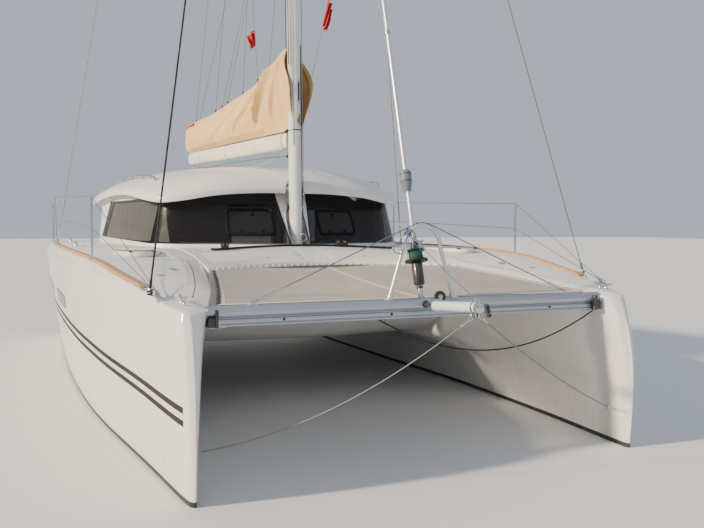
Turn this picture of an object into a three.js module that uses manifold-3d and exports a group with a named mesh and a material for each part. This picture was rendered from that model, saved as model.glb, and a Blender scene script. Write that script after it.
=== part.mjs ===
// A ten metre sailing catamaran afloat, with its sail stowed on the boom.
// Millimetres, +X to port, +Y aft, +Z up. The origin is on the centreline, amidships, at the waterline.
import * as THREE from 'three';
import { mergeVertices } from 'three/addons/utils/BufferGeometryUtils.js';
import Module from 'manifold-3d';

const wasm = await Module();
wasm.setup();

// Overall sizes
const STERN_Y = 5000;
const GAP = 0.3;

// Bridgedeck, between the inner faces of the hulls
const DECK_HALF_WIDTH = 1500;
const DECK_UNDERSIDE_Z = 700;
const SOLE_Z = 1000;
const BRIDGEDECK_END_Y = 4300;
const WALL = 40;

// Rig
const MAST_STEP = new THREE.Vector3(0, -1130, 1870);
const MAST_TOP_Z = 14900;
const MAST_RAKE = THREE.MathUtils.degToRad(2.3);
const MAST_WIDTH = 160;
const MAST_CHORD = 220;
const GOOSENECK_HEIGHT = 1390;
const GOOSENECK_SETBACK = 165;
const BOOM_LENGTH = 4250;
const BOOM_DEPTH = 240;
const BOOM_WIDTH = 130;
const BOOM_SWING = THREE.MathUtils.degToRad(6.2);
const BOOM_RISE = THREE.MathUtils.degToRad(2.7);
const SPREADER_HEIGHT = 6500;

// Forward beam and what it carries
const BEAM_Y = -4620;
const BEAM_Z = 1452;
const BEAM_RADIUS = 50;
const SPRIT_RADIUS = 43;
const SPRIT_TIP = new THREE.Vector3(0, -5560, 1515);
const STAY_FOOT = new THREE.Vector3(0, -4588, 1500);
const STAY_HEAD = new THREE.Vector3(0, -760, 14400);

// Underwater gear
const KEEL_BOTTOM_Z = -1000;
const UNDER_X = 2265;
const DRIVE_Y = 3050;
const PROPELLER_RADIUS = 190;
const RUDDER_Y = 4120;
const RUDDER_BOTTOM_Z = -930;

// Helm
const WHEEL_CENTRE = new THREE.Vector3(-1020, 2120, 1880);
const WHEEL_RADIUS = 350;

const finishes = {
  gelcoat: { color: 0xf1efea, roughness: 0.35, metalness: 0 },
  antifouling: { color: 0x2a3442, roughness: 0.8, metalness: 0 },
  glass: { color: 0x1b1e22, roughness: 0.1, metalness: 0 },
  aluminium: { color: 0x9aa3ae, roughness: 0.4, metalness: 0.8 },
  whiteAlloy: { color: 0xdcdcd6, roughness: 0.4, metalness: 0.2 },
  steel: { color: 0xc8ccd0, roughness: 0.25, metalness: 1 },
  wire: { color: 0x3b3d40, roughness: 0.5, metalness: 0.5 },
  black: { color: 0x1a1a1c, roughness: 0.5, metalness: 0 },
  canvas: { color: 0xc9a26a, roughness: 0.9, metalness: 0 },
  net: { color: 0xcfc9bd, roughness: 0.9, metalness: 0 },
  teak: { color: 0xb58a5a, roughness: 0.7, metalness: 0 },
  joinery: { color: 0xb9936a, roughness: 0.5, metalness: 0 },
  cushion: { color: 0x8d8f94, roughness: 0.9, metalness: 0 },
  bronze: { color: 0xa07a4a, roughness: 0.4, metalness: 0.9 },
  engine: { color: 0x6a6f74, roughness: 0.6, metalness: 0.4 },
};

const boat = new THREE.Group();

function addPart(name, finish, geometry, parent = boat) {
  const mesh = new THREE.Mesh(geometry, new THREE.MeshStandardMaterial(finishes[finish]));
  mesh.name = name;
  parent.add(mesh);
  return mesh;
}

// Solid helpers

const { lerp, clamp, degToRad, smoothstep } = THREE.MathUtils;

function welded(geometry) {
  const bare = geometry.clone();
  bare.deleteAttribute('normal');
  bare.deleteAttribute('uv');
  return mergeVertices(bare, 1e-3);
}

function toSolid(geometry) {
  const merged = welded(geometry);
  const vertProperties = new Float32Array(merged.attributes.position.array);
  const triVerts = new Uint32Array(merged.index.array);
  return new wasm.Manifold(new wasm.Mesh({ numProp: 3, vertProperties, triVerts }));
}

function toGeometry(manifold) {
  const mesh = manifold.getMesh();
  const geometry = new THREE.BufferGeometry();
  const positions = [];
  for (let v = 0; v < mesh.vertProperties.length; v += mesh.numProp) {
    positions.push(...mesh.vertProperties.slice(v, v + 3));
  }
  geometry.setAttribute('position', new THREE.Float32BufferAttribute(positions, 3));
  geometry.setIndex(Array.from(mesh.triVerts));
  return geometry;
}

function union(...geometries) {
  return toGeometry(geometries.map(toSolid).reduce((whole, next) => whole.add(next)));
}

function cut(geometry, ...tools) {
  return toGeometry(tools.map(toSolid).reduce((rest, tool) => rest.subtract(tool), toSolid(geometry)));
}

function common(geometry, other) {
  return toGeometry(toSolid(geometry).intersect(toSolid(other)));
}

function moved(geometry, x, y, z) {
  return geometry.clone().translate(x, y, z);
}

function mirrored(geometry) {
  const copy = welded(geometry).scale(-1, 1, 1);
  const index = copy.index.array;
  for (let i = 0; i < index.length; i += 3) {
    [index[i], index[i + 1]] = [index[i + 1], index[i]];
  }
  return copy;
}

function block(x0, x1, y0, y1, z0, z1) {
  return new THREE.BoxGeometry(x1 - x0, y1 - y0, z1 - z0)
    .translate((x0 + x1) / 2, (y0 + y1) / 2, (z0 + z1) / 2);
}

// A closed body through rings of points, each ring with as many points as the next. Each patch between two
// rings is split on one diagonal, or on the other where the strip after that point is turned.
function loft(rings, turnedStrip = -1) {
  const count = rings[0].length;
  const points = rings.flat();
  const index = [];
  for (let r = 0; r + 1 < rings.length; r++) {
    for (let p = 0; p < count; p++) {
      const a = r * count + p;
      const b = r * count + ((p + 1) % count);
      const [c, d] = [a + count, b + count];
      index.push(...(p === turnedStrip ? [a, b, d, a, d, c] : [a, b, c, b, d, c]));
    }
  }
  for (const [ring, flip] of [[0, true], [rings.length - 1, false]]) {
    for (const face of capFaces(rings[ring])) {
      const [a, b, c] = face.map((corner) => ring * count + corner);
      index.push(...(flip ? [a, c, b] : [a, b, c]));
    }
  }
  const geometry = new THREE.BufferGeometry().setFromPoints(points);
  geometry.setIndex(index);
  return signedVolume(geometry) < 0 ? turnedOut(geometry) : geometry;
}

// Triangles over a ring, found in the plane in which the ring is largest and wound as the ring is.
function capFaces(ring) {
  const area = new THREE.Vector3();
  ring.forEach((point, i) => area.add(point.clone().cross(ring[(i + 1) % ring.length])));
  const planes = [['y', 'z'], ['z', 'x'], ['x', 'y']];
  const sizes = [area.x, area.y, area.z];
  const widest = sizes.map(Math.abs).indexOf(Math.max(...sizes.map(Math.abs)));
  const [u, v] = planes[widest];
  const flat = ring.map((point) => new THREE.Vector2(point[u], point[v]));
  const faces = THREE.ShapeUtils.triangulateShape(flat, []);
  return faces.map(([a, b, c]) => {
    const turn = flat[b].clone().sub(flat[a]).cross(flat[c].clone().sub(flat[a]));
    return turn * sizes[widest] < 0 ? [a, c, b] : [a, b, c];
  });
}

function signedVolume(geometry) {
  const p = geometry.attributes.position;
  const index = geometry.index.array;
  const [a, b, c] = [new THREE.Vector3(), new THREE.Vector3(), new THREE.Vector3()];
  let volume = 0;
  for (let i = 0; i < index.length; i += 3) {
    a.fromBufferAttribute(p, index[i]);
    b.fromBufferAttribute(p, index[i + 1]);
    c.fromBufferAttribute(p, index[i + 2]);
    volume += a.dot(b.cross(c)) / 6;
  }
  return volume;
}

function turnedOut(geometry) {
  const index = geometry.index.array;
  for (let i = 0; i < index.length; i += 3) {
    [index[i], index[i + 1]] = [index[i + 1], index[i]];
  }
  return geometry;
}

// A closed body between an upper and a lower surface, each a function of u and v from 0 to 1.
function slab(uSteps, vSteps, upper, lower) {
  const rings = [];
  for (let i = 0; i <= uSteps; i++) {
    const top = [];
    const bottom = [];
    for (let j = 0; j <= vSteps; j++) {
      top.push(upper(i / uSteps, j / vSteps));
      bottom.unshift(lower(i / uSteps, j / vSteps));
    }
    rings.push([...top, ...bottom]);
  }
  return loft(rings);
}

function vec(x, y, z) {
  return new THREE.Vector3(x, y, z);
}

function polygonShape(points) {
  return new THREE.Shape(points.map(([x, y]) => new THREE.Vector2(x, y)));
}

function roundShape(radius, sides) {
  const points = [];
  for (let s = 0; s < sides; s++) {
    const angle = (2 * Math.PI * s) / sides;
    points.push([radius * Math.cos(angle), radius * Math.sin(angle)]);
  }
  return polygonShape(points);
}

function ovalPoints(halfX, halfY, sides) {
  const points = [];
  for (let s = 0; s < sides; s++) {
    const angle = (2 * Math.PI * s) / sides;
    points.push([halfX * Math.cos(angle), halfY * Math.sin(angle)]);
  }
  return points;
}

// An upright prism over an outline of x, y points.
function prism(points, z0, z1) {
  return new THREE.ExtrudeGeometry(polygonShape(points), { depth: z1 - z0, bevelEnabled: false })
    .translate(0, 0, z0);
}

// A round bar through points, straight between them unless it is asked to curve.
function bar(points, radius, sides = 8, curvedSteps = 0) {
  if (curvedSteps > 0) {
    const path = new THREE.CatmullRomCurve3(points, false, 'centripetal');
    return new THREE.ExtrudeGeometry(roundShape(radius, sides),
      { steps: curvedSteps, bevelEnabled: false, extrudePath: path });
  }
  const pieces = [];
  for (let i = 0; i + 1 < points.length; i++) {
    pieces.push(rod(points[i], points[i + 1], radius, sides));
    if (i > 0) {
      pieces.push(new THREE.IcosahedronGeometry(radius * 1.1, 0).translate(...points[i].toArray()));
    }
  }
  return pieces.length > 1 ? union(...pieces) : pieces[0];
}

function rod(from, to, radius, sides = 8, endRadius = radius) {
  const along = to.clone().sub(from);
  const turn = new THREE.Quaternion().setFromUnitVectors(vec(0, 1, 0), along.clone().normalize());
  const middle = from.clone().add(to).multiplyScalar(0.5);
  return new THREE.CylinderGeometry(endRadius, radius, along.length(), sides)
    .applyQuaternion(turn).translate(...middle.toArray());
}

// A streamlined section: chord along y from its nose, half thickness along x.
function foilPoints(noseY, chord, thickness, x = 0) {
  const shape = [[0, 0], [0.04, 0.62], [0.15, 0.93], [0.32, 1], [0.6, 0.74], [0.85, 0.33], [1, 0.05]];
  const port = shape.map(([s, w]) => [x + (w * thickness) / 2, noseY + s * chord]);
  const starboard = shape.slice(1).reverse().map(([s, w]) => [x - (w * thickness) / 2, noseY + s * chord]);
  return [...port, ...starboard];
}

// Hulls

// The port hull from stem to stern, one row a section.
// y, bottom z, waterline inner x, waterline outer x, knuckle x, knuckle z, flare x, flare z,
// inner deck x, inner deck z, sheer x, sheer z
const hullRows = [
  [-4980, -120, 2106, 2134, 2105, 450, 2085, 1300, 2078, 1470, 2136, 1472],
  [-4940, -190, 2098, 2150, 2094, 450, 2035, 1330, 2015, 1480, 2176, 1476],
  [-4820, -250, 2100, 2172, 2090, 450, 1985, 1350, 1950, 1492, 2222, 1488],
  [-4550, -300, 2112, 2205, 2090, 450, 1925, 1370, 1885, 1515, 2290, 1520],
  [-3900, -380, 2150, 2280, 2110, 450, 1790, 1400, 1745, 1590, 2420, 1600],
  [-3100, -440, 2175, 2385, 2110, 450, 1650, 1380, 1600, 1650, 2590, 1690],
  [-2700, -465, 2180, 2440, 2110, 450, 1590, 1200, 1540, 1680, 2660, 1735],
  [-2300, -485, 2180, 2490, 2105, 450, 1520, 820, 1500, 1740, 2712, 1762],
  [-1500, -515, 2172, 2570, 2080, 460, 1500, 700, 1500, 1815, 2800, 1790],
  [0, -540, 2080, 2650, 2000, 470, 1500, 700, 1500, 1842, 2885, 1805],
  [2000, -510, 1970, 2670, 1900, 470, 1500, 700, 1500, 1842, 2915, 1805],
  [3500, -390, 1940, 2630, 1880, 460, 1500, 700, 1500, 1825, 2885, 1800],
  [5000, -110, 1960, 2560, 1900, 450, 1500, 700, 1500, 1805, 2810, 1790],
];
const hullStations = [-4980, -4960, -4920, -4820, -4650, -4350, -3900, -3500, -3100, -2900, -2700, -2500,
  -2300, -1900, -1500, -1000, -400, 300, 1100, 2000, 2800, 3500, 4100, 4600, 5000];
const hullCurve = new THREE.CubicInterpolant(
  hullRows.map((row) => row[0]), hullRows.flatMap((row) => row.slice(1)), hullRows[0].length - 1);

function hullAt(y) {
  const [bottomZ, waterIn, waterOut, knuckleX, knuckleZ, flareX, flareZ,
    deckX, deckZ, sheerX, sheerZ] = hullCurve.evaluate(y);
  return { bottomZ, waterIn, waterOut, knuckleX, knuckleZ, flareZ, deckZ, sheerX, sheerZ,
    flareX: Math.max(flareX, DECK_HALF_WIDTH), deckX: Math.max(deckX, DECK_HALF_WIDTH) };
}

// The stem stands plumb to its fullest point and falls back above it.
function stemSetback(y, z) {
  const fullest = 570;
  const share = clamp((-3900 - y) / 1080, 0, 1);
  const fall = z > fullest ? 190 * ((z - fullest) / 900) ** 2 : 32 * ((fullest - z) / fullest) ** 2;
  return share * fall;
}

function hullRing(y) {
  const s = hullAt(y);
  const outline = [];
  const underSteps = 8;
  for (let k = 0; k <= underSteps; k++) {
    const angle = (Math.PI * k) / underSteps;
    const x = (s.waterIn + s.waterOut) / 2 - (Math.cos(angle) * (s.waterOut - s.waterIn)) / 2;
    outline.push([x, s.bottomZ * Math.sin(angle) ** 0.8]);
  }
  const flare = s.sheerX - s.waterOut;
  outline.push([s.waterOut + 0.48 * flare, 0.36 * s.sheerZ]);
  outline.push([s.waterOut + 0.86 * flare, 0.72 * s.sheerZ]);
  outline.push([s.sheerX, s.sheerZ - 70]);
  outline.push([lerp(s.sheerX, s.deckX, 0.06), s.sheerZ]);
  outline.push([(s.sheerX + s.deckX) / 2, Math.max(s.sheerZ, s.deckZ) + 8]);
  outline.push([s.deckX, s.deckZ]);
  outline.push([s.flareX, s.flareZ]);
  outline.push([s.knuckleX, s.knuckleZ]);
  return outline.map(([x, z]) => vec(x, y + stemSetback(y, z), z));
}

function hullBlank() {
  return loft(hullStations.map(hullRing));
}

// Stern steps from deck to bathing platform: y where each begins, and its height.
const sternSteps = [[3960, 1380], [4290, 930], [4620, 480]];
const BULWARK = 60;
const platformZ = sternSteps[2][1];

const engineWell = { x0: 2040, x1: 2500, y0: 2820, y1: 3560, floor: 60 };
const lidThickness = 45;
const lidRebate = 40;
const lidGap = 6;
const deckHatch = { x: 2075, y: -1480, halfX: 265, halfY: 560, well: 420 };

function lidOutline(well, inset) {
  return [well.x0 - lidRebate + inset, well.x1 + lidRebate - inset,
    well.y0 - lidRebate + inset, well.y1 + lidRebate - inset];
}

function hatchPoints(grow) {
  return ovalPoints(deckHatch.halfX + grow, deckHatch.halfY + grow, 24)
    .map(([x, y]) => [x + deckHatch.x, y + deckHatch.y]);
}

function deckLevel(y) {
  const s = hullAt(y);
  return Math.max(s.sheerZ, s.deckZ) + 8;
}

function hullSolid(blank) {
  const above = 2200;
  const sides = [];
  const shoulder = polygonShape([[3650, 2200], [3650, 1815], [4050, 1700], [4500, 1120], [5100, 620],
    [5100, 2200]]);
  const sweep = new THREE.ExtrudeGeometry(shoulder, { depth: 1600, bevelEnabled: false })
    .applyMatrix4(new THREE.Matrix4().makeBasis(vec(0, 1, 0), vec(0, 0, 1), vec(1, 0, 0)))
    .translate(1400, 0, 0);
  sides.push(sweep);
  for (const [y, z] of sternSteps) {
    sides.push(block(1400, hullAt(4800).sheerX - BULWARK - 60, y, 5200, z, above));
  }
  sides.push(block(1400, 2250, 3600, 4000, sternSteps[0][1], above));
  const { x0, x1, y0, y1, floor } = engineWell;
  sides.push(block(x0, x1, y0, y1, floor, above));
  const [lx0, lx1, ly0, ly1] = lidOutline(engineWell, 0);
  sides.push(block(lx0, lx1, ly0, ly1, deckLevel(y0) - lidThickness - 10, above));
  const hatchTop = deckLevel(deckHatch.y);
  sides.push(prism(hatchPoints(0), hatchTop - 45, above));
  sides.push(prism(hatchPoints(-35), hatchTop - deckHatch.well, above));
  const stock = new THREE.CylinderGeometry(32, 32, 400, 12).rotateX(Math.PI / 2)
    .translate(UNDER_X, RUDDER_Y, -100);
  sides.push(stock);
  return cut(blank, ...sides);
}

const hullRaw = hullBlank();
const hullPort = hullSolid(hullRaw);
const hullStarboard = mirrored(hullPort);
addPart('hull_port', 'gelcoat', hullPort);
addPart('hull_starboard', 'gelcoat', hullStarboard);

function engineLid() {
  const [x0, x1, y0, y1] = lidOutline(engineWell, lidGap);
  const panel = block(x0, x1, y0, y1, deckLevel(engineWell.y0) - lidThickness, 2200);
  return common(hullRaw, panel);
}
const engineLidPort = engineLid();
addPart('engine_lid_port', 'gelcoat', engineLidPort);
addPart('engine_lid_starboard', 'gelcoat', mirrored(engineLidPort));

function oval(z0, z1, grow) {
  return prism(hatchPoints(grow), z0, z1);
}
function deckHatchLid() {
  const top = deckLevel(deckHatch.y);
  return union(oval(top - 40, top + 20, -6), oval(top + 5, top + 28, -60));
}
const deckHatchPort = deckHatchLid();
addPart('deck_hatch_port', 'glass', deckHatchPort);
addPart('deck_hatch_starboard', 'glass', mirrored(deckHatchPort));

// Engines, drives, propellers, keels and rudders, made for port and mirrored

function engineBlock() {
  const { x0, x1, y0, y1, floor } = engineWell;
  return block(x0 + 20, x1 - 20, y0 + 20, y1 - 20, floor + GAP, floor + 560);
}

function keelBody() {
  const rings = [[-300, -800, 2550, 260], [-700, -640, 2250, 230], [KEEL_BOTTOM_Z, -480, 1950, 190]]
    .map(([z, nose, chord, thickness]) =>
      foilPoints(nose, chord, thickness, UNDER_X + 60).map(([x, y]) => vec(x, y, z)));
  return cut(loft(rings), moved(hullRaw, 0, 0, -GAP));
}

function driveBody() {
  const rings = [[-200, 0], [-640, 30], [-700, 30]]
    .map(([z, set]) => foilPoints(DRIVE_Y - 260 + set, 320, 110, UNDER_X).map(([x, y]) => vec(x, y, z)));
  const profile = [[0, -230], [30, -215], [62, -150], [70, -60], [66, 90], [48, 130], [0, 130]];
  const torpedo = new THREE.LatheGeometry(profile.map(([r, s]) => new THREE.Vector2(r, s)), 16)
    .translate(UNDER_X, DRIVE_Y, -690);
  return cut(union(loft(rings), torpedo), moved(hullRaw, 0, 0, -GAP));
}

// Three blades on a hub, about the y axis.
function propellerBody() {
  const hub = [[0, 0], [46, 0], [46, 60], [34, 95], [0, 110]];
  const pieces = [new THREE.LatheGeometry(hub.map(([r, s]) => new THREE.Vector2(r, s)), 16)];
  const bladeCount = 3;
  // radius, half width, half thickness, pitch in degrees
  const bladeRows = [[30, 34, 9, 62], [90, 58, 7, 48], [150, 56, 5, 36], [PROPELLER_RADIUS, 22, 3, 30]];
  for (let b = 0; b < bladeCount; b++) {
    const rings = bladeRows.map(([radius, half, thick, pitch]) => {
      const tilt = degToRad(pitch);
      return [[-half, 0], [0, thick], [half, 0], [0, -thick]].map(([across, off]) => vec(
        across * Math.cos(tilt) - off * Math.sin(tilt),
        45 + across * Math.sin(tilt) + off * Math.cos(tilt),
        radius));
    });
    pieces.push(loft(rings).rotateY((2 * Math.PI * b) / bladeCount));
  }
  return union(...pieces);
}

function rudderBody() {
  const stations = [[-360, -150, 420, 64], [RUDDER_BOTTOM_Z, -110, 330, 44]];
  const blade = loft(stations.map(([z, nose, chord, thickness]) =>
    foilPoints(nose, chord, thickness).map(([x, y]) => vec(x, y, z))));
  const stock = new THREE.CylinderGeometry(24, 24, 320, 12).rotateX(Math.PI / 2).translate(0, 0, -240);
  return union(blade, stock);
}

for (const [side, sign] of [['port', 1], ['starboard', -1]]) {
  const onSide = (geometry) => (sign > 0 ? geometry : mirrored(geometry));
  addPart(`engine_${side}`, 'engine', onSide(engineBlock()));
  addPart(`keel_${side}`, 'antifouling', onSide(keelBody()));
  addPart(`saildrive_${side}`, 'engine', onSide(driveBody()));
  const propeller = addPart(`propeller_${side}`, 'bronze', propellerBody());
  propeller.position.set(sign * UNDER_X, DRIVE_Y + 136, -690);
  const rudder = addPart(`rudder_${side}`, 'antifouling', rudderBody());
  rudder.position.set(sign * (UNDER_X), RUDDER_Y, 0);
}

// Bridgedeck with its foredeck, saloon and cockpit sole, and aft beam

const foredeckFrontY = (x) => -2000 - 700 * (x / DECK_HALF_WIDTH) ** 2;
const foredeckBackY = (x) => -1290 + 600 * (x / DECK_HALF_WIDTH) ** 2;

function foredeckZ(x, y) {
  const out = (x / DECK_HALF_WIDTH) ** 2;
  const back = clamp((y - foredeckFrontY(x)) / (foredeckBackY(x) - foredeckFrontY(x)), 0, 1);
  return lerp(1690 - 10 * out, 1868 - 25 * out, 1 - (1 - back) ** 2.2);
}

const mastRecess = { radius: 130, wall: 25 };
const lockers = [{ x0: 190, x1: 1060, y0: -1930, y1: -1600, floor: 1250 }];

function foredeckPoint(u, v) {
  const x = (2 * u - 1) * (DECK_HALF_WIDTH - GAP);
  return [x, lerp(foredeckFrontY(x), foredeckBackY(x), v)];
}

function lockerTools(side) {
  return lockers.flatMap(({ x0, x1, y0, y1, floor }) => {
    const [a, b] = side > 0 ? [x0, x1] : [-x1, -x0];
    return [block(a, b, y0, y1, floor, 2200),
      slab(6, 2, (u, v) => rebatePoint(a, b, y0, y1, u, v, 300), (u, v) => rebatePoint(a, b, y0, y1, u, v, -38))];
  });
}

function rebatePoint(x0, x1, y0, y1, u, v, lift, grow = 25) {
  const x = lerp(x0 - grow, x1 + grow, u);
  const y = lerp(y0 - grow, y1 + grow, v);
  return vec(x, y, foredeckZ(x, y) + lift);
}

function bridgedeck() {
  const half = DECK_HALF_WIDTH - GAP;
  const nose = slab(12, 6,
    (u, v) => { const [x, y] = foredeckPoint(u, v); return vec(x, y, foredeckZ(x, y)); },
    (u, v) => { const [x, y] = foredeckPoint(u, v); return vec(x, y, DECK_UNDERSIDE_Z + 640 * (1 - v) ** 3); });
  const sole = block(-half, half, -1400, BRIDGEDECK_END_Y, DECK_UNDERSIDE_Z, SOLE_Z);
  const trimmed = cut(sole, slab(14, 1,
    (u, v) => { const [x] = foredeckPoint(u, 0); return vec(x * 1.01, lerp(-2600, foredeckBackY(x), v), 1200); },
    (u, v) => { const [x] = foredeckPoint(u, 0); return vec(x * 1.01, lerp(-2600, foredeckBackY(x), v), 500); }));
  const mastPost = block(-210, 210, -1400, -920, SOLE_Z - 50, MAST_STEP.z - 5);
  const post = common(mastPost, block(-210, 210, -1330, -920, 0, 3000));
  const aftBeam = block(-half, half, 4180, BRIDGEDECK_END_Y, SOLE_Z - 50, 1480);
  const whole = union(nose, trimmed, post, aftBeam);
  return cut(whole, ...lockerTools(1), ...lockerTools(-1));
}
const bridgedeckBody = bridgedeck();
addPart('bridgedeck', 'gelcoat', bridgedeckBody);

for (const [side, sign] of [['port', 1], ['starboard', -1]]) {
  const { x0, x1, y0, y1 } = lockers[0];
  const [a, b] = sign > 0 ? [x0, x1] : [-x1, -x0];
  addPart(`locker_lid_${side}`, 'gelcoat', slab(6, 2,
    (u, v) => rebatePoint(a, b, y0, y1, u, v, 0, 19),
    (u, v) => rebatePoint(a, b, y0, y1, u, v, -30, 19)));
}

// Cabin: walls ruled between an outline at the deck and one under the roof, windows cut in them

// Port half of each outline from the centreline aft: x, y
const cabinFoot = [[0, -1400], [420, -1325], [1000, -1060], [1500, -745], [1790, -420], [1930, 60],
  [2070, 760], [2200, 1752]];
const cabinHead = [[0, -850], [420, -830], [900, -760], [1330, -640], [1600, -380], [1800, 80],
  [1980, 760], [2120, 1752]];
const FOOT_Z = 1800;
const HEAD_Z = 2600;
const WALL_LOW_Z = 1700;
const WALL_HIGH_Z = 2860;

function outlineCurve(half) {
  const starboard = half.slice(1).reverse().map(([x, y]) => vec(-x, y, 0));
  return new THREE.CatmullRomCurve3([...starboard, ...half.map(([x, y]) => vec(x, y, 0))], false, 'centripetal');
}
const footCurve = outlineCurve(cabinFoot);
const headCurve = outlineCurve(cabinHead);

// A point of the cabin wall: t from -1 at the starboard aft corner to 1 at the port one.
function wallSurface(t, z) {
  const along = clamp((t + 1) / 2, 0, 1);
  const foot = footCurve.getPoint(along);
  const head = headCurve.getPoint(along);
  return foot.lerp(head, (z - FOOT_Z) / (HEAD_Z - FOOT_Z)).setZ(z);
}

function wallPoint(t, z, depth) {
  const step = 0.01;
  const along = wallSurface(Math.min(t + step, 1), z).sub(wallSurface(Math.max(t - step, -1), z));
  const up = wallSurface(t, z + 50).sub(wallSurface(t, z - 50));
  const inward = up.cross(along).normalize();
  return wallSurface(t, z).addScaledVector(inward, depth);
}

// A curved panel of the wall between two t values, two heights and two depths. Its inner strip is turned, so
// that its two faces bend along the same diagonals and stay parallel.
function wallPanel(t0, t1, lowZ, highZ, outer, inner, steps) {
  const rings = [];
  for (let i = 0; i <= steps; i++) {
    const t = lerp(t0, t1, i / steps);
    const [low, high] = [lowZ(t), highZ(t)];
    rings.push([wallPoint(t, low, outer), wallPoint(t, high, outer),
      wallPoint(t, high, inner), wallPoint(t, low, inner)]);
  }
  return loft(rings, 2);
}

// Roof: a crowned shell whose visor dips at the corners and arches over the side windows

// Visor edge of the port half from the centreline aft: x, y, z of its lower lip
const visorRows = [[0, -1075, 2560], [520, -1050, 2556], [1020, -985, 2520], [1400, -880, 2455],
  [1660, -700, 2425], [1830, -380, 2465], [1960, 60, 2530], [2080, 620, 2545], [2190, 1280, 2505],
  [2260, 1900, 2440]];
// Ridge on the centreline: y, z
const ridgeRows = [[-620, 2870], [-520, 2885], [-380, 2905], [-220, 2925], [0, 2945], [250, 2960],
  [560, 2970], [950, 2975], [1400, 2965], [1900, 2940]];
const ROOF_THICKNESS = 55;
const LIP = 45;

function roofPoint(k, across, drop) {
  const port = k >= 0;
  const edge = visorCurve.getPoint(Math.abs(k));
  const ridge = ridgeCurve.getPoint(Math.abs(k));
  const fullness = lerp(0.85, 0.6, Math.abs(k));
  const rise = (1 - (1 - across) ** 2.6) ** fullness;
  const x = lerp(edge.x, 0, across) * (port ? 1 : -1);
  const y = lerp(edge.y, ridge.y, across);
  return vec(x, y, lerp(edge.z + LIP, ridge.z, rise) - drop);
}
const visorCurve = new THREE.CatmullRomCurve3(visorRows.map((row) => vec(...row)));
const ridgeCurve = new THREE.CatmullRomCurve3(ridgeRows.map(([y, z]) => vec(0, y, z)));

// One half of the roof between its top and a surface a given drop below it.
function roofHalf(raise, drop) {
  const acrossSteps = 5;
  const alongSteps = 16;
  return slab(alongSteps, acrossSteps,
    (k, across) => roofPoint(k, across, -raise),
    (k, across) => roofPoint(k, across, drop));
}

function roofBody(raise, drop) {
  const half = roofHalf(raise, drop);
  return union(half, mirrored(half));
}

function mastClearance(radius, z0, z1) {
  const front = -1700;
  const points = [[radius, front]];
  const arcSteps = 8;
  for (let s = 0; s <= arcSteps; s++) {
    const angle = (Math.PI * s) / arcSteps;
    points.push([radius * Math.cos(angle), MAST_STEP.y + radius * Math.sin(angle)]);
  }
  points.push([-radius, front]);
  return moved(prism(points, z0, z1), 0, -MAST_STEP.y, -MAST_STEP.z).rotateX(-MAST_RAKE)
    .translate(0, MAST_STEP.y, MAST_STEP.z);
}

const roofWhole = roofBody(0, ROOF_THICKNESS);
const roofNotch = mastClearance(mastRecess.radius, 1500, 3200);
addPart('cabin_roof', 'gelcoat', cut(roofWhole, roofNotch));

// Everything above the underside of the roof, lowered by the gap
const aboveCeiling = moved(roofBody(900, ROOF_THICKNESS), 0, 0, -GAP);

const windows = {
  front: { t0: 0.056, t1: 0.55, low: () => 1905, high: (t) => 2575 - 85 * smoothstep(t, 0.3, 0.5) },
  side: { t0: 0.56, t1: 0.955, low: (t) => lerp(1905, 1960, (t - 0.56) / 0.39),
    high: (t) => 2462 + 60 * Math.sin(Math.PI * clamp((t - 0.54) / 0.44, 0, 1)) },
};
const hatchFrame = { t0: 0.102, t1: 0.268, low: 2000, high: 2345 };

const WALL_STEPS = 20;
const PANE_STEPS = 7;
function cabinWalls() {
  const full = wallPanel(-1, 1, () => WALL_LOW_Z, () => WALL_HIGH_Z, 0, WALL, WALL_STEPS);
  const openings = [];
  for (const { t0, t1, low, high } of Object.values(windows)) {
    const tool = wallPanel(t0, t1, low, high, -60, WALL + 60, PANE_STEPS);
    openings.push(tool, mirrored(tool));
  }
  const shell = cut(full, ...openings, roofNotch);
  const outside = [];
  for (const z of [WALL_LOW_Z, WALL_HIGH_Z]) {
    const ring = [];
    for (let i = 0; i <= WALL_STEPS; i++) {
      ring.push(wallSurface(lerp(-1, 1, i / WALL_STEPS), z));
    }
    outside.push(ring);
  }
  const liner = cut(mastClearance(mastRecess.radius + mastRecess.wall, WALL_LOW_Z, WALL_HIGH_Z - 10),
    mastClearance(mastRecess.radius, WALL_LOW_Z - 10, WALL_HIGH_Z));
  const inCabin = common(liner, loft(outside));
  return cut(union(shell, inCabin), aboveCeiling, moved(bridgedeckBody, 0, 0, GAP),
    moved(bridgedeckBody, 0, GAP, 0), moved(hullPort, 0, 0, GAP), moved(hullStarboard, 0, 0, GAP));
}
const walls = cabinWalls();
addPart('cabin_walls', 'gelcoat', walls);

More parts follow.
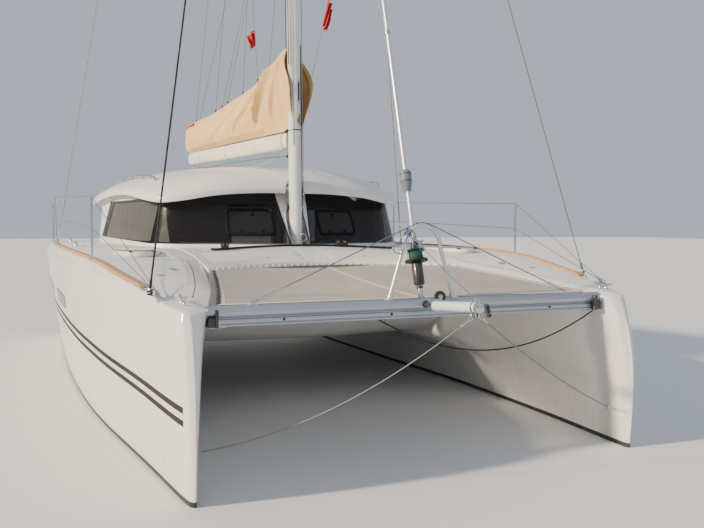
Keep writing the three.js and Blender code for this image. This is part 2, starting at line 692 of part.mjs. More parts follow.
const GLASS_OUTER = 6;
const GLASS_THICKNESS = 10;
const GLASS_EDGE = 0.0015;
for (const [side, sign] of [['port', 1], ['starboard', -1]]) {
  const onSide = (geometry) => (sign > 0 ? geometry : mirrored(geometry));
  const { front, side: flank } = windows;
  const frame = hatchFrame;
  const pane = wallPanel(front.t0 + GLASS_EDGE, front.t1 - GLASS_EDGE, () => front.low() + 5,
    (t) => front.high(t) - 8, GLASS_OUTER, GLASS_OUTER + GLASS_THICKNESS, 6);
  const hole = wallPanel(frame.t0, frame.t1, () => frame.low, () => frame.high, -80, WALL + 80, 5);
  addPart(`front_glass_${side}`, 'glass', onSide(cut(pane, hole)));
  addPart(`side_glass_${side}`, 'glass', onSide(wallPanel(flank.t0 + GLASS_EDGE, flank.t1 - GLASS_EDGE,
    (t) => flank.low(t) + 3, (t) => flank.high(t) - 3, GLASS_OUTER, GLASS_OUTER + GLASS_THICKNESS,
    PANE_STEPS)));
  addPart(`window_hatch_${side}`, 'glass', onSide(wallPanel(frame.t0 + 0.004, frame.t1 - 0.004,
    () => frame.low + 7, () => frame.high - 7, -16, GLASS_OUTER + GLASS_THICKNESS, 6)));
}

// Aft bulkhead with its doorway, sliding door and fixed window

const BULKHEAD_Y = 1758;
const doorway = { x0: -130, x1: 600, z0: 1030, z1: 2420 };
const aftWindow = { x0: 780, x1: 1350, z0: 1850, z1: 2380 };

function bulkhead() {
  const outline = [[-1499, SOLE_Z + GAP], [1499, SOLE_Z + GAP], [1499, 1790], [2165, 1790],
    [2120, 2800], [-2120, 2800], [-2165, 1790], [-1499, 1790]];
  const slabBody = new THREE.ExtrudeGeometry(polygonShape(outline), { depth: WALL, bevelEnabled: false })
    .rotateX(Math.PI / 2).translate(0, BULKHEAD_Y + WALL, 0);
  const holes = [doorway, aftWindow].map(({ x0, x1, z0, z1 }) => block(x0, x1, 1700, 1900, z0, z1));
  return cut(slabBody, ...holes, aboveCeiling, moved(hullPort, 0, 0, GAP), moved(hullStarboard, 0, 0, GAP));
}
addPart('cabin_bulkhead', 'gelcoat', bulkhead());
addPart('bulkhead_glass', 'glass', block(aftWindow.x0 + 1, aftWindow.x1 - 1, BULKHEAD_Y + 14,
  BULKHEAD_Y + 24, aftWindow.z0 + 1, aftWindow.z1 - 1));
const DOOR_Y = BULKHEAD_Y + WALL + 6;
addPart('saloon_door', 'glass', block(doorway.x0 - 40, doorway.x1 + 40, DOOR_Y, DOOR_Y + 22,
  doorway.z0 - 18, doorway.z1 + 30));

// Furniture

addPart('settee', 'cushion', union(
  block(250, 1440, -640, -160, SOLE_Z + GAP, 1420),
  block(980, 1440, -200, 1150, SOLE_Z + GAP, 1420),
  block(1390, 1440, -640, 1150, 1400, 1770)));
addPart('saloon_table', 'joinery', union(
  block(300, 900, 0, 850, 1700, 1735),
  new THREE.CylinderGeometry(50, 60, 720, 12).rotateX(Math.PI / 2).translate(600, 425, SOLE_Z + 360 + GAP)));
addPart('galley', 'joinery', block(-1440, -860, -560, 1250, SOLE_Z + GAP, 1900));
addPart('cockpit_bench', 'gelcoat', union(
  block(-900, 1490, 3640, 4170, SOLE_Z + GAP, 1420),
  block(1000, 1490, 1950, 3700, SOLE_Z + GAP, 1420)));
addPart('helm_seat', 'gelcoat', union(
  block(-1440, -720, 2780, 3180, SOLE_Z + GAP, 1500),
  block(-1440, -720, 3130, 3180, 1450, 1880)));

function helmConsole() {
  const backY = DOOR_Y + 22 + 8;
  const outline = [[BULKHEAD_Y + WALL + GAP, SOLE_Z + GAP], [2060, SOLE_Z + GAP], [2060, 1980],
    [1990, 2080], [BULKHEAD_Y + WALL + GAP, 2120]];
  const side = new THREE.ExtrudeGeometry(polygonShape(outline), { depth: 700, bevelEnabled: false })
    .applyMatrix4(new THREE.Matrix4().makeBasis(vec(0, 1, 0), vec(0, 0, 1), vec(1, 0, 0)))
    .translate(-1420, 0, 0);
  return cut(side, block(-725, -600, backY - 60, backY, 0, 3000));
}
addPart('helm_console', 'gelcoat', helmConsole());

function helmWheel() {
  const rim = new THREE.TorusGeometry(WHEEL_RADIUS, 15, 6, 24).rotateX(Math.PI / 2);
  const hub = new THREE.CylinderGeometry(46, 46, 66, 16).translate(0, -20, 0);
  const spokes = [];
  const spokeCount = 5;
  for (let s = 0; s < spokeCount; s++) {
    spokes.push(rod(vec(0, 0, 20), vec(0, 0, WHEEL_RADIUS), 9, 6).rotateY((2 * Math.PI * s) / spokeCount));
  }
  return union(rim, hub, ...spokes);
}
addPart('helm_wheel', 'steel', helmWheel()).position.copy(WHEEL_CENTRE);

// Forward beam, striker hoop and stay, sprit and its stays

function crossBeam() {
  const reach = 1960;
  const pieces = [rod(vec(-reach, BEAM_Y, BEAM_Z), vec(reach, BEAM_Y, BEAM_Z), BEAM_RADIUS, 20)];
  pieces.push(block(-reach, reach, BEAM_Y - 22, BEAM_Y + 22, BEAM_Z - 118, BEAM_Z - 30));
  for (const sign of [1, -1]) {
    const [a, b] = sign > 0 ? [1870, reach] : [-reach, -1870];
    pieces.push(block(a, b, BEAM_Y - 85, BEAM_Y + 85, BEAM_Z - 118, BEAM_Z + 25));
  }
  return cut(union(...pieces), moved(hullPort, -GAP, 0, 0), moved(hullStarboard, GAP, 0, 0));
}
addPart('cross_beam', 'aluminium', crossBeam());

const hoop = { y: BEAM_Y + 25, foot: 322, radius: 180, springZ: 1972, tube: 19 };
const BEAM_TOP = BEAM_Z + BEAM_RADIUS + GAP;
function strikerHoop() {
  const footZ = BEAM_TOP + 10;
  const leg = (share) => [lerp(hoop.foot, hoop.radius, share), lerp(footZ, hoop.springZ, share)];
  const legSteps = [0, 0.3, 0.6, 0.9];
  const points = legSteps.map((share) => vec(-leg(share)[0], hoop.y, leg(share)[1]));
  const arcSteps = 8;
  for (let s = 0; s <= arcSteps; s++) {
    const angle = Math.PI - (Math.PI * s) / arcSteps;
    points.push(vec(hoop.radius * Math.cos(angle), hoop.y, hoop.springZ + hoop.radius * Math.sin(angle)));
  }
  points.push(...legSteps.map((share) => vec(leg(share)[0], hoop.y, leg(share)[1])).reverse());
  const feet = [-hoop.foot, hoop.foot].map((x) => new THREE.CylinderGeometry(44, 44, 14, 12)
    .rotateX(Math.PI / 2).translate(x, hoop.y, BEAM_TOP + 7));
  return union(bar(points, hoop.tube, 8, 22), ...feet);
}
addPart('striker_hoop', 'whiteAlloy', strikerHoop());

function strikerStay() {
  const over = hoop.radius + hoop.tube + 7;
  const rise = degToRad(22.4);
  const top = vec(0, hoop.y, hoop.springZ + over + 2);
  const pieces = [];
  for (const sign of [1, -1]) {
    const foot = vec(sign * 1570, BEAM_Y, BEAM_TOP + 12);
    const head = vec(sign * over * Math.sin(rise), hoop.y, hoop.springZ + over * Math.cos(rise));
    const along = head.clone().sub(foot).normalize();
    pieces.push(bar([foot, head, top], 5, 6));
    pieces.push(rod(foot, foot.clone().addScaledVector(along, 330), 13, 6));
    pieces.push(block(foot.x - 30, foot.x + 30, BEAM_Y - 14, BEAM_Y + 14, BEAM_TOP, BEAM_TOP + 34));
  }
  pieces.push(new THREE.IcosahedronGeometry(6, 0).translate(...top.toArray()));
  return union(...pieces);
}
addPart('striker_stay', 'wire', strikerStay());

const BOBSTAY = { tipY: -5515, tipZ: 1446, endX: 2120, endY: -4640, endZ: 330, radius: 5 };
const SPRIT_ROOT = vec(0, -4840, 1455);
function bowsprit() {
  const tube = rod(SPRIT_ROOT, SPRIT_TIP, SPRIT_RADIUS, 20);
  const eye = block(-20, 20, BOBSTAY.tipY - 40, BOBSTAY.tipY + 40, BOBSTAY.tipZ - 14, BOBSTAY.tipZ + 40);
  const heel = rod(vec(0, BEAM_Y, SPRIT_ROOT.z), SPRIT_ROOT.clone().add(vec(0, -20, 0)), 22, 12);
  return cut(union(tube, heel, eye),
    rod(vec(-900, BEAM_Y, BEAM_Z), vec(900, BEAM_Y, BEAM_Z), BEAM_RADIUS + GAP, 20),
    block(-900, 900, BEAM_Y - 20, BEAM_Y + 400, BEAM_Z - 300, BEAM_Z + 300));
}
addPart('bowsprit', 'whiteAlloy', bowsprit());

// A stay from the sprit's tip to a pad on the inside of a bow, with the sag given at its middle.
function bobstay(sign, sag, steps) {
  const { tipY, tipZ, endX, endY, endZ, radius } = BOBSTAY;
  const points = [];
  for (let i = 0; i <= steps; i++) {
    const share = i / steps;
    points.push(vec(sign * lerp(24, endX, share), lerp(tipY, endY, share),
      lerp(tipZ, endZ, share) - 4 * sag * share * (1 - share)));
  }
  const hull = sign > 0 ? moved(hullPort, -GAP, 0, 0) : moved(hullStarboard, GAP, 0, 0);
  return cut(bar(points, radius, 8, steps + 4), hull);
}
addPart('bobstay_port', 'wire', bobstay(1, 60, 8));
addPart('bobstay_starboard', 'wire', bobstay(-1, 195, 14));

// A slack line hanging below the forward beam, from its port bracket to its web.
function bowLine() {
  const [from, to] = [vec(1880, BEAM_Y - 40, BEAM_Z - 126), vec(-430, BEAM_Y, BEAM_Z - 126)];
  const [sag, steps, radius] = [330, 16, 7];
  const points = [];
  for (let i = 0; i <= steps; i++) {
    const share = i / steps;
    const point = from.clone().lerp(to, share);
    points.push(point.add(vec(0, 0, -4 * sag * share * (1 - share))));
  }
  return bar(points, radius, 8, 24);
}
addPart('bow_line', 'black', bowLine());

// Headsail furler turning on the forestay

const stayFrame = new THREE.Matrix4().compose(STAY_FOOT,
  new THREE.Quaternion().setFromUnitVectors(vec(0, 0, 1), STAY_HEAD.clone().sub(STAY_FOOT).normalize()),
  vec(1, 1, 1));
const STAY_LENGTH = STAY_FOOT.distanceTo(STAY_HEAD);

function turned(profile, sides = 12) {
  return new THREE.LatheGeometry(profile.map(([r, s]) => new THREE.Vector2(r, s)), sides).rotateX(Math.PI / 2);
}

function furlerBase() {
  const tube = turned([[0, -120], [25, -120], [25, 110], [0, 110]]).applyMatrix4(stayFrame);
  return cut(tube, rod(vec(-300, BEAM_Y, BEAM_Z), vec(300, BEAM_Y, BEAM_Z), BEAM_RADIUS + GAP, 20),
    block(-300, 300, BEAM_Y - 300, BEAM_Y + 300, BEAM_Z - 500, BEAM_Z));
}

function furler() {
  const drum = turned([[0, 116], [50, 116], [50, 330], [108, 342], [108, 356], [64, 362], [64, 430],
    [90, 436], [90, 448], [40, 460], [30, 520], [0, 520]]);
  const swivel = turned([[0, 1010], [32, 1010], [54, 1090], [54, 1205], [36, 1225], [0, 1225]]);
  const foil = prism(ovalPoints(20, 28, 10), 500, STAY_LENGTH - 500);
  const wire = turned([[0, STAY_LENGTH - 520], [5, STAY_LENGTH - 520], [5, STAY_LENGTH - 6],
    [0, STAY_LENGTH - 6]], 8);
  return union(drum, swivel, foil, wire).applyMatrix4(stayFrame);
}
addPart('furler_base', 'whiteAlloy', furlerBase());
addPart('furler', 'aluminium', furler());

// Mast, spreaders, shrouds, boom and stowed sail, in a frame that rakes with the mast

const rig = new THREE.Group();
rig.position.copy(MAST_STEP);
rig.rotation.x = -MAST_RAKE;
boat.add(rig);
rig.updateMatrixWorld(true);
const rigToBoat = rig.matrixWorld.clone();
const onRig = (x, y, z) => vec(x, y, z).applyMatrix4(rigToBoat);

const MAST_LENGTH = (MAST_TOP_Z - MAST_STEP.z) / Math.cos(MAST_RAKE);
const mastOutline = ovalPoints(MAST_WIDTH / 2, MAST_CHORD / 2, 20);
const pivot = { y: GOOSENECK_SETBACK, pin: 12, eye: 32, plate: 14 };

function mast() {
  const tube = prism(mastOutline, 6, MAST_LENGTH);
  const z = GOOSENECK_HEIGHT;
  const lug = prism(ovalPoints(pivot.eye, pivot.eye, 16).map(([x, y]) => [x, y + pivot.y]),
    z - pivot.plate / 2, z + pivot.plate / 2);
  const web = block(-24, 24, MAST_CHORD / 2 - 20, pivot.y, z - pivot.plate / 2, z + pivot.plate / 2);
  const bore = prism(ovalPoints(pivot.pin + 0.6, pivot.pin + 0.6, 16).map(([x, y]) => [x, y + pivot.y]),
    z - 40, z + 40);
  return cut(union(tube, lug, web), bore);
}
addPart('mast', 'whiteAlloy', mast(), rig);

const spreaderTip = { x: 1750, y: 1290, z: SPREADER_HEIGHT + 60 };
function spreaders() {
  const collar = cut(prism(ovalPoints(MAST_WIDTH / 2 + 22, MAST_CHORD / 2 + 22, 20),
    SPREADER_HEIGHT - 60, SPREADER_HEIGHT + 60),
  prism(ovalPoints(MAST_WIDTH / 2 + 1, MAST_CHORD / 2 + 1, 20), SPREADER_HEIGHT - 70, SPREADER_HEIGHT + 70));
  const arms = [1, -1].map((sign) => loft([[90, 20, 45], [spreaderTip.x, 12, 24]].map(([x, thick, half]) => {
    const share = (x - 90) / (spreaderTip.x - 90);
    const y = lerp(30, spreaderTip.y, share);
    const z = lerp(SPREADER_HEIGHT, spreaderTip.z, share);
    return ovalPoints(half, thick, 10).map(([a, b]) => vec(sign * x, y + a, z + b));
  })));
  return union(collar, ...arms);
}
addPart('spreaders', 'whiteAlloy', spreaders(), rig);

const chainplate = { x: 2804, y: 1400 };
function shroud(sign) {
  const foot = vec(sign * chainplate.x, chainplate.y, deckLevel(chainplate.y) + 20);
  const elbow = onRig(sign * (spreaderTip.x + 7), spreaderTip.y + 8, spreaderTip.z + 6);
  const head = onRig(sign * (MAST_WIDTH / 2 + 12), 10, MAST_LENGTH - 500);
  const along = elbow.clone().sub(foot).normalize();
  const screw = foot.clone().addScaledVector(along, 380);
  const pieces = [bar([foot, elbow, head], 5), rod(foot, screw, 13, 10)];
  pieces.push(block(foot.x - 8, foot.x + 8, foot.y - 40, foot.y + 40, foot.z - 120, foot.z + 30));
  const hull = sign > 0 ? hullPort : hullStarboard;
  return cut(union(...pieces), moved(hull, 0, 0, GAP));
}
addPart('shroud_port', 'wire', shroud(1));
addPart('shroud_starboard', 'wire', shroud(-1));

const boomGroup = new THREE.Group();
boomGroup.position.set(0, pivot.y, GOOSENECK_HEIGHT);
boomGroup.rotation.z = BOOM_SWING;
rig.add(boomGroup);

function boom() {
  const front = 62;
  const rings = [[front, 0.7], [front + 90, 1], [BOOM_LENGTH - 120, 1], [BOOM_LENGTH, 0.82]]
    .map(([y, size]) => ovalPoints(BOOM_WIDTH / 2, BOOM_DEPTH / 2, 16)
      .map(([x, z]) => vec(x * size, y, z * size + 15)));
  const pin = new THREE.CylinderGeometry(pivot.pin, pivot.pin, 84, 16).rotateX(Math.PI / 2);
  const plates = [-1, 1].map((side) => block(-18, 18, -20, front + 40,
    side > 0 ? 22 : -36, side > 0 ? 36 : -22));
  return union(loft(rings).rotateX(BOOM_RISE), pin, ...plates);
}
addPart('boom', 'whiteAlloy', boom(), boomGroup);

// The stowed sail's cover along the boom: distance aft, half width, height above the boom
const bagRows = [[130, 75, 1120], [230, 120, 1160], [420, 155, 1110], [800, 175, 930], [1400, 185, 780],
  [2200, 175, 640], [3100, 155, 520], [3800, 130, 440], [4130, 100, 395], [4200, 60, 340]];
const bagSection = [[0.42, 0.01], [0.85, 0.12], [1, 0.3], [0.9, 0.55], [0.55, 0.82], [0.2, 0.97]];
function sailBag() {
  const rest = BOOM_DEPTH / 2 + 15 + 1;
  return loft(bagRows.map(([y, half, height]) => {
    const port = bagSection.map(([w, h]) => vec(half * w, y, rest + height * h));
    const starboard = bagSection.map(([w, h]) => vec(-half * w, y, rest + height * h)).reverse();
    return [...port, ...starboard];
  })).rotateX(BOOM_RISE);
}
addPart('sail_bag', 'canvas', sailBag(), boomGroup);

// Deck gear: jib track, trampoline, toe rails, stanchions with lifelines, stern rails, ladder

function jibTrack() {
  const halfSpan = 1170;
  const rings = [];
  const steps = 14;
  for (let i = 0; i <= steps; i++) {
    const x = lerp(-halfSpan, halfSpan, i / steps);
    const y = -1390 - 170 * (x / halfSpan) ** 2;
    const z = foredeckZ(x, y) + 4;
    rings.push([vec(x, y - 16, z), vec(x, y + 16, z), vec(x, y + 16, z + 26), vec(x, y - 16, z + 26)]);
  }
  return cut(loft(rings), moved(bridgedeckBody, 0, 0, GAP), moved(walls, 0, -GAP, 0));
}
addPart('jib_track', 'black', jibTrack());

const trampolineBackY = (x) => -2085 - 640 * (x / 1460) ** 2;
function trampoline() {
  const surface = (drop) => (u, v) => {
    const x = (2 * u - 1) * lerp(1842, 1455, v);
    const sag = 22 * Math.sin(Math.PI * v) * Math.sin(Math.PI * u);
    return vec(x, lerp(-4560, trampolineBackY(x), v), lerp(1500, 1668, v) - sag - drop);
  };
  return slab(10, 8, surface(0), surface(6));
}
addPart('trampoline', 'net', trampoline());

const edgeX = (y) => lerp(hullAt(y).sheerX, hullAt(y).deckX, 0.06);
const RAIL_HEIGHT = 40;
const stanchions = [{ y: -2260, height: 670 }, { y: 1700, height: 690 }];
const STANCHION_INSET = 18;
const railStations = [-3910, -3500, -3000, -2500, -2000, -1400, -700, 100, 1000, 1900, 2800, 3450];
function toeRail(sign) {
  const rings = railStations.map((y) => {
    const x = edgeX(y) - 6;
    const z = hullAt(y).sheerZ - 6;
    return [[x, z], [x, z + RAIL_HEIGHT], [x - 60, z + RAIL_HEIGHT], [x - 60, z]].map(([a, b]) => vec(a, y, b));
  });
  const gaps = [-2260, 1700, chainplate.y].map((y) =>
    block(edgeX(y) - 44, edgeX(y) + 60, y - 75, y + 75, 1500, 2200));
  const rail = cut(loft(rings), moved(hullPort, 0, 0, GAP), ...gaps);
  return sign > 0 ? rail : mirrored(rail);
}

function lifelines(sign) {
  const footing = (y, height) => vec(edgeX(y) - STANCHION_INSET, y, deckLevel(y) + height);
  const pieces = [];
  const bowEnd = vec(edgeX(-4330) - 30, -4330, deckLevel(-4330) + 20);
  pieces.push(block(bowEnd.x - 22, bowEnd.x + 22, bowEnd.y - 40, bowEnd.y + 40, bowEnd.z - 60, bowEnd.z + 14));
  for (const share of [1, 0.52]) {
    const route = [bowEnd, ...stanchions.map(({ y, height }) => footing(y, height * share - 10)),
      footing(3560, 600 * share - 10)];
    pieces.push(bar(route, 4, 5));
  }
  for (const { y, height } of stanchions) {
    pieces.push(rod(footing(y, -60), footing(y, height), 13));
    pieces.push(rod(footing(y, -40), footing(y, 24), 24));
  }
  const gate = [footing(3560, -60), footing(3560, 560), footing(3640, 620), footing(3900, 620)];
  const end = gate[3].clone();
  gate.push(end.clone().add(vec(0, 70, -60)), end.clone().add(vec(0, 75, -700)));
  pieces.push(bar(gate, 14, 8));
  pieces.push(rod(footing(3560, 300), vec(end.x, end.y + 72, footing(3560, 300).z), 12, 8));
  const rails = cut(union(...pieces), moved(hullPort, 0, 0, GAP));
  return sign > 0 ? rails : mirrored(rails);
}

for (const [side, sign] of [['port', 1], ['starboard', -1]]) {
  addPart(`toe_rail_${side}`, 'teak', toeRail(sign));
  addPart(`guard_rail_${side}`, 'steel', lifelines(sign));
}

const ladderHinge = vec(2230, STERN_Y + 24, platformZ + 42);
const ladderHalf = 170;
const ladderTube = 14;

function swimLadder() {
  const height = 620;
  const pieces = [];
  for (const sign of [1, -1]) {
    pieces.push(rod(vec(sign * ladderHalf, 0, 0), vec(sign * ladderHalf, 0, height), ladderTube));
  }
  for (const z of [0, 200, 400, 600]) {
    pieces.push(rod(vec(-ladderHalf, 0, z), vec(ladderHalf, 0, z), z ? ladderTube - 2 : ladderTube));
  }
  return union(...pieces);
}
const ladder = addPart('swim_ladder', 'steel', swimLadder());
ladder.position.copy(ladderHinge);
ladder.rotation.x = degToRad(6);

// A foot on the platform with two ears that the ladder's lowest rung turns in.
function ladderBracket() {
  const { x, y, z } = ladderHinge;
  const foot = block(x - 120, x + 120, STERN_Y - 90, STERN_Y - 10, platformZ + GAP, platformZ + 10);
  const ears = [-1, 1].map((sign) => block(x + sign * 100 - 8, x + sign * 100 + 8,
    STERN_Y - 80, y + 24, platformZ + 2, z + 24));
  const bore = rod(vec(x - 200, y, z), vec(x + 200, y, z), ladderTube + 2, 16);
  return cut(union(foot, ...ears), bore);
}
addPart('ladder_bracket', 'steel', ladderBracket());

export default boat;
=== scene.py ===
"""Dresses a ten metre sailing catamaran with its skins, glass, cloth, rope and fittings.

Metres, +X to port, +Y aft, +Z up. The origin is on the centreline, amidships, at the waterline.
"""
import math
from functools import reduce

import bpy
import numpy as np
from mathutils import Matrix


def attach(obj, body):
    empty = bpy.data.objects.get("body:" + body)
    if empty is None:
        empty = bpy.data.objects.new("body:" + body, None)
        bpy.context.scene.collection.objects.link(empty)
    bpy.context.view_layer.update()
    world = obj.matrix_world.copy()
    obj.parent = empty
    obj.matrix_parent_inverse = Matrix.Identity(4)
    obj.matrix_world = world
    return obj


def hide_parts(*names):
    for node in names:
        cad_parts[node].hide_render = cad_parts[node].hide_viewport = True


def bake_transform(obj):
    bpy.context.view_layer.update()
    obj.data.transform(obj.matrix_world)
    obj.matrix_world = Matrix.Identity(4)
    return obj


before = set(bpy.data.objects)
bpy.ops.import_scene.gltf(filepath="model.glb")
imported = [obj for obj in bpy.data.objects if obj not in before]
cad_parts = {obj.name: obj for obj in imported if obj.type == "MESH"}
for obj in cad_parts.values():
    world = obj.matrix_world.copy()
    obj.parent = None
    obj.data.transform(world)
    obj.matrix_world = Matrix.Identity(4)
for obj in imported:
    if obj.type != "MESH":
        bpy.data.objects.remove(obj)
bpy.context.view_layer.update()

bl_info = {
    "name": "Catamaran Dresser",
    "version": (1, 0, 0),
    "blender": (4, 5, 0),
    "location": "3D View > Sidebar > Catamaran",
    "description": "Skins, glass, cloth, rope and fittings for a ten metre sailing catamaran",
    "category": "Object",
}

MM = 0.001
# Turns of a prism: its outline in the plane along the boat, or across it
SIDEWAYS = np.array([[0, 0, 1, 0], [1, 0, 0, 0], [0, 1, 0, 0], [0, 0, 0, 1]], float)
ENDWAYS = np.array([[1, 0, 0, 0], [0, 0, 1, 0], [0, 1, 0, 0], [0, 0, 0, 1]], float)
SIDES = (("port", 1), ("starboard", -1))
ACROSS, AFT, UP = (1, 0, 0), (0, 1, 0), (0, 0, 1)

# Bridgedeck, between the inner faces of the hulls
DECK_HALF_WIDTH = 1.5
DECK_UNDERSIDE_Z = 0.7
SOLE_Z = 1.0
BRIDGEDECK_END_Y = 4.3

# Rig
MAST_STEP = np.array([0, -1.13, 1.87])
MAST_TOP_Z = 14.9
MAST_RAKE = math.radians(2.3)
MAST_LENGTH = (MAST_TOP_Z - MAST_STEP[2]) / math.cos(MAST_RAKE)
MAST_WIDTH = 0.16
MAST_CHORD = 0.22
GOOSENECK = np.array([0, 0.165, 1.39])
BOOM_DEPTH = 0.24
BOOM_WIDTH = 0.13
BOOM_SWING = math.radians(6.2)
BOOM_RISE = math.radians(2.7)
SPREADER_TIP = np.array([1.75, 1.29, 6.56])
CHAINPLATE = (2.804, 1.4)

# Forward beam, sprit and forestay
BEAM_Y = -4.62
BEAM_Z = 1.452
BEAM_RADIUS = 0.05
SPRIT_RADIUS = 0.043
SPRIT_ROOT = np.array([0, -4.84, 1.455])
SPRIT_TIP = np.array([0, -5.56, 1.515])
STAY_FOOT = np.array([0, -4.588, 1.5])
STAY_HEAD = np.array([0, -0.76, 14.4])

# Underwater gear
UNDER_X = 2.265
DRIVE_Y = 3.05
RUDDER_Y = 4.12

# Helm
WHEEL_CENTRE = np.array([-1.02, 2.12, 1.88])
WHEEL_RADIUS = 0.35


# Numbers, curves and grids


def lerp(a, b, t):
    return a + (b - a) * t


def smooth(x, low, high):
    s = np.clip((x - low) / (high - low), 0, 1)
    return s * s * (3 - 2 * s)


def at(x, y, z):
    """Points from coordinates that are arrays or single numbers."""
    return np.stack(np.broadcast_arrays(x, y, z), -1).astype(float)


def pair(x, y):
    """Flat points from coordinates that are arrays or single numbers."""
    return np.stack(np.broadcast_arrays(x, y), -1)


def unit(v):
    return v / np.maximum(np.linalg.norm(v, axis=-1, keepdims=True), 1e-12)


def cubic_rows(rows, y):
    """The rows' values at y, by a cubic in each gap whose slopes come from the neighbours on both sides."""
    t = rows[:, 0]
    after = np.clip(np.searchsorted(t, y, side="right"), 1, len(t) - 1)
    here = after - 1
    before = np.where(here > 0, here - 1, after)
    beyond = np.where(after < len(t) - 1, np.minimum(after + 1, len(t) - 1), here)
    t0, t1 = t[here], t[after]
    lead = (0.5 * (t1 - t0) / (t0 - t[before]))[:, None]
    trail = (0.5 * (t1 - t0) / (t[beyond] - t1))[:, None]
    p = ((y - t0) / (t1 - t0))[:, None]
    return (rows[before] * (-lead * p**3 + 2 * lead * p**2 - lead * p)
            + rows[here] * ((1 + lead) * p**3 + (-1.5 - 2 * lead) * p**2 + (-0.5 + lead) * p + 1)
            + rows[after] * ((-1 - trail) * p**3 + (1.5 + trail) * p**2 + 0.5 * p)
            + rows[beyond] * (trail * p**3 - trail * p**2))


def through(knots, share):
    """A centripetal Catmull-Rom curve through the knots, at shares 0 to 1 of its gaps."""
    knots = np.asarray(knots, float)
    share = np.asarray(share, float)
    ends = np.vstack([2 * knots[0] - knots[1], knots, 2 * knots[-1] - knots[-2]])
    where = np.clip(share, 0, 1) * (len(knots) - 1)
    gap = np.minimum(where.astype(int), len(knots) - 2)
    w = (where - gap)[..., None]
    p0, p1, p2, p3 = (ends[gap + i] for i in range(4))
    d0, d1, d2 = (np.sqrt(np.linalg.norm(b - a, axis=-1, keepdims=True))
                  for a, b in ((p0, p1), (p1, p2), (p2, p3)))
    slope1 = ((p1 - p0) / d0 - (p2 - p0) / (d0 + d1) + (p2 - p1) / d1) * d1
    slope2 = ((p2 - p1) / d1 - (p3 - p1) / (d1 + d2) + (p3 - p2) / d2) * d1
    return (p1 + slope1 * w + (3 * (p2 - p1) - 2 * slope1 - slope2) * w**2
            + (2 * (p1 - p2) + slope1 + slope2) * w**3)


def toward(a, b, distance):
    """The point that far from a on the way to b, and never past 0.45 of the way."""
    span = np.linalg.norm(b - a, axis=-1, keepdims=True)
    return a + (b - a) * np.minimum(distance / np.maximum(span, 1e-9), 0.45)


def bend(a, corner, b, steps=5):
    """A quadratic arc from a to b that is pulled to the corner: columns of points."""
    t = np.linspace(0, 1, steps).reshape([steps] + [1] * np.ndim(a))
    arc = (1 - t) ** 2 * a + 2 * t * (1 - t) * corner + t**2 * b
    return np.moveaxis(arc, 0, -2)


def rounded(corners, radius, steps=5, closed=True):
    """A path through corners, each replaced by an arc that starts a radius away from it."""
    c = np.asarray(corners, float)
    radius = np.broadcast_to(radius, len(c))
    pieces = []
    for i in range(len(c)):
        if not closed and i in (0, len(c) - 1):
            pieces.append(c[i:i + 1])
            continue
        before, after = c[i - 1], c[(i + 1) % len(c)]
        pieces.append(bend(toward(c[i], before, radius[i]), c[i], toward(c[i], after, radius[i]), steps))
    return np.concatenate(pieces)


def spaced(path, count, closed=False):
    """The path's points at even distances along it."""
    path = np.vstack([path, path[:1]]) if closed else np.asarray(path, float)
    walked = np.append(0, np.cumsum(np.linalg.norm(np.diff(path, axis=0), axis=1)))
    stops = np.linspace(0, walked[-1], count, endpoint=not closed)
    return np.stack([np.interp(stops, walked, path[:, k]) for k in range(path.shape[1])], -1)


def circle(radius, sides, squash=1.0):
    """A ring of points: cosine by sine, the second scaled by squash."""
    a = np.linspace(0, 2 * np.pi, sides, endpoint=False)
    return np.stack([radius * np.cos(a), radius * squash * np.sin(a)], -1)


def carried(profile, path, closed=False, up=None):
    """A profile of (side, top) points carried along a path: the side is the path's direction crossed with
    up."""
    path = np.asarray(path, float)
    ahead = np.roll(path, -1, 0) - np.roll(path, 1, 0) if closed else np.gradient(path, axis=0)
    ahead = unit(ahead)
    if up is None:
        up = np.eye(3)[np.abs(ahead).max(0).argmin()]
    side = unit(np.cross(ahead, up))
    top = np.cross(side, ahead)
    profile = np.asarray(profile, float)
    if profile.ndim == 2:
        profile = np.broadcast_to(profile, (len(path), *profile.shape))
    return path[:, None] + side[:, None] * profile[..., :1] + top[:, None] * profile[..., 1:]


def basis(direction):
    """Three axes, the last along the direction."""
    w = unit(np.asarray(direction, float))
    u = unit(np.cross(np.eye(3)[np.abs(w).argmin()], w))
    return u, np.cross(w, u), w


def turned(profile, origin, direction, sides=24):
    """A (radius, distance) profile turned about a line: rows go along it and columns go round it."""
    u, v, w = basis(direction)
    a = np.linspace(0, 2 * np.pi, sides, endpoint=False)[None, :, None]
    r, s = (np.asarray(profile, float)[:, k][:, None, None] for k in (0, 1))
    return np.asarray(origin, float) + r * np.cos(a) * u + r * np.sin(a) * v + s * w


def ring_profile(radius, length, edge, start=0.0):
    """A (radius, distance) profile of a solid cylinder with rounded rims."""
    a = np.linspace(0, np.pi / 2, 5)
    rim = np.stack([radius - edge * (1 - np.sin(a)), start + edge * (1 - np.cos(a))], -1)
    far = np.stack([rim[::-1, 0], 2 * start + length - rim[::-1, 1]], -1)
    return np.concatenate([[(0, start)], rim, far, [(0, start + length)]])


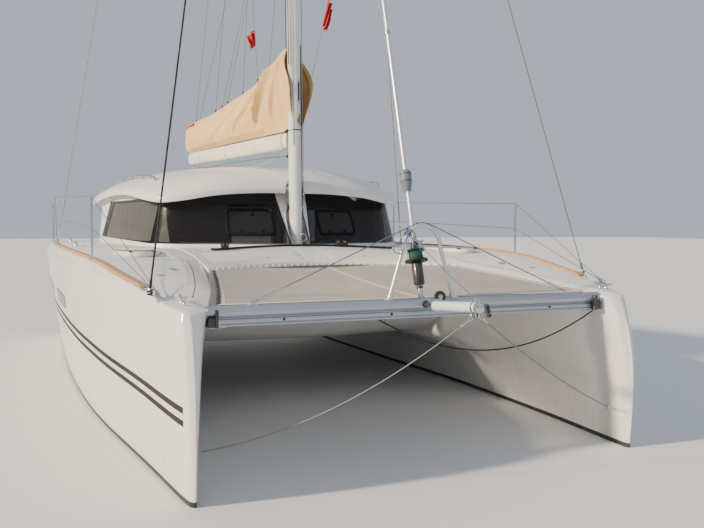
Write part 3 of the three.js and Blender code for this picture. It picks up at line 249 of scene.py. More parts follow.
def block(low, high, radius=0.01, steps=3):
    """A box with round edges: each point of a ball of that radius is moved out to the corner on its side."""
    low, high = np.asarray(low, float), np.asarray(high, float)
    radius = min(radius, *(0.499 * (high - low)))
    quarter = np.linspace(0, np.pi / 2, steps + 1)
    around = np.concatenate([quarter + k * np.pi / 2 for k in range(4)])
    signs = [np.repeat(s, steps + 1) for s in ((1, -1, -1, 1), (1, 1, -1, -1))]
    rise = np.concatenate([quarter - np.pi / 2, quarter])
    top = np.repeat((-1, 1), steps + 1)
    ball = at(np.cos(rise)[:, None] * np.cos(around), np.cos(rise)[:, None] * np.sin(around),
              np.sin(rise)[:, None])
    corner = at(signs[0][None], signs[1][None], top[:, None])
    return (low + high) / 2 + corner * ((high - low) / 2 - radius) + radius * ball


def prism(outline, low, high, edge=0.0, steps=3):
    """An outline of (x, y) points between two heights, its rims drawn in along quarter arcs."""
    outline = np.asarray(outline, float)
    ahead = unit(np.roll(outline, -1, 0) - np.roll(outline, 1, 0))
    turn = np.sum(outline[:, 0] * np.roll(outline[:, 1], -1) - outline[:, 1] * np.roll(outline[:, 0], -1))
    inward = np.stack([-ahead[:, 1], ahead[:, 0]], -1) * np.sign(turn)
    if edge <= 0:
        rows = [(0, low), (0, high)]
    else:
        a = np.linspace(0, np.pi / 2, steps + 1)
        rows = [(edge * (1 - s), low + edge * (1 - c)) for s, c in zip(np.sin(a), np.cos(a))]
        rows += [(edge * (1 - s), high - edge * (1 - c)) for s, c in zip(np.sin(a)[::-1], np.cos(a)[::-1])]
    return np.stack([at(*(outline + inward * inset).T, z) for inset, z in rows])


def placed(points, matrix):
    m = np.array(matrix)
    return points @ m[:3, :3].T + m[:3, 3]


def frame_at(origin, x, y, z):
    """The matrix whose axes are x, y and z, at an origin."""
    m = Matrix.Identity(4)
    for k, column in enumerate((x, y, z, origin)):
        for row in range(3):
            m[row][k] = column[row]
    return m


class Shape:
    """Gathers closed surfaces of one piece, each with a finish and a UV map in metres, into one mesh."""

    def __init__(self, name, mirror=False):
        self.name = name
        self.side = -1 if mirror else 1
        self.points, self.faces, self.uvs, self.finish_of, self.finishes = [], [], [], [], []
        self.count = 0

    def skin(self, p, finish, ring=True, uv=None, matrix=None):
        """Quads between neighbouring rows and columns. A ring's last column meets its first, its end rows are
        closed unless they are the same row, points that coincide are merged, and the faces are turned out by
        the sign of their volume."""
        p = placed(p, matrix) if matrix is not None else np.array(p, float)
        p[..., 0] *= self.side
        if ring:
            p = np.concatenate([p, p[:, :1]], 1)
        if uv is None:
            uv = measured(p)
        elif ring:
            uv = np.concatenate([uv, uv[:, :1]], 1)
        rows, columns = p.shape[:2]
        flat = p.reshape(-1, 3)
        _, first, same = np.unique(np.round(flat / 1e-6).astype(np.int64), axis=0,
                                   return_index=True, return_inverse=True)
        index = same.reshape(rows, columns)
        corner = np.arange(rows * columns).reshape(rows, columns)
        quads, loops = (np.stack([a[:-1, :-1], a[:-1, 1:], a[1:, 1:], a[1:, :-1]], -1).reshape(-1, 4)
                        for a in (index, corner))
        points = flat[first]
        a, b, c, d = (points[quads[:, k]] for k in range(4))
        volume = np.sum(np.cross(b, c) * a) + np.sum(np.cross(c, d) * a)
        rims = []
        open_ends = ring and (index[0] != index[-1]).any()
        for row, back in ((0, True), (rows - 1, False)) if open_ends else ():
            keep = index[row] != np.roll(index[row], 1)
            rim, rim_loops = index[row][keep], corner[row][keep]
            if len(rim) > 2:
                rims.append((rim[::-1], rim_loops[::-1]) if back else (rim, rim_loops))
                fan = points[rims[-1][0]]
                volume += np.sum(np.cross(fan[1:-1], fan[2:]) @ fan[0])
        whole = quads != np.roll(quads, 1, 1)
        sides = whole.sum(1)
        faces, corners = quads[sides == 4].tolist(), loops[sides == 4].ravel()
        thin = whole[sides == 3]
        faces += quads[sides == 3][thin].reshape(-1, 3).tolist()
        corners = np.concatenate([corners, loops[sides == 3][thin]])
        for rim, rim_loops in rims:
            faces.append(rim.tolist())
            corners = np.concatenate([corners, rim_loops])
        flat_uv = uv.reshape(-1, 2)[corners]
        if volume < 0:
            faces, flat_uv = reversed_faces(faces, flat_uv)
        self.points.append(points)
        self.faces += [[v + self.count for v in face] for face in faces]
        self.uvs.append(flat_uv)
        if finish not in self.finishes:
            self.finishes.append(finish)
        self.finish_of += [self.finishes.index(finish)] * len(faces)
        self.count += len(points)
        return self

    def tube(self, path, radius, finish, sides=10, closed=False, up=None):
        """A round bar along a path. Its radius may change along it."""
        path = np.asarray(path, float)
        size = np.broadcast_to(np.asarray(radius, float), len(path))[:, None, None]
        grid = carried(circle(1, sides)[None] * size, path, closed, up)
        return self.loop(grid, finish) if closed else self.skin(grid, finish)

    def loop(self, grid, finish):
        """A surface whose last row meets its first, as its last column does."""
        grid = np.concatenate([grid, grid[:1]])
        return self.skin(np.swapaxes(np.concatenate([grid, grid[:, :1]], 1), 0, 1)[:, :-1], finish)

    def block(self, low, high, finish, radius=0.01, matrix=None, steps=3):
        return self.skin(block(low, high, radius, steps), finish, matrix=matrix)

    def turned(self, profile, origin, direction, finish, sides=24, matrix=None):
        return self.skin(turned(profile, origin, direction, sides), finish, matrix=matrix)

    def pin(self, sizes, origin, direction, finish, sides=24, matrix=None):
        """A round bar with rounded rims: its radius, length, rim and start along the direction."""
        return self.turned(ring_profile(*sizes), origin, direction, finish, sides, matrix)

    def mesh(self):
        mesh = bpy.data.meshes.new(self.name)
        mesh.from_pydata(np.concatenate(self.points).tolist(), [], self.faces)
        layer = mesh.uv_layers.new(name="UVMap")
        layer.data.foreach_set("uv", np.concatenate(self.uvs).astype(np.float32).ravel())
        for finish in self.finishes:
            mesh.materials.append(finished(finish))
        mesh.polygons.foreach_set("material_index", self.finish_of)
        mesh.update()
        return mesh

    def make(self, body, slot, replaces=(), cut=(), keep=(), sharp=32):
        """The piece's object, cut by the shapes in cut, riding on a body."""
        obj = bpy.data.objects.new(self.name, self.mesh())
        bpy.context.scene.collection.objects.link(obj)
        if cut or keep:
            carve(obj, cut, keep)
        smoothed(obj, sharp)
        if replaces:
            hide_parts(*([replaces] if isinstance(replaces, str) else replaces))
        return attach(obj, body) if body else obj


def reversed_faces(faces, uv):
    """The same faces wound the other way, with their corners' UVs in the same order."""
    ends = np.cumsum([len(face) for face in faces])
    starts = ends - np.array([len(face) for face in faces])
    order = np.arange(len(uv))
    turn = np.repeat(starts + ends - 1, ends - starts) - order
    return [face[::-1] for face in faces], uv[turn]


def measured(p):
    """UVs in metres: the distance walked along each row, and down each column."""
    across = np.zeros(p.shape[:2])
    across[:, 1:] = np.cumsum(np.linalg.norm(np.diff(p, axis=1), axis=-1), 1)
    down = np.zeros(p.shape[:2])
    down[1:] = np.cumsum(np.linalg.norm(np.diff(p, axis=0), axis=-1), 0)
    return np.stack([across, down], -1)


def smoothed(obj, sharp=32):
    obj.data.shade_smooth()
    obj.data.set_sharp_from_angle(angle=math.radians(sharp))


def carve(obj, cut, keep):
    """Takes the shapes in cut away from a closed mesh, and keeps what is inside those in keep."""
    tools = []
    for operation, shapes in (("DIFFERENCE", cut), ("INTERSECT", keep)):
        for shape in shapes:
            tool = bpy.data.objects.new(shape.name, shape.mesh())
            bpy.context.scene.collection.objects.link(tool)
            tools.append(tool)
            step = obj.modifiers.new(shape.name, "BOOLEAN")
            step.operation = operation
            step.solver = "EXACT"
            step.object = tool
            step.material_mode = "TRANSFER"
    bpy.context.view_layer.update()
    result = bpy.data.meshes.new_from_object(obj.evaluated_get(bpy.context.evaluated_depsgraph_get()))
    if not len(result.polygons):
        raise RuntimeError(f"nothing is left of {obj.name}")
    obj.modifiers.clear()
    obj.data = result
    for tool in tools:
        bpy.data.objects.remove(tool)


# Finishes, each a material made of nodes


class Link:
    """A shader value in an expression: an operator adds the Math node that works it out."""

    def __init__(self, paint, socket):
        self.paint, self.socket = paint, socket

    def math(self, operation, *values):
        return self.paint.node("ShaderNodeMath", {"operation": operation}, dict(enumerate((self, *values))))

    def __add__(self, other):
        return self.math("ADD", other)

    def __mul__(self, other):
        return self.math("MULTIPLY", other)

    def __sub__(self, other):
        return self.math("SUBTRACT", other)

    def __rsub__(self, other):
        return (self * -1) + other

    def __truediv__(self, other):
        return self.math("DIVIDE", other)

    def __neg__(self):
        return self * -1

    __radd__ = __add__
    __rmul__ = __mul__

    def fold(self):
        return self.math("ABSOLUTE")

    def least(self, other):
        return self.math("MINIMUM", other)

    def most(self, other):
        return self.math("MAXIMUM", other)

    def wave(self, length):
        """From 0 to 1 and back over each length."""
        return (self * (2 * math.pi / length)).math("SINE") * 0.5 + 0.5

    def rise(self, low, high):
        """0 below low, 1 above high, smooth between."""
        return self.paint.node("ShaderNodeMapRange", {"interpolation_type": "SMOOTHSTEP"},
                               {"Value": self, "From Min": low, "From Max": high})

    def within(self, low, high, soft=0.002):
        """1 between low and high, with edges that soft."""
        return self.rise(low - soft, low) * (1 - self.rise(high, high + soft))

    def every(self, pitch, width, soft=0.001):
        """1 in a stripe of that width, once each pitch."""
        phase = (self / pitch).math("FRACT")
        off = (phase - 0.5).fold() * pitch
        return 1 - off.rise(width / 2, width / 2 + soft)


class Paint:
    """Builds the nodes of one material around a Principled shader."""

    def __init__(self, name, color, roughness, **settings):
        self.material = bpy.data.materials.new(name)
        self.material.use_nodes = True
        self.tree = self.material.node_tree
        self.shader = self.tree.nodes["Principled BSDF"]
        self.color = tuple(color)
        self.set("Base Color", color)
        self.set("Roughness", roughness)
        for socket, value in settings.items():
            self.set(socket.replace("_", " ").title().replace("Ior", "IOR"), value)

    def set(self, socket, value):
        self.plug(self.shader.inputs[socket], value)
        return self

    def plug(self, socket, value):
        if isinstance(value, Link):
            self.tree.links.new(value.socket, socket)
        elif socket.type == "RGBA" and len(value) == 3:
            socket.default_value = (*value, 1)
        else:
            socket.default_value = value

    def node(self, kind, settings=None, values=None, out=0):
        """A node of a kind with its settings, then its sockets' values or links. Gives one output."""
        node = self.tree.nodes.new(kind)
        for key, value in (settings or {}).items():
            setattr(node, key, value)
        for key, value in (values or {}).items():
            self.plug(node.inputs[key], value)
        return Link(self, node.outputs[out])

    def place(self):
        """The object's own coordinates in metres."""
        return self.node("ShaderNodeTexCoord", out="Object")

    def axes(self, vector=None):
        split = self.node("ShaderNodeSeparateXYZ", values={0: vector or self.place()})
        node = split.socket.node
        return [Link(self, node.outputs[k]) for k in range(3)]

    def uv(self):
        u, v, _ = self.axes(self.node("ShaderNodeUVMap", {"uv_map": "UVMap"}))
        return u, v

    def stretched(self, x, y, z):
        return self.node("ShaderNodeVectorMath", {"operation": "MULTIPLY"}, {0: self.place(), 1: (x, y, z)})

    def noise(self, scale, detail=2.0, roughness=0.5, vector=None):
        return self.node("ShaderNodeTexNoise", values={
            "Vector": vector or self.place(), "Scale": scale, "Detail": detail, "Roughness": roughness})

    def cells(self, scale):
        return self.node("ShaderNodeTexVoronoi", values={"Vector": self.place(), "Scale": scale})

    def mix(self, share, a, b):
        """One colour turning into another as share goes from 0 to 1."""
        return self.node("ShaderNodeMix", {"data_type": "RGBA"}, {0: share, 6: a, 7: b}, out=2)

    def shade(self, share, tone):
        """The finish's own colour, turning into a tone as share goes from 0 to 1."""
        return self.set("Base Color", self.mix(share, self.color, tone))

    def facing(self, axis):
        """One part of the surface's direction: 0 across the boat, 1 along it and 2 up."""
        return self.axes(self.node("ShaderNodeNewGeometry", out="Normal"))[axis]

    def bump(self, height, distance):
        return self.set("Normal", self.node("ShaderNodeBump", values={
            "Height": height, "Distance": distance, "Strength": 1.0}))

    def done(self):
        return self.material


FINISHES = {}


def finished(name):
    """The material of that finish, made the first time that it is asked for."""
    label = f"{name}_finish"
    if label not in bpy.data.materials:
        FINISHES[name](label)
    return bpy.data.materials[label]


def finish(maker):
    """Registers a function that makes the material of its own name."""
    FINISHES[maker.__name__] = maker
    return maker


NON_SLIP = tuple(c * 0.93 for c in (0.80, 0.81, 0.80))
DIRT = (0.46, 0.45, 0.42)


def colours():
    return bpy.context.scene.catamaran_colours


def sizes():
    return bpy.context.scene.catamaran_sizes


@finish
def gelcoat(name):
    paint = Paint(name, colours().gelcoat, 0.28, coat_weight=0.35, coat_roughness=0.12)
    cloud = paint.noise(1.7, 3)
    grime = paint.noise(9, 5, 0.65).rise(0.52, 0.8)
    tone = paint.mix(cloud.rise(0.3, 0.7), paint.color, tuple(0.96 * c for c in paint.color))
    paint.set("Base Color", paint.mix(grime * 0.18, tone, (0.52, 0.5, 0.44)))
    paint.set("Roughness", 0.24 + cloud * 0.12 + grime * 0.1)
    return paint.bump(paint.noise(2.2, 2), 0.0015).done()


# Middle of the upper stripe at its fore end, and how much its slope eases aft
STRIPE = {"y": -4.9, "z": 0.735, "sag": 0.0048}


@finish
def topside(name):
    """The hull's outside: two stripes along the outer side, bottom paint, and stains above the water."""
    size = sizes()
    paint = Paint(name, colours().gelcoat, 0.26, coat_weight=0.4, coat_roughness=0.1)
    x, y, z = paint.axes()
    height, gap = size.stripe_height, size.stripe_gap
    aft = y - STRIPE["y"]
    middle = STRIPE["z"] + aft * size.stripe_slope - aft * aft * STRIPE["sag"]
    outer = x.fold().rise(2.155, 2.157) * paint.facing(0).fold().rise(0.5, 0.6)
    drop = middle - z
    stripes = drop.within(-height / 2, height / 2, 0.0012)
    stripes = stripes.most((drop - height - gap).within(-height / 2, height / 2, 0.0012))
    stripes = stripes * outer * (1 - y.rise(size.stripe_end, size.stripe_end + 0.002)) * y.rise(-4.87, -4.868)
    streaks = paint.noise(6, 4, 0.6, paint.stretched(1, 2.4, 0.12)).rise(0.45, 0.75)
    stain = (1 - z.rise(0.05, 0.42)) * (0.15 + streaks * 0.45)
    rain = streaks * (1 - z.rise(1.1, 1.75)) * 0.16
    tone = paint.mix(paint.noise(1.1, 3).rise(0.3, 0.7), paint.color, tuple(0.955 * c for c in paint.color))
    tone = paint.mix(stain.most(rain), tone, (0.50, 0.47, 0.38))
    tone = paint.mix(stripes, tone, colours().stripe)
    below = 1 - (z + paint.noise(14, 3) * 0.004).rise(size.bottom_paint_top, size.bottom_paint_top + 0.003)
    slime = paint.noise(11, 6, 0.7)
    bottom = paint.mix(slime.rise(0.35, 0.75), colours().antifouling, (0.045, 0.05, 0.045))
    paint.set("Base Color", paint.mix(below, tone, bottom))
    paint.set("Roughness", (0.22 + streaks * 0.1) * (1 - below) + below.most(stripes) * 0.5)
    paint.set("Coat Weight", 0.4 - below.most(stripes) * 0.4)
    fair = paint.noise(1.6, 2, 0.5, paint.stretched(1, 0.5, 1)) * 1.2
    return paint.bump(fair + below * slime * 0.35, 0.0018).done()


@finish
def antifouling(name):
    paint = Paint(name, colours().antifouling, 0.78)
    slime = paint.noise(9, 6, 0.7)
    paint.shade(slime.rise(0.35, 0.75), (0.06, 0.07, 0.06))
    return paint.bump(slime, 0.0015).done()


# Where the gaps between the deck's panels are
PANEL_STOPS = (-3.97, -3.1, -2.23, -0.75, 0.35, 1.4, 2.62)


@finish
def deck(name):
    """Gelcoat with moulded panels of non-slip, kept off the edges and off the gaps between the panels."""
    paint = Paint(name, colours().gelcoat, 0.35)
    margin, inner = paint.uv()
    _, y, _ = paint.axes()
    half = sizes().panel_gap / 2
    lines = reduce(Link.most, (y.within(stop - half, stop + half, 0.004) for stop in PANEL_STOPS))
    inside = margin.rise(0.085, 0.089) * inner.rise(0.215, 0.219) * y.rise(-4.3, -4.296)
    panel = inside * (1 - lines) * (1 - y.rise(3.5, 3.504)) * paint.facing(2).rise(0.85, 0.93)
    # A near-black line painted along the groove by the inner deck edge: painted shade in the groove, which
    # the bump sinks.
    groove = inner.within(0.142, 0.149, 0.002) * y.rise(-4.3, -4.29) * (1 - y.rise(-2.3, -2.29))
    grit = paint.cells(420)
    dirt = paint.noise(7, 5, 0.65).rise(0.5, 0.8)
    tone = paint.mix(panel, paint.color, NON_SLIP)
    tone = paint.mix(dirt * (0.1 + panel * 0.16), tone, DIRT)
    paint.set("Base Color", paint.mix(groove, tone, (0.03, 0.03, 0.035)))
    paint.set("Roughness", 0.28 + panel * 0.4)
    return paint.bump(panel * (0.6 + grit * 0.5) - groove * 3, 0.0016).done()


@finish
def dark_seal(name):
    paint = Paint(name, (0.018, 0.018, 0.02), 0.55)
    return paint.bump(paint.noise(160, 3), 0.0003).done()


@finish
def smoked_glass(name):
    """Tinted acrylic, opaque and black where it is bonded to the cabin. The UV is the distance inside."""
    paint = Paint(name, colours().glass, 0.09, specular_ior_level=0.3)
    edge, rim = paint.uv()
    border = 1 - edge.least(rim).rise(sizes().glass_border, sizes().glass_border + 0.004)
    film = paint.noise(5, 4, 0.6).rise(0.4, 0.8)
    paint.shade(border, (0.006, 0.006, 0.007))
    paint.set("Alpha", sizes().glass_density + border * (1 - sizes().glass_density))
    return paint.set("Roughness", 0.08 + film * 0.08).done()


@finish
def black_acrylic(name):
    paint = Paint(name, (0.02, 0.021, 0.024), 0.12, coat_weight=0.4)
    return paint.set("Roughness", 0.08 + paint.noise(20, 4).rise(0.4, 0.8) * 0.12).done()


@finish
def black_plastic(name):
    paint = Paint(name, (0.02, 0.02, 0.022), 0.45)
    return paint.bump(paint.noise(300, 3), 0.0002).done()


@finish
def anodised(name):
    """Silver aluminium with fine drawing lines along the beam and water marks."""
    paint = Paint(name, colours().aluminium, 0.38, metallic=0.75)
    lines = paint.noise(40, 4, 0.6, paint.stretched(0.02, 3, 3))
    marks = paint.noise(7, 5, 0.7).rise(0.45, 0.8)
    paint.shade(marks * 0.35, (0.55, 0.57, 0.6))
    paint.set("Roughness", 0.3 + lines * 0.12 + marks * 0.15)
    return paint.bump(lines, 0.0002).done()


@finish
def mast_paint(name):
    paint = Paint(name, colours().mast, 0.32, coat_weight=0.25)
    streaks = paint.noise(16, 4, 0.6, paint.stretched(2, 2, 0.06)).rise(0.42, 0.8)
    paint.shade(streaks * 0.3, (0.45, 0.44, 0.41))
    return paint.set("Roughness", 0.28 + streaks * 0.2).done()


@finish
def stainless(name):
    paint = Paint(name, (0.62, 0.63, 0.64), 0.2, metallic=1.0)
    marks = paint.noise(35, 4, 0.6).rise(0.45, 0.8)
    paint.shade(marks * 0.3, (0.42, 0.37, 0.31))
    return paint.set("Roughness", 0.14 + marks * 0.22).done()


@finish
def wire_rope(name):
    """Strands that wind round the wire: stripes across the UV's two directions together."""
    paint = Paint(name, (0.22, 0.225, 0.23), 0.4, metallic=0.85)
    u, v = paint.uv()
    lay = (u * 1.2 + v).wave(0.006)
    # The grooves between the strands are coloured dark: painted shade that follows the bump.
    paint.set("Base Color", paint.mix(lay, (0.09, 0.09, 0.095), (0.36, 0.37, 0.38)))
    return paint.bump(lay, 0.0005).done()


@finish
def bronze(name):
    paint = Paint(name, (0.42, 0.25, 0.11), 0.38, metallic=0.9)
    patina = paint.noise(28, 6, 0.7).rise(0.45, 0.7)
    paint.shade(patina * 0.7, (0.13, 0.17, 0.12))
    paint.set("Metallic", 0.9 - patina * 0.6)
    return paint.set("Roughness", 0.3 + patina * 0.4).done()


@finish
def engine_paint(name):
    paint = Paint(name, (0.16, 0.18, 0.19), 0.5)
    wear = paint.noise(18, 5, 0.7).rise(0.55, 0.7)
    paint.shade(wear * 0.5, (0.3, 0.29, 0.27))
    return paint.bump(paint.noise(90, 2), 0.0004).done()


# Stage and camera

# Worked out from the stems, the beam, the deck edges and the mast in the photograph
CAMERA_AT = (-3.309, -10.745, 2.179)
CAMERA_YAW, CAMERA_PITCH, CAMERA_ROLL = (math.radians(a) for a in (23.13, -3.08, 0.31))
PHOTO_SIZE = (704, 528)
PHOTO_FOCUS = 776.8


def camera_axes():
    """The camera's right, up and forward directions."""
    f = np.array([math.sin(CAMERA_YAW) * math.cos(CAMERA_PITCH),
                  math.cos(CAMERA_YAW) * math.cos(CAMERA_PITCH), math.sin(CAMERA_PITCH)])
    r0 = np.array([math.cos(CAMERA_YAW), -math.sin(CAMERA_YAW), 0])
    u0 = np.cross(r0, f)
    c, s = math.cos(CAMERA_ROLL), math.sin(CAMERA_ROLL)
    return c * r0 + s * u0, c * u0 - s * r0, f


class CATAMARAN_OT_stage(bpy.types.Operator):
    """Makes the camera, the pale floor at the waterline, and the soft lights"""

    bl_idname = "catamaran.stage"
    bl_label = "Stage and camera"

    def execute(self, context):
        scene = context.scene
        data = bpy.data.cameras.new("camera")
        data.sensor_width = 36
        data.lens = PHOTO_FOCUS / PHOTO_SIZE[0] * data.sensor_width
        data.clip_end = 400
        camera = bpy.data.objects.new("camera", data)
        scene.collection.objects.link(camera)
        right, up, forward = camera_axes()
        camera.matrix_world = frame_at(CAMERA_AT, right, up, -forward)
        scene.camera = camera
        half = 90
        floor = Shape("floor")
        floor.skin(block((-half, -half, -0.02), (half, half, 0.0), 0.005), "stage_floor")
        piece = bpy.data.objects.new("floor", floor.mesh())
        scene.collection.objects.link(piece)
        self.lights(scene)
        return {"FINISHED"}

    def lights(self, scene):
        light = colours()
        for name, size, turn, energy, color in (
                ("low_sun", 0.06, (math.radians(66), 0, math.radians(-92)), light.sun_strength, light.sun),
                ("front_fill", 0.9, (math.radians(55), 0, math.radians(25)), light.fill_strength, light.sky)):
            data = bpy.data.lights.new(name, "SUN")
            data.angle = size
            data.energy = energy
            data.color = color
            lamp = bpy.data.objects.new(name, data)
            lamp.rotation_euler = turn
            scene.collection.objects.link(lamp)
        world = bpy.data.worlds.new("pale_sky")
        scene.world = world
        world.use_nodes = True
        background = world.node_tree.nodes["Background"]
        background.inputs["Color"].default_value = (*light.sky, 1)
        background.inputs["Strength"].default_value = light.sky_strength


@finish
def stage_floor(name):
    paint = Paint(name, (0.78, 0.79, 0.80), 0.6)
    cloud = paint.noise(0.6, 3)
    paint.shade(cloud, (0.75, 0.765, 0.775))
    return paint.done()


# Hulls

# The port hull from stem to stern, one row a section: y, bottom z, waterline inner x, waterline outer x,
# knuckle x, knuckle z, flare x, flare z, inner deck x, inner deck z, sheer x, sheer z
HULL_ROWS = MM * np.array([
    [-4980, -120, 2106, 2134, 2105, 450, 2085, 1300, 2078, 1470, 2136, 1472],
    [-4940, -190, 2098, 2150, 2094, 450, 2035, 1330, 2015, 1480, 2176, 1476],
    [-4820, -250, 2100, 2172, 2090, 450, 1985, 1350, 1950, 1492, 2222, 1488],
    [-4550, -300, 2112, 2205, 2090, 450, 1925, 1370, 1885, 1515, 2290, 1520],
    [-3900, -380, 2150, 2280, 2110, 450, 1790, 1400, 1745, 1590, 2420, 1600],
    [-3100, -440, 2175, 2385, 2110, 450, 1650, 1380, 1600, 1650, 2590, 1690],
    [-2700, -465, 2180, 2440, 2110, 450, 1590, 1200, 1540, 1680, 2660, 1735],
    [-2300, -485, 2180, 2490, 2105, 450, 1520, 820, 1500, 1740, 2712, 1762],
    [-1500, -515, 2172, 2570, 2080, 460, 1500, 700, 1500, 1815, 2800, 1790],
    [0, -540, 2080, 2650, 2000, 470, 1500, 700, 1500, 1842, 2885, 1805],
    [2000, -510, 1970, 2670, 1900, 470, 1500, 700, 1500, 1842, 2915, 1805],
    [3500, -390, 1940, 2630, 1880, 460, 1500, 700, 1500, 1825, 2885, 1800],
    [5000, -110, 1960, 2560, 1900, 450, 1500, 700, 1500, 1805, 2810, 1790],
])
STEM_Y = -4.98
STEM_X = 2.112
STEM_NOSE = 0.045
SHEER_DROP = 0.07
STERN_STEPS = ((3.96, 1.38), (4.29, 0.93), (4.62, 0.48))
ENGINE_WELL = {"x": (2.04, 2.5), "y": (2.82, 3.56), "floor": 0.06, "rebate": 0.04, "lid": 0.045}
DECK_HATCH = {"x": 2.075, "y": -1.48, "half_x": 0.265, "half_y": 0.56, "well": 0.42}


def hull_numbers(y):
    """Each breadth and height of the hull at stations y."""
    columns = cubic_rows(HULL_ROWS, np.atleast_1d(np.asarray(y, float))).T
    names = ("y", "bottom", "water_in", "water_out", "knuckle_x", "knuckle_z", "flare_x", "flare_z",
             "deck_x", "deck_z", "sheer_x", "sheer_z")
    h = dict(zip(names, columns))
    for name in ("flare_x", "deck_x"):
        h[name] = np.maximum(h[name], DECK_HALF_WIDTH)
    return h


def stem_setback(y, z):
    """How far a point moves aft: nothing at the stem's fullest height, more above and below it."""
    fullest = 0.57
    share = np.clip((-3.9 - y) / 1.08, 0, 1)
    above = 0.19 * (np.maximum(z - fullest, 0) / 0.9) ** 2
    below = 0.032 * (np.maximum(fullest - z, 0) / fullest) ** 2
    return share * (above + below)


def deck_crown(h):
    """The deck's height midway between its edges, from the hull's numbers."""
    return np.maximum(h["sheer_z"], h["deck_z"]) + 0.008


def deck_level(y):
    return float(deck_crown(hull_numbers(y))[0])


def edge_of(h):
    """The top outer edge's x, from the hull's numbers."""
    return lerp(h["sheer_x"], h["deck_x"], 0.06)


def edge_x(y):
    return edge_of(hull_numbers(y))


def hull_section(y):
    """Sections at stations y: half an oval below the water, a side that swells to the sheer, a chamfer, a
    crowned deck, and the flared inner side over its knuckle, with each corner drawn as an arc."""
    h = hull_numbers(y)
    a = np.linspace(0, np.pi, 31)
    middle, half = (h["water_in"] + h["water_out"]) / 2, (h["water_out"] - h["water_in"]) / 2
    under = pair(middle[:, None] - np.cos(a) * half[:, None], h["bottom"][:, None] * np.sin(a) ** 0.8)
    shoulder = h["sheer_z"] - SHEER_DROP
    q = np.linspace(0, 1, 18)[1:] * (1 - 0.015 / shoulder)[:, None]
    swell = (h["sheer_x"] - h["water_out"])[:, None]
    side = pair(h["water_out"][:, None] + swell * (1 - (1 - q) ** 1.4), q * shoulder[:, None])
    sheer = pair(h["sheer_x"], shoulder)
    edge = pair(edge_of(h), h["sheer_z"])
    inner = pair(h["deck_x"], h["deck_z"])
    crown = deck_crown(h)
    strip = smooth(-y, 2.1, 2.5) * 0.02
    width = np.linalg.norm(edge - inner, axis=-1)
    s = np.linspace(0.02, 1, 15)[None] * (1 - 0.02 / width)[:, None]
    height = (edge[:, 1:] * (1 - s) * (1 - 2 * s) + crown[:, None] * 4 * s * (1 - s)
              + inner[:, 1:] * s * (2 * s - 1))
    from_inner = (1 - s) * width[:, None]
    height = height - strip[:, None] * (1 - smooth(from_inner, 0.0, 0.15))
    top = pair(lerp(edge[:, :1], inner[:, :1], s), height)
    inner[:, 1] -= strip
    flare = pair(h["flare_x"], h["flare_z"])
    knuckle = pair(h["knuckle_x"], h["knuckle_z"])
    foot = pair(h["water_in"], 0 * y)
    section = np.concatenate([
        under, side,
        bend(side[:, -1], sheer, toward(sheer, edge, 0.015)),
        bend(toward(edge, sheer, 0.012), edge, top[:, 0]),
        top[:, 1:-1],
        bend(top[:, -1], inner, toward(inner, flare, 0.02)),
        bend(toward(flare, inner, 0.06), flare, toward(flare, knuckle, 0.06), 7),
        bend(toward(knuckle, flare, 0.13), knuckle, toward(knuckle, foot, 0.13), 7)], 1)
    gunwale = under.shape[1] + side.shape[1] + 7
    inside = gunwale + 3 + top.shape[1] - 2 + 2
    walked = np.zeros(section.shape[:2])
    walked[:, 1:] = np.cumsum(np.linalg.norm(np.diff(section, axis=1), axis=-1), 1)
    uv = np.stack([walked - walked[:, gunwale:gunwale + 1], walked[:, inside:inside + 1] - walked], -1)
    grid = at(section[..., 0], y[:, None] + stem_setback(y[:, None], section[..., 1]), section[..., 1])
    return grid, uv


def hull_stations():
    """Stations from the round nose of the stem, crowded there, to just before the transom."""
    turn = np.linspace(0, np.pi / 2, 8)
    nose = STEM_Y + STEM_NOSE * (1 - np.cos(turn))
    return np.concatenate([nose, np.linspace(-4.91, -4.2, 16), np.linspace(-4.15, 4.985, 150)])


def hull_skin(shape):
    y = hull_stations()
    grid, uv = hull_section(y)
    past = np.clip((y - STEM_Y) / STEM_NOSE, 0, 1)
    slim = np.sqrt(1 - (1 - past) ** 2)[:, None]
    grid[..., 0] = STEM_X + (grid[..., 0] - STEM_X) * slim
    grid[..., 2] -= 0.012 * (1 - slim) * (grid[..., 2] > 1.4)
    tail = grid[-1:].repeat(4, 0)
    turn = np.linspace(0, np.pi / 2, 5)[1:]
    centre = np.array([2.25, 0, 0.7])
    shrink = (1 - 0.012 * (1 - np.cos(turn)))[:, None, None]
    tail = centre + (tail - centre) * shrink
    tail[..., 1] = (4.985 + 0.015 * np.sin(turn))[:, None]
    grid = np.concatenate([grid, tail])
    uv = np.concatenate([uv, uv[-1:].repeat(4, 0)])
    shape.skin(grid, "topside", uv=uv)
    return shape


def deck_faces(obj):
    """Gives the faces that look up, and lie on the deck, the deck's finish."""
    mesh = obj.data
    mesh.materials.append(finished("deck"))
    slot = len(mesh.materials) - 1
    count = len(mesh.polygons)
    normals, middles = np.zeros(count * 3), np.zeros(count * 3)
    index = np.zeros(count, np.int32)
    mesh.polygons.foreach_get("normal", normals)
    mesh.polygons.foreach_get("center", middles)
    mesh.polygons.foreach_get("material_index", index)
    up = (normals.reshape(-1, 3)[:, 2] > 0.7) & (middles.reshape(-1, 3)[:, 2] > 0.4)
    mesh.polygons.foreach_set("material_index", np.where(up, slot, index).astype(np.int32))
    mesh.update()


def rounded_box(x, y, radius, grow=0.0, steps=6):
    """A rectangle's outline with round corners."""
    (x0, x1), (y0, y1) = x, y
    corners = [(x0 - grow, y0 - grow), (x1 + grow, y0 - grow), (x1 + grow, y1 + grow), (x0 - grow, y1 + grow)]
    return rounded(corners, radius, steps)


def hatch_oval(grow, sides=72):
    oval = circle(1, sides) * (DECK_HATCH["half_x"] + grow, DECK_HATCH["half_y"] + grow)
    return oval + (DECK_HATCH["x"], DECK_HATCH["y"])


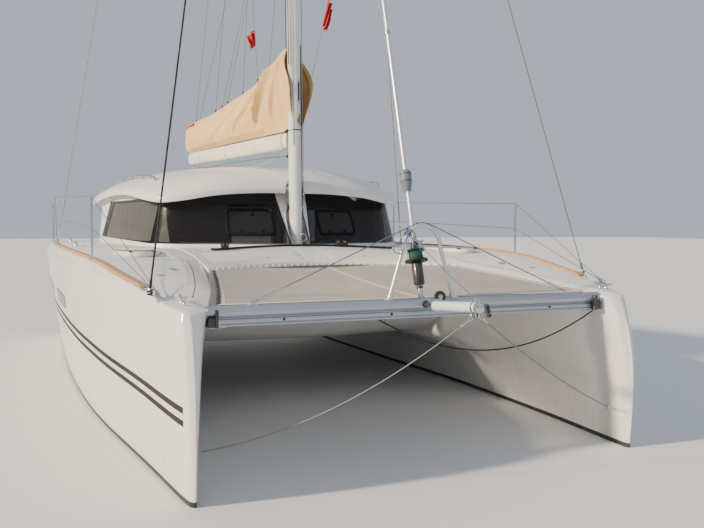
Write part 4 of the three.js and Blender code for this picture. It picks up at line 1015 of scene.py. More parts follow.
def side_profile(profile, x0, x1):
    """An outline of (y, z) points carried across from x0 to x1."""
    profile = np.asarray(profile, float)
    return np.stack([at(x, profile[:, 0], profile[:, 1]) for x in (x0, x1)])


def hull_cutters(mirror):
    """The stairs, the swept shoulder, the side passage, the engine's well and rebate, the hatch's seat and
    well, and the rudder's bore."""
    above, behind, within = 2.2, 5.2, 1.38
    bulwark = float(hull_numbers(4.8)["sheer_x"][0]) - 0.12

    def tool(name, grid):
        return Shape(name, mirror).skin(grid, "topside")

    stairs = [(STERN_STEPS[0][0], above)]
    for i, (y, z) in enumerate(STERN_STEPS):
        stairs += [(y, z), (STERN_STEPS[i + 1][0] if i < 2 else behind, z)]
    stairs.append((behind, above))
    radii = [0.01] + [0.03, 0.02] * 3 + [0.01]
    shoulder = [(3.65, above), (3.65, 1.815), (4.05, 1.7), (4.5, 1.12), (5.1, 0.62), (5.1, above)]
    well, level = ENGINE_WELL, deck_level(ENGINE_WELL["y"][0])
    top = deck_level(DECK_HATCH["y"])
    return [
        tool("stairs", side_profile(rounded(stairs, radii), within, bulwark)),
        tool("shoulder", side_profile(rounded(shoulder, [0.01, 0.2, 0.2, 0.2, 0.01, 0.01], 8), within, 3.2)),
        tool("passage", block((within, 3.6, STERN_STEPS[0][1]), (2.25, 4.0, above), 0.03)),
        tool("engine_well", prism(rounded_box(well["x"], well["y"], 0.05), well["floor"], above)),
        tool("lid_rebate", prism(rounded_box(well["x"], well["y"], 0.08, well["rebate"]),
                                 level - well["lid"] - 0.01, above)),
        tool("hatch_seat", prism(hatch_oval(0), top - 0.045, above)),
        tool("hatch_well", prism(hatch_oval(-0.035), top - DECK_HATCH["well"], above)),
        tool("rudder_bore", turned([(0, 0), (0.032, 0), (0.032, 0.42), (0, 0.42)],
                                   (UNDER_X, RUDDER_Y, -0.6), UP)),
    ]


class CATAMARAN_OT_hulls(bpy.types.Operator):
    """Makes both hulls with their stern steps and wells"""

    bl_idname = "catamaran.hulls"
    bl_label = "Hulls"

    def execute(self, context):
        for side, sign in SIDES:
            skin = hull_skin(Shape(f"hull_skin_{side}", sign < 0))
            obj = skin.make("boat", "gelcoat", f"hull_{side}", cut=hull_cutters(sign < 0))
            deck_faces(obj)
        return {"FINISHED"}


def engine_lid_top(x, y):
    """The deck's own height over a grid: its crown between the gunwale and the inner edge."""
    h = hull_numbers(np.ravel(y))
    edge, crown = edge_of(h), deck_crown(h)
    s = np.clip((edge - np.ravel(x)) / (edge - h["deck_x"]), 0, 1)
    z = h["sheer_z"] * (1 - s) * (1 - 2 * s) + crown * 4 * s * (1 - s) + h["deck_z"] * s * (2 * s - 1)
    return z.reshape(np.shape(x))


def lid_slab(outline, top, thickness, edge=0.008, steps=4):
    """A lid over an outline: rings drawn in to the centre on a top surface, round at the rim, flat below."""
    middle = outline.mean(0)
    shares = np.linspace(0.0, 1, 9)
    rings = [at(*lerp(middle, outline, s).T, 0.0) for s in shares[:-1]]
    ahead = unit(np.roll(outline, -1, 0) - np.roll(outline, 1, 0))
    inward = np.stack([-ahead[:, 1], ahead[:, 0]], -1)
    inward *= np.sign(np.sum(inward * (middle - outline)))
    turn = np.linspace(0, np.pi / 2, steps)
    grid, drop = rings, [0.0] * len(rings)
    for a in turn:
        grid.append(at(*(outline + inward * edge * (1 - math.sin(a))).T, 0.0))
        drop.append(edge * (1 - math.cos(a)))
    for a in turn:
        grid.append(at(*(outline + inward * edge * (1 - math.cos(a))).T, 0.0))
        drop.append(thickness - edge * (1 - math.sin(a)))
    grid.append(at(*(0 * outline + middle).T, 0.0))
    drop.append(thickness)
    grid = np.array(grid)
    grid[..., 2] = top(grid[..., 0], grid[..., 1]) - np.array(drop)[:, None]
    return grid


class CATAMARAN_OT_hull_lids(bpy.types.Operator):
    """Makes the engine lids and the oval deck hatches with their frames, lenses and handles"""

    bl_idname = "catamaran.hull_lids"
    bl_label = "Engine lids and deck hatches"

    def execute(self, context):
        well = ENGINE_WELL
        for side, sign in SIDES:
            mirror = sign < 0
            lid = Shape(f"engine_lid_skin_{side}", mirror)
            outline = spaced(rounded_box(well["x"], well["y"], 0.075, well["rebate"] - 0.006), 96, True)
            lid.skin(lid_slab(outline, engine_lid_top, well["lid"]), "gelcoat")
            pad = spaced(rounded_box(well["x"], well["y"], 0.05, -0.02), 96, True)
            lid.skin(lid_slab(pad, lambda x, y: engine_lid_top(x, y) + 0.0025, 0.01, 0.003), "gelcoat")
            x, y = lerp(*well["x"], 0.5), well["y"][1] - 0.03
            z = float(engine_lid_top(np.array([x]), np.array([y]))[0])
            lid.turned([(0, 0.0), (0.032, 0.0), (0.032, 0.004), (0.026, 0.0065), (0.016, 0.004), (0, 0.004)],
                       (x, y, z - 0.001), UP, "stainless")
            lid.make(f"engine_lid_{side}_body", "gelcoat", f"engine_lid_{side}")
            self.deck_hatch(side, mirror)
        return {"FINISHED"}

    def deck_hatch(self, side, mirror):
        """An oval frame of a rounded section with a dark lens that swells a little above it."""
        top = deck_level(DECK_HATCH["y"])
        hatch = Shape(f"deck_hatch_skin_{side}", mirror)
        rim = hatch_oval(-0.034)
        section = rounded([(-0.026, -0.038), (0.026, -0.038), (0.028, 0.012), (0.006, 0.022),
                           (-0.022, 0.018)],
                          0.009, 4)
        path = at(rim[:, 0], rim[:, 1], top)
        grid = carried(section, path, closed=True, up=UP)
        hatch.loop(grid, "gelcoat")
        lens = spaced(hatch_oval(-0.054), 72, True)
        hatch.skin(lid_slab(lens, lambda x, y: top + 0.024 + 0 * x, 0.05, 0.004), "black_acrylic")
        for x in (-0.13, 0.13):
            low = np.array([DECK_HATCH["x"] + x - 0.016, DECK_HATCH["y"] - 0.515, top + 0.017])
            hatch.block(low, low + (0.032, 0.05, 0.014), "black_plastic", 0.005)
        hatch.make(f"deck_hatch_{side}_body", "smoked_glass", f"deck_hatch_{side}")


# Bridgedeck

# Half width of what stands between the hulls, a hair short of them
BETWEEN_HULLS = DECK_HALF_WIDTH - 0.0003
LOCKER = {"x": (0.19, 1.06), "y": (-1.93, -1.6), "floor": 1.25, "rebate": 0.025}


def foredeck_front(x):
    return -2.0 - 0.7 * (x / DECK_HALF_WIDTH) ** 2


def foredeck_back(x):
    return -1.29 + 0.6 * (x / DECK_HALF_WIDTH) ** 2


def foredeck_z(x, y):
    """The foredeck's height: it rises aft in a curve that flattens, and falls a little outboard."""
    out = (x / DECK_HALF_WIDTH) ** 2
    back = np.clip((y - foredeck_front(x)) / (foredeck_back(x) - foredeck_front(x)), 0, 1)
    return lerp(1.69 - 0.01 * out, 1.868 - 0.025 * out, 1 - (1 - back) ** 2.2)


def nose_skin():
    """Sections across the boat: over the foredeck, down its rounded front, and back below it in a cubic."""
    x = np.linspace(-1, 1, 121) * BETWEEN_HULLS
    front, back = foredeck_front(x), foredeck_back(x)
    length = (back - front)[:, None]
    over = lerp(1.0, 0.04 / length, np.linspace(0, 1, 26)[None])
    y = front[:, None] + over * length
    top = pair(y, foredeck_z(x[:, None] + 0 * y, y))
    below = lerp(0.06 / length, 1.0, np.linspace(0, 1, 26)[None])
    under = pair(front[:, None] + below * length, DECK_UNDERSIDE_Z + 0.64 * (1 - below) ** 3)
    brow = pair(front, foredeck_z(x, front))
    chin = pair(front, DECK_UNDERSIDE_Z + 0.64 + 0 * x)
    section = np.concatenate([top, bend(top[:, -1], brow, toward(brow, chin, 0.045), 7),
                              bend(toward(chin, brow, 0.06), chin, under[:, 0], 7), under[:, 1:]], 1)
    return at(x[:, None], section[..., 0], section[..., 1])


def sole_skin():
    """The floor under cabin and cockpit, from below the foredeck's curved back to the aft beam."""
    x = np.linspace(-1, 1, 41) * BETWEEN_HULLS
    front = foredeck_back(x)
    corner = [(0, SOLE_Z), (1, SOLE_Z), (1, DECK_UNDERSIDE_Z), (0, DECK_UNDERSIDE_Z)]
    ring = [at(x, front if aft == 0 else BRIDGEDECK_END_Y, z) for aft, z in corner]
    return np.stack(ring, 1)


def locker_pad(grow, lift):
    """A rounded panel on the foredeck over the port locker, grown by a margin and lifted."""
    outline = spaced(rounded_box(LOCKER["x"], LOCKER["y"], 0.05, grow), 84, True)
    return outline, lambda x, y: foredeck_z(x, y) + lift


class CATAMARAN_OT_bridgedeck(bpy.types.Operator):
    """Makes the foredeck, the floors, the aft beam, the mast post and the locker lids"""

    bl_idname = "catamaran.bridgedeck"
    bl_label = "Bridgedeck"

    def execute(self, context):
        cutters = []
        for side, sign in SIDES:
            box = rounded_box(LOCKER["x"], LOCKER["y"], 0.04)
            cutters.append(Shape(f"locker_{side}", sign < 0).skin(prism(box, LOCKER["floor"], 2.2),
                                                                  "gelcoat"))
            outline, _ = locker_pad(LOCKER["rebate"], 0)
            rebate = Shape(f"locker_rebate_{side}", sign < 0)
            rebate.skin(lid_slab(outline, lambda x, y: foredeck_z(x, y) + 0.3, 0.338, 0.001), "gelcoat")
            cutters.append(rebate)
        nose = Shape("foredeck_skin").skin(nose_skin(), "foredeck")
        nose.make("boat", "gelcoat", "bridgedeck", cut=cutters)
        floor = Shape("bridgedeck_floor").skin(sole_skin(), "gelcoat")
        floor.block((-0.21, -1.33, SOLE_Z - 0.05), (0.21, -0.92, MAST_STEP[2] - 0.005), "gelcoat", 0.03)
        floor.block((-BETWEEN_HULLS, 4.18, SOLE_Z - 0.05), (BETWEEN_HULLS, BRIDGEDECK_END_Y, 1.48), "gelcoat",
                    0.04,
                    steps=5)
        floor.block((-1.44, -0.62, SOLE_Z - 0.004), (1.44, 1.74, SOLE_Z + 0.008), "cabin_floor", 0.006)
        for x0 in np.arange(-1.44, 1.4, 0.365):
            floor.block((x0, 1.84, SOLE_Z - 0.004), (x0 + 0.355, 4.16, SOLE_Z + 0.008), "teak_deck", 0.004)
        floor.make("boat", "gelcoat")
        for side, sign in SIDES:
            lid = Shape(f"locker_lid_skin_{side}", sign < 0)
            outline, top = locker_pad(0.019, 0)
            lid.skin(lid_slab(outline, top, 0.03, 0.007), "gelcoat")
            outline, top = locker_pad(-0.035, 0.0025)
            lid.skin(lid_slab(outline, top, 0.008, 0.003), "grip_pad")
            spot = (lerp(*LOCKER["x"], 0.5), LOCKER["y"][0] + 0.012)
            lid.turned([(0, 0), (0.022, 0), (0.022, 0.003), (0.015, 0.0045), (0, 0.003)],
                       (*spot, float(foredeck_z(*spot)) - 0.001), UP, "stainless")
            lid.make(f"locker_lid_{side}_body", "gelcoat", f"locker_lid_{side}")
        return {"FINISHED"}


@finish
def foredeck(name):
    """Gelcoat with non-slip between the front edge and the jib track, and behind the track."""
    paint = Paint(name, colours().gelcoat, 0.35)
    x, y, _ = paint.axes()
    ahead = y + 2.0 + x * x * 0.311
    track = y + 1.39 + x * x * 0.124
    panel = ahead.rise(0.2, 0.205) * (1 - track.rise(-0.075, -0.07)) * (1 - x.fold().rise(1.38, 1.385))
    panel = panel.most(track.rise(0.07, 0.075) * (1 - x.fold().rise(1.3, 1.305)))
    panel = panel * x.fold().rise(0.075, 0.08) * paint.facing(2).rise(0.8, 0.9)
    dirt = paint.noise(7, 5, 0.65).rise(0.5, 0.8)
    tone = paint.mix(panel, paint.color, NON_SLIP)
    paint.set("Base Color", paint.mix(dirt * (0.1 + panel * 0.16), tone, DIRT))
    paint.set("Roughness", 0.28 + panel * 0.4)
    return paint.bump(panel * (0.6 + paint.cells(420) * 0.5), 0.0016).done()


@finish
def grip_pad(name):
    paint = Paint(name, (0.72, 0.73, 0.72), 0.7)
    grit = paint.cells(420)
    dirt = paint.noise(8, 5, 0.65).rise(0.5, 0.8)
    paint.shade(dirt * 0.25, DIRT)
    return paint.bump(grit, 0.0009).done()


@finish
def teak_deck(name):
    """Planks with black caulking along the boat, grain drawn out along each plank."""
    paint = Paint(name, colours().teak, 0.62)
    x, _, _ = paint.axes()
    seam = x.every(0.045, 0.004)
    grain = paint.noise(30, 6, 0.65, paint.stretched(1.6, 0.06, 1))
    tone = paint.mix(grain.rise(0.3, 0.7), tuple(c * 0.62 for c in paint.color), paint.color)
    tone = paint.mix(paint.noise(2.5, 3).rise(0.4, 0.75) * 0.5, tone, (0.36, 0.33, 0.29))
    paint.set("Base Color", paint.mix(seam, tone, (0.02, 0.02, 0.02)))
    return paint.bump(grain * 0.5 - seam, 0.0012).done()


@finish
def cabin_floor(name):
    paint = Paint(name, (0.30, 0.19, 0.11), 0.35, coat_weight=0.3)
    x, _, _ = paint.axes()
    grain = paint.noise(22, 6, 0.6, paint.stretched(1.5, 0.06, 1))
    tone = paint.mix(grain.rise(0.3, 0.7), tuple(c * 0.6 for c in paint.color), paint.color)
    paint.set("Base Color", paint.mix(x.every(0.09, 0.002), tone, (0.03, 0.02, 0.015)))
    return paint.bump(grain, 0.0003).done()


# Cabin

# Port half of each outline from the centreline aft: x, y
CABIN_FOOT = MM * np.array([[0, -1400], [420, -1325], [1000, -1060], [1500, -745], [1790, -420], [1930, 60],
                            [2070, 760], [2200, 1752]])
CABIN_HEAD = MM * np.array([[0, -850], [420, -830], [900, -760], [1330, -640], [1600, -380], [1800, 80],
                            [1980, 760], [2120, 1752]])
FOOT_Z, HEAD_Z = 1.8, 2.6
WALL_LOW_Z, WALL_HIGH_Z = 1.7, 2.86
WALL = 0.04
# Visor edge of the port half from the centreline aft: x, y, z of its lower lip
VISOR = MM * np.array([[0, -1075, 2560], [520, -1050, 2556], [1020, -985, 2520], [1400, -880, 2455],
                       [1660, -700, 2425], [1830, -380, 2465], [1960, 60, 2530], [2080, 620, 2545],
                       [2190, 1280, 2505], [2260, 1900, 2440]])
# Ridge on the centreline: x, y, z
RIDGE = MM * np.array([[0, -620, 2870], [0, -520, 2885], [0, -380, 2905], [0, -220, 2925], [0, 0, 2945],
                       [0, 250, 2960], [0, 560, 2970], [0, 950, 2975], [0, 1400, 2965], [0, 1900, 2940]])
ROOF_THICKNESS = 0.055
LIP = 0.045
MAST_SLOT = 0.13
WINDOWS = {
    "front": {"t": (0.056, 0.55), "low": lambda t: 1.905 + 0 * t, "lean": (-0.011, 0.019, 0, 0),
              "high": lambda t: 2.575 - 0.085 * smooth(t, 0.3, 0.5)},
    "side": {"t": (0.56, 0.955), "low": lambda t: lerp(1.905, 1.96, (t - 0.56) / 0.39),
             "lean": (0, 0, 0.017, -0.03),
             "high": lambda t: 2.47 - 0.02 * smooth(t, 0.6, 0.9)},
}
# One pane covers both openings of a side
WRAP = {"t": (0.056, 0.955), "low": lambda t: lerp(1.905, 1.96, np.clip((t - 0.56) / 0.39, 0, 1)),
        "lean": (-0.011, 0.019, 0.017, -0.03),
        "high": lambda t: lerp(WINDOWS["front"]["high"](t), WINDOWS["side"]["high"](t), smooth(t, 0.5, 0.6))}
BLIND = {"t": (0.5, 0.95), "low": WRAP["low"], "high": WRAP["high"], "lean": (-0.03, 0.05, 0.015, -0.03)}
HATCH_WINDOW = {"t": (0.102, 0.268), "low": lambda t: 2.0 + 0 * t, "high": lambda t: 2.345 + 0 * t}


def wall_surface(t, z):
    """The cabin's outside: straight lines ruled from the outline at the deck to the one under the roof."""
    t, z = np.broadcast_arrays(np.asarray(t, float), np.asarray(z, float))
    along = np.clip((t + 1) / 2, 0, 1)
    foot, head = (through(np.concatenate([half[:0:-1] * (-1, 1), half]), along)
                  for half in (CABIN_FOOT, CABIN_HEAD))
    p = lerp(foot, head, ((z - FOOT_Z) / (HEAD_Z - FOOT_Z))[..., None])
    return at(p[..., 0], p[..., 1], z)


def wall_inward(t, z):
    along = wall_surface(np.minimum(t + 0.01, 1), z) - wall_surface(np.maximum(t - 0.01, -1), z)
    return unit(np.cross(wall_surface(t, z + 0.05) - wall_surface(t, z - 0.05), along))


def wall_point(t, z, depth):
    t, z = np.broadcast_arrays(np.asarray(t, float), np.asarray(z, float))
    return wall_surface(t, z) + wall_inward(t, z) * np.asarray(depth, float)[..., None]


def wall_frame(window):
    """Places t along the wall between a window's ends, and the distance walked to each."""
    t = np.linspace(*window["t"], 200)
    p = wall_surface(t, (window["low"](t) + window["high"](t)) / 2)
    return t, np.append(0, np.cumsum(np.linalg.norm(np.diff(p, axis=0), axis=1)))


def leaning(window, along, up):
    """How far t moves where a window's ends lean: its four corners' moves, mixed along and up."""
    foot, head, far_foot, far_head = window.get("lean", (0, 0, 0, 0))
    return lerp(lerp(foot, head, up), lerp(far_foot, far_head, up), along)


def inside_of(window, t, z):
    """How far inside a window points of the wall are: from its nearer end, and from its sill or head."""
    table, walked = wall_frame({**window, "t": (0.0, 1.0)})
    low, high = window["low"](t), window["high"](t)
    up = np.clip((z - low) / (high - low), 0, 1)
    ends = [end + leaning(window, side, up) for side, end in enumerate(window["t"])]
    here, first, last = (np.interp(x, table, walked) for x in (t, *ends))
    return np.minimum(here - first, last - here), np.minimum(z - low, high - z)


def panel(window, outer, inner, radius, inset=0.0, columns=48, rows=10, openings=()):
    """A panel bent to the wall, with rounded corners: columns along the wall, each a ring that goes up the
    outer face and down the inner one. The UV holds the distance to the nearest side and to the rim, of the
    panel or of the openings that it covers."""
    t, walked = wall_frame(window)
    length = walked[-1] - 2 * inset
    turn = np.linspace(0, np.pi / 2, 7)
    start = radius * (1 - np.cos(turn))
    s = np.concatenate([start, np.linspace(radius, length - radius, columns)[1:-1], length - start[::-1]])
    pull = np.concatenate([radius * (1 - np.sin(turn)), np.zeros(columns - 2),
                           radius * (1 - np.sin(turn[::-1]))])
    tt = np.interp(s + inset, walked, t)
    low, high = window["low"](tt) + inset + pull, window["high"](tt) - inset - pull
    up = np.linspace(0, 1, rows)
    z = lerp(low[:, None], high[:, None], up)
    tt = tt[:, None] + leaning(window, (s / length)[:, None], up)
    faces = [wall_point(tt, z, d) for d in (outer, inner)]
    edge = np.broadcast_to(np.minimum(s, length - s)[:, None], z.shape)
    rim = np.minimum(z - low[:, None], high[:, None] - z)
    if openings:
        inside = [inside_of(opening, tt, z) for opening in openings]
        edge, rim = (np.maximum.reduce([pair[k] for pair in inside]) for k in range(2))
    uv = np.stack([edge, rim], -1)
    return (np.concatenate([faces[0], faces[1][:, ::-1]], 1), np.concatenate([uv, uv[:, ::-1]], 1))


def window_outline(window, radius, inset, depth, count=160):
    """The path round a window at a depth in the wall, and the wall's outward direction along it."""
    t, walked = wall_frame(window)
    length = walked[-1]
    flat = [(inset, 0), (length - inset, 0), (length - inset, 1), (inset, 1)]
    low, high = window["low"](t), window["high"](t)
    tall = float((high - low).mean())
    box = rounded([(x, inset + y * (tall - 2 * inset)) for x, y in flat], radius, 8)
    box = spaced(box, count, True)
    tt = np.interp(box[:, 0], walked, t)
    share = box[:, 1] / tall
    z = lerp(window["low"](tt), window["high"](tt), share)
    return wall_point(tt, z, depth), -wall_inward(tt, z)


def roof_point(k, across, drop):
    """The roof from its visor edge at across 0 to its ridge at 1: k runs from -1 aft on starboard round the
    front to 1 aft on port, and the height climbs from the lip by a power of the distance in."""
    k, across = np.broadcast_arrays(np.asarray(k, float), np.asarray(across, float))
    edge, ridge = through(VISOR, np.abs(k)), through(RIDGE, np.abs(k))
    rise = (1 - (1 - across) ** 2.6) ** lerp(0.85, 0.6, np.abs(k))
    x = lerp(edge[..., 0], 0, across) * np.where(k >= 0, 1, -1)
    y = lerp(edge[..., 1], ridge[..., 1], across)
    return at(x, y, lerp(edge[..., 2] + LIP, ridge[..., 2], rise) - drop)


def roof_grid(rise, drop, lip=0.0):
    """Rows sweep round the boat. Each goes from the ridge over the top to the lip and back below it. With a
    lip radius, an upright face falls from the top's end and turns in below along a small arc."""
    k = np.linspace(-1, 1, 181)[:, None]
    across = (np.linspace(1, 0.0, 30) ** 1.6)[None]
    top = roof_point(k, across, -rise)
    low = roof_point(k, lerp(0.02, 1, across) if lip else across, drop)[:, ::-1]
    middle = np.zeros((len(k), 0, 3))
    if lip:
        foot, inner = roof_point(k, 0, drop), roof_point(k, 0.3, drop)
        inward = unit((inner - foot) * (1, 1, 0))
        a = np.linspace(0, np.pi / 2, 5)[None, :, None]
        middle = foot + inward * lip * (1 - np.cos(a)) + np.array([0, 0, lip]) * (1 - np.sin(a))
    grid = np.concatenate([top, middle, low], 1)
    ends = [(row + row[::-1]) / 2 for row in (grid[0], grid[-1])]
    return np.concatenate([ends[0][None], grid, ends[1][None]])


def mast_slot(radius, low, high):
    """A slot open to the front, round behind, that leans with the mast."""
    a = np.linspace(0, np.pi, 25)
    y0 = -1.7 - MAST_STEP[1]
    outline = np.vstack([[(radius, y0)], np.stack([radius * np.cos(a), radius * np.sin(a)], -1),
                         [(-radius, y0)]])
    return placed(prism(outline, low - MAST_STEP[2], high - MAST_STEP[2]), RIG)


def pose(origin=(0, 0, 0), angle=0.0, axis="X"):
    return Matrix.Translation(origin) @ Matrix.Rotation(angle, 4, axis)


RIG = pose(MAST_STEP, -MAST_RAKE)
BOOM = RIG @ pose(GOOSENECK, BOOM_SWING, "Z")
BOOM_UP = BOOM @ pose(angle=BOOM_RISE)


class CATAMARAN_OT_cabin(bpy.types.Operator):
    """Makes the cabin walls with their window openings and the recess for the mast, and the roof"""

    bl_idname = "catamaran.cabin"
    bl_label = "Cabin"

    def execute(self, context):
        ceiling = Shape("ceiling").skin(roof_grid(0.9, 0.03), "gelcoat", ring=False)
        slot = Shape("slot").skin(mast_slot(MAST_SLOT, 1.5, 3.2), "gelcoat")
        t = np.linspace(-1, 1, 201)[:, None]
        z = np.linspace(WALL_LOW_Z, WALL_HIGH_Z, 9)[None]
        faces = [wall_point(t + 0 * z, z + 0 * t, d) for d in (0.0, WALL)]
        walls = Shape("cabin_skin").skin(np.concatenate([faces[0], faces[1][:, ::-1]], 1), "gelcoat")
        cutters = [ceiling, slot]
        for side, sign in SIDES:
            for name, window in WINDOWS.items():
                grid, uv = panel(window, -0.06, WALL + 0.06, 0.035)
                cutters.append(Shape(f"{name}_opening_{side}", sign < 0).skin(grid, "gelcoat", uv=uv))
        walls.make("boat", "gelcoat", "cabin_walls", cut=cutters)
        ring = wall_surface(np.linspace(-1, 1, 121)[None], np.array([[WALL_LOW_Z], [WALL_HIGH_Z]]))
        inside = Shape("inside").skin(ring, "gelcoat")
        liner = Shape("mast_recess").skin(mast_slot(MAST_SLOT + 0.025, WALL_LOW_Z, WALL_HIGH_Z), "gelcoat")
        liner.make("boat", "gelcoat", cut=[ceiling, slot], keep=[inside])
        roof = Shape("roof_skin").skin(roof_grid(0, ROOF_THICKNESS, 0.009), "roof_gelcoat", ring=False)
        roof.make("boat", "gelcoat", "cabin_roof", cut=[slot])
        return {"FINISHED"}


@finish
def roof_gelcoat(name):
    """Gelcoat, with non-slip on the middle of the roof."""
    paint = Paint(name, colours().gelcoat, 0.26, coat_weight=0.35, coat_roughness=0.12)
    x, y, _ = paint.axes()
    side = x.fold() - 0.9 - y * 0.18
    panel = (1 - side.rise(0.0, 0.004)) * y.rise(-0.05, -0.046) * (1 - y.rise(1.72, 1.724))
    panel = panel * x.fold().rise(0.06, 0.064) * paint.facing(2).rise(0.8, 0.9)
    cloud = paint.noise(1.7, 3)
    grime = paint.noise(6, 5, 0.65).rise(0.5, 0.8)
    tone = paint.mix(cloud.rise(0.3, 0.7), paint.color, tuple(0.96 * c for c in paint.color))
    tone = paint.mix(panel * 0.6, tone, (0.72, 0.73, 0.72))
    paint.set("Base Color", paint.mix(grime * 0.16, tone, (0.5, 0.48, 0.43)))
    paint.set("Roughness", 0.24 + panel * 0.4 + grime * 0.1)
    return paint.bump(panel * (0.5 + paint.cells(420) * 0.5), 0.0015).done()


class CATAMARAN_OT_windows(bpy.types.Operator):
    """Makes the tinted windows, their opening hatches in black frames, and the blinds behind the sides"""

    bl_idname = "catamaran.windows"
    bl_label = "Windows"

    def execute(self, context):
        for side, sign in SIDES:
            mirror = sign < 0
            hole, uv = panel(HATCH_WINDOW, -0.09, 0.12, 0.05)
            hole = Shape("hole", mirror).skin(hole, "smoked_glass", uv=uv)
            grid, uv = panel(WRAP, -0.007, -0.001, 0.03, -0.014, 170, 15, tuple(WINDOWS.values()))
            glass = Shape(f"window_{side}", mirror).skin(grid, "smoked_glass", uv=uv)
            glass.make("boat", "smoked_glass", (f"front_glass_{side}", f"side_glass_{side}"), cut=[hole])
            blind, uv = panel(BLIND, 0.046, 0.05, 0.02, 0.0, 90)
            Shape(f"blind_{side}", mirror).skin(blind, "blind", uv=uv).make("boat", "canvas")
            self.hatch(side, mirror)
        return {"FINISHED"}

    def hatch(self, side, mirror):
        """A rounded frame of flat bar, its pane, one knob above and two below."""
        hatch = Shape(f"window_hatch_skin_{side}", mirror)
        path, out = window_outline(HATCH_WINDOW, 0.05, 0.02, 0.0)
        bar = rounded([(-0.019, -0.014), (0.019, -0.014), (0.017, 0.016), (-0.017, 0.019)], 0.009, 5)
        grid = carried(bar, path, closed=True, up=out)
        hatch.loop(grid, "dull_black")
        pane, uv = panel(HATCH_WINDOW, -0.008, 0.002, 0.04, 0.03, 24, 6)
        hatch.skin(pane, "hatch_glass", uv=uv)
        t0, t1 = HATCH_WINDOW["t"]
        for share, z, size in ((0.48, 2.27, 0.026), (0.3, 2.05, 0.022), (0.7, 2.05, 0.022)):
            t = lerp(t0, t1, share)
            spot = wall_point(np.array(t), np.array(z), np.array(-0.01))
            out = -wall_inward(np.array(t), np.array(z))
            hatch.turned([(0, 0), (size, 0), (size, 0.004), (size * 0.7, 0.009), (0, 0.01)], spot, out,
                         "dull_black", 16)
        hatch.make(f"window_hatch_{side}_body", "smoked_glass", f"window_hatch_{side}")


@finish
def dull_black(name):
    paint = Paint(name, (0.008, 0.008, 0.009), 0.75, specular_ior_level=0.15)
    return paint.bump(paint.noise(260, 3), 0.0002).done()


@finish
def hatch_glass(name):
    paint = Paint(name, colours().glass, 0.09, specular_ior_level=0.3)
    paint.set("Alpha", sizes().glass_density * 1.9)
    return paint.set("Roughness", 0.06 + paint.noise(9, 4).rise(0.4, 0.8) * 0.08).done()


@finish
def blind(name):
    """Grey sun screen: pleats along the window and a fine weave."""
    paint = Paint(name, (0.74, 0.75, 0.72), 0.9)
    u, v = paint.uv()
    fold = paint.noise(3, 2, 0.5, paint.stretched(3, 3, 0.3))
    paint.shade(fold.rise(0.35, 0.7), (0.64, 0.65, 0.62))
    return paint.bump(u.wave(0.002) * 0.3 + v.wave(0.002) * 0.3 + fold * 4, 0.0006).done()


# Forward beam, hoop, sprit and their stays

HOOP = {"y": BEAM_Y + 0.025, "foot": 0.322, "radius": 0.18, "spring": 1.972, "tube": 0.019}
BEAM_TOP = BEAM_Z + BEAM_RADIUS
STRIKER = {"foot": 1.57, "over": 0.206, "rise": math.radians(22.4)}
BOBSTAY = {"tip": (0.024, -5.515, 1.446), "end": (2.12, -4.64, 0.33),
           "sag": {"port": 0.06, "starboard": 0.195}}
STAY = unit(STAY_HEAD - STAY_FOOT)
STAY_LENGTH = float(np.linalg.norm(STAY_HEAD - STAY_FOOT))


def between(a, b, share):
    """Points on the line from a to b at shares of it."""
    return lerp(np.asarray(a, float), np.asarray(b, float), np.asarray(share, float)[..., None])


def turnbuckle(shape, foot, head, length, radius, start=0.03):
    """A closed-body rigging screw from near the foot toward the head: fork, barrel, flats and swage."""
    foot, along = np.asarray(foot, float), unit(np.asarray(head, float) - foot)
    barrel = (start + length * 0.22, length * 0.46)
    shape.pin((radius * 0.52, length, 0.001, start), foot, along, "stainless", 14)
    shape.pin((radius, barrel[1], 0.006, barrel[0]), foot, along, "stainless", 18)
    for s in (barrel[0] - 0.012, barrel[0] + barrel[1] + 0.004):
        shape.pin((radius * 0.8, 0.008, 0.001, s), foot, along, "stainless", 6)
    shape.pin((radius * 0.7, length * 0.24, 0.003, length * 0.8 + start), foot, along, "stainless", 14)
    u, v, w = basis(along)
    fork = frame_at(foot, u, v, w)
    for x in (-0.011, 0.007):
        shape.block((x, -0.011, -0.014), (x + 0.004, 0.011, start + 0.024), "stainless", 0.0018, fork)
    pin = foot - u * 0.016
    shape.pin((0.006, 0.032, 0.001), pin, u, "stainless", 12)


def shackle(shape, at_point, toward_point, size=0.03, wire=0.005):
    """A bow shackle: a bent bar and the pin across its open end."""
    u, v, w = basis(unit(np.asarray(toward_point, float) - np.asarray(at_point, float)))
    a = np.linspace(-0.35 * np.pi, 1.35 * np.pi, 22)
    path = np.asarray(at_point) + np.outer(np.cos(a) * size * 0.5, u) + np.outer(np.sin(a) * size * 0.6, w)
    shape.tube(path, wire, "stainless", 8, up=v)
    pin = path[0] - u * 0.008
    shape.pin((wire * 1.1, float(np.linalg.norm(path[-1] - path[0])) + 0.02, 0.001), pin,
              unit(path[-1] - path[0]), "stainless", 10)


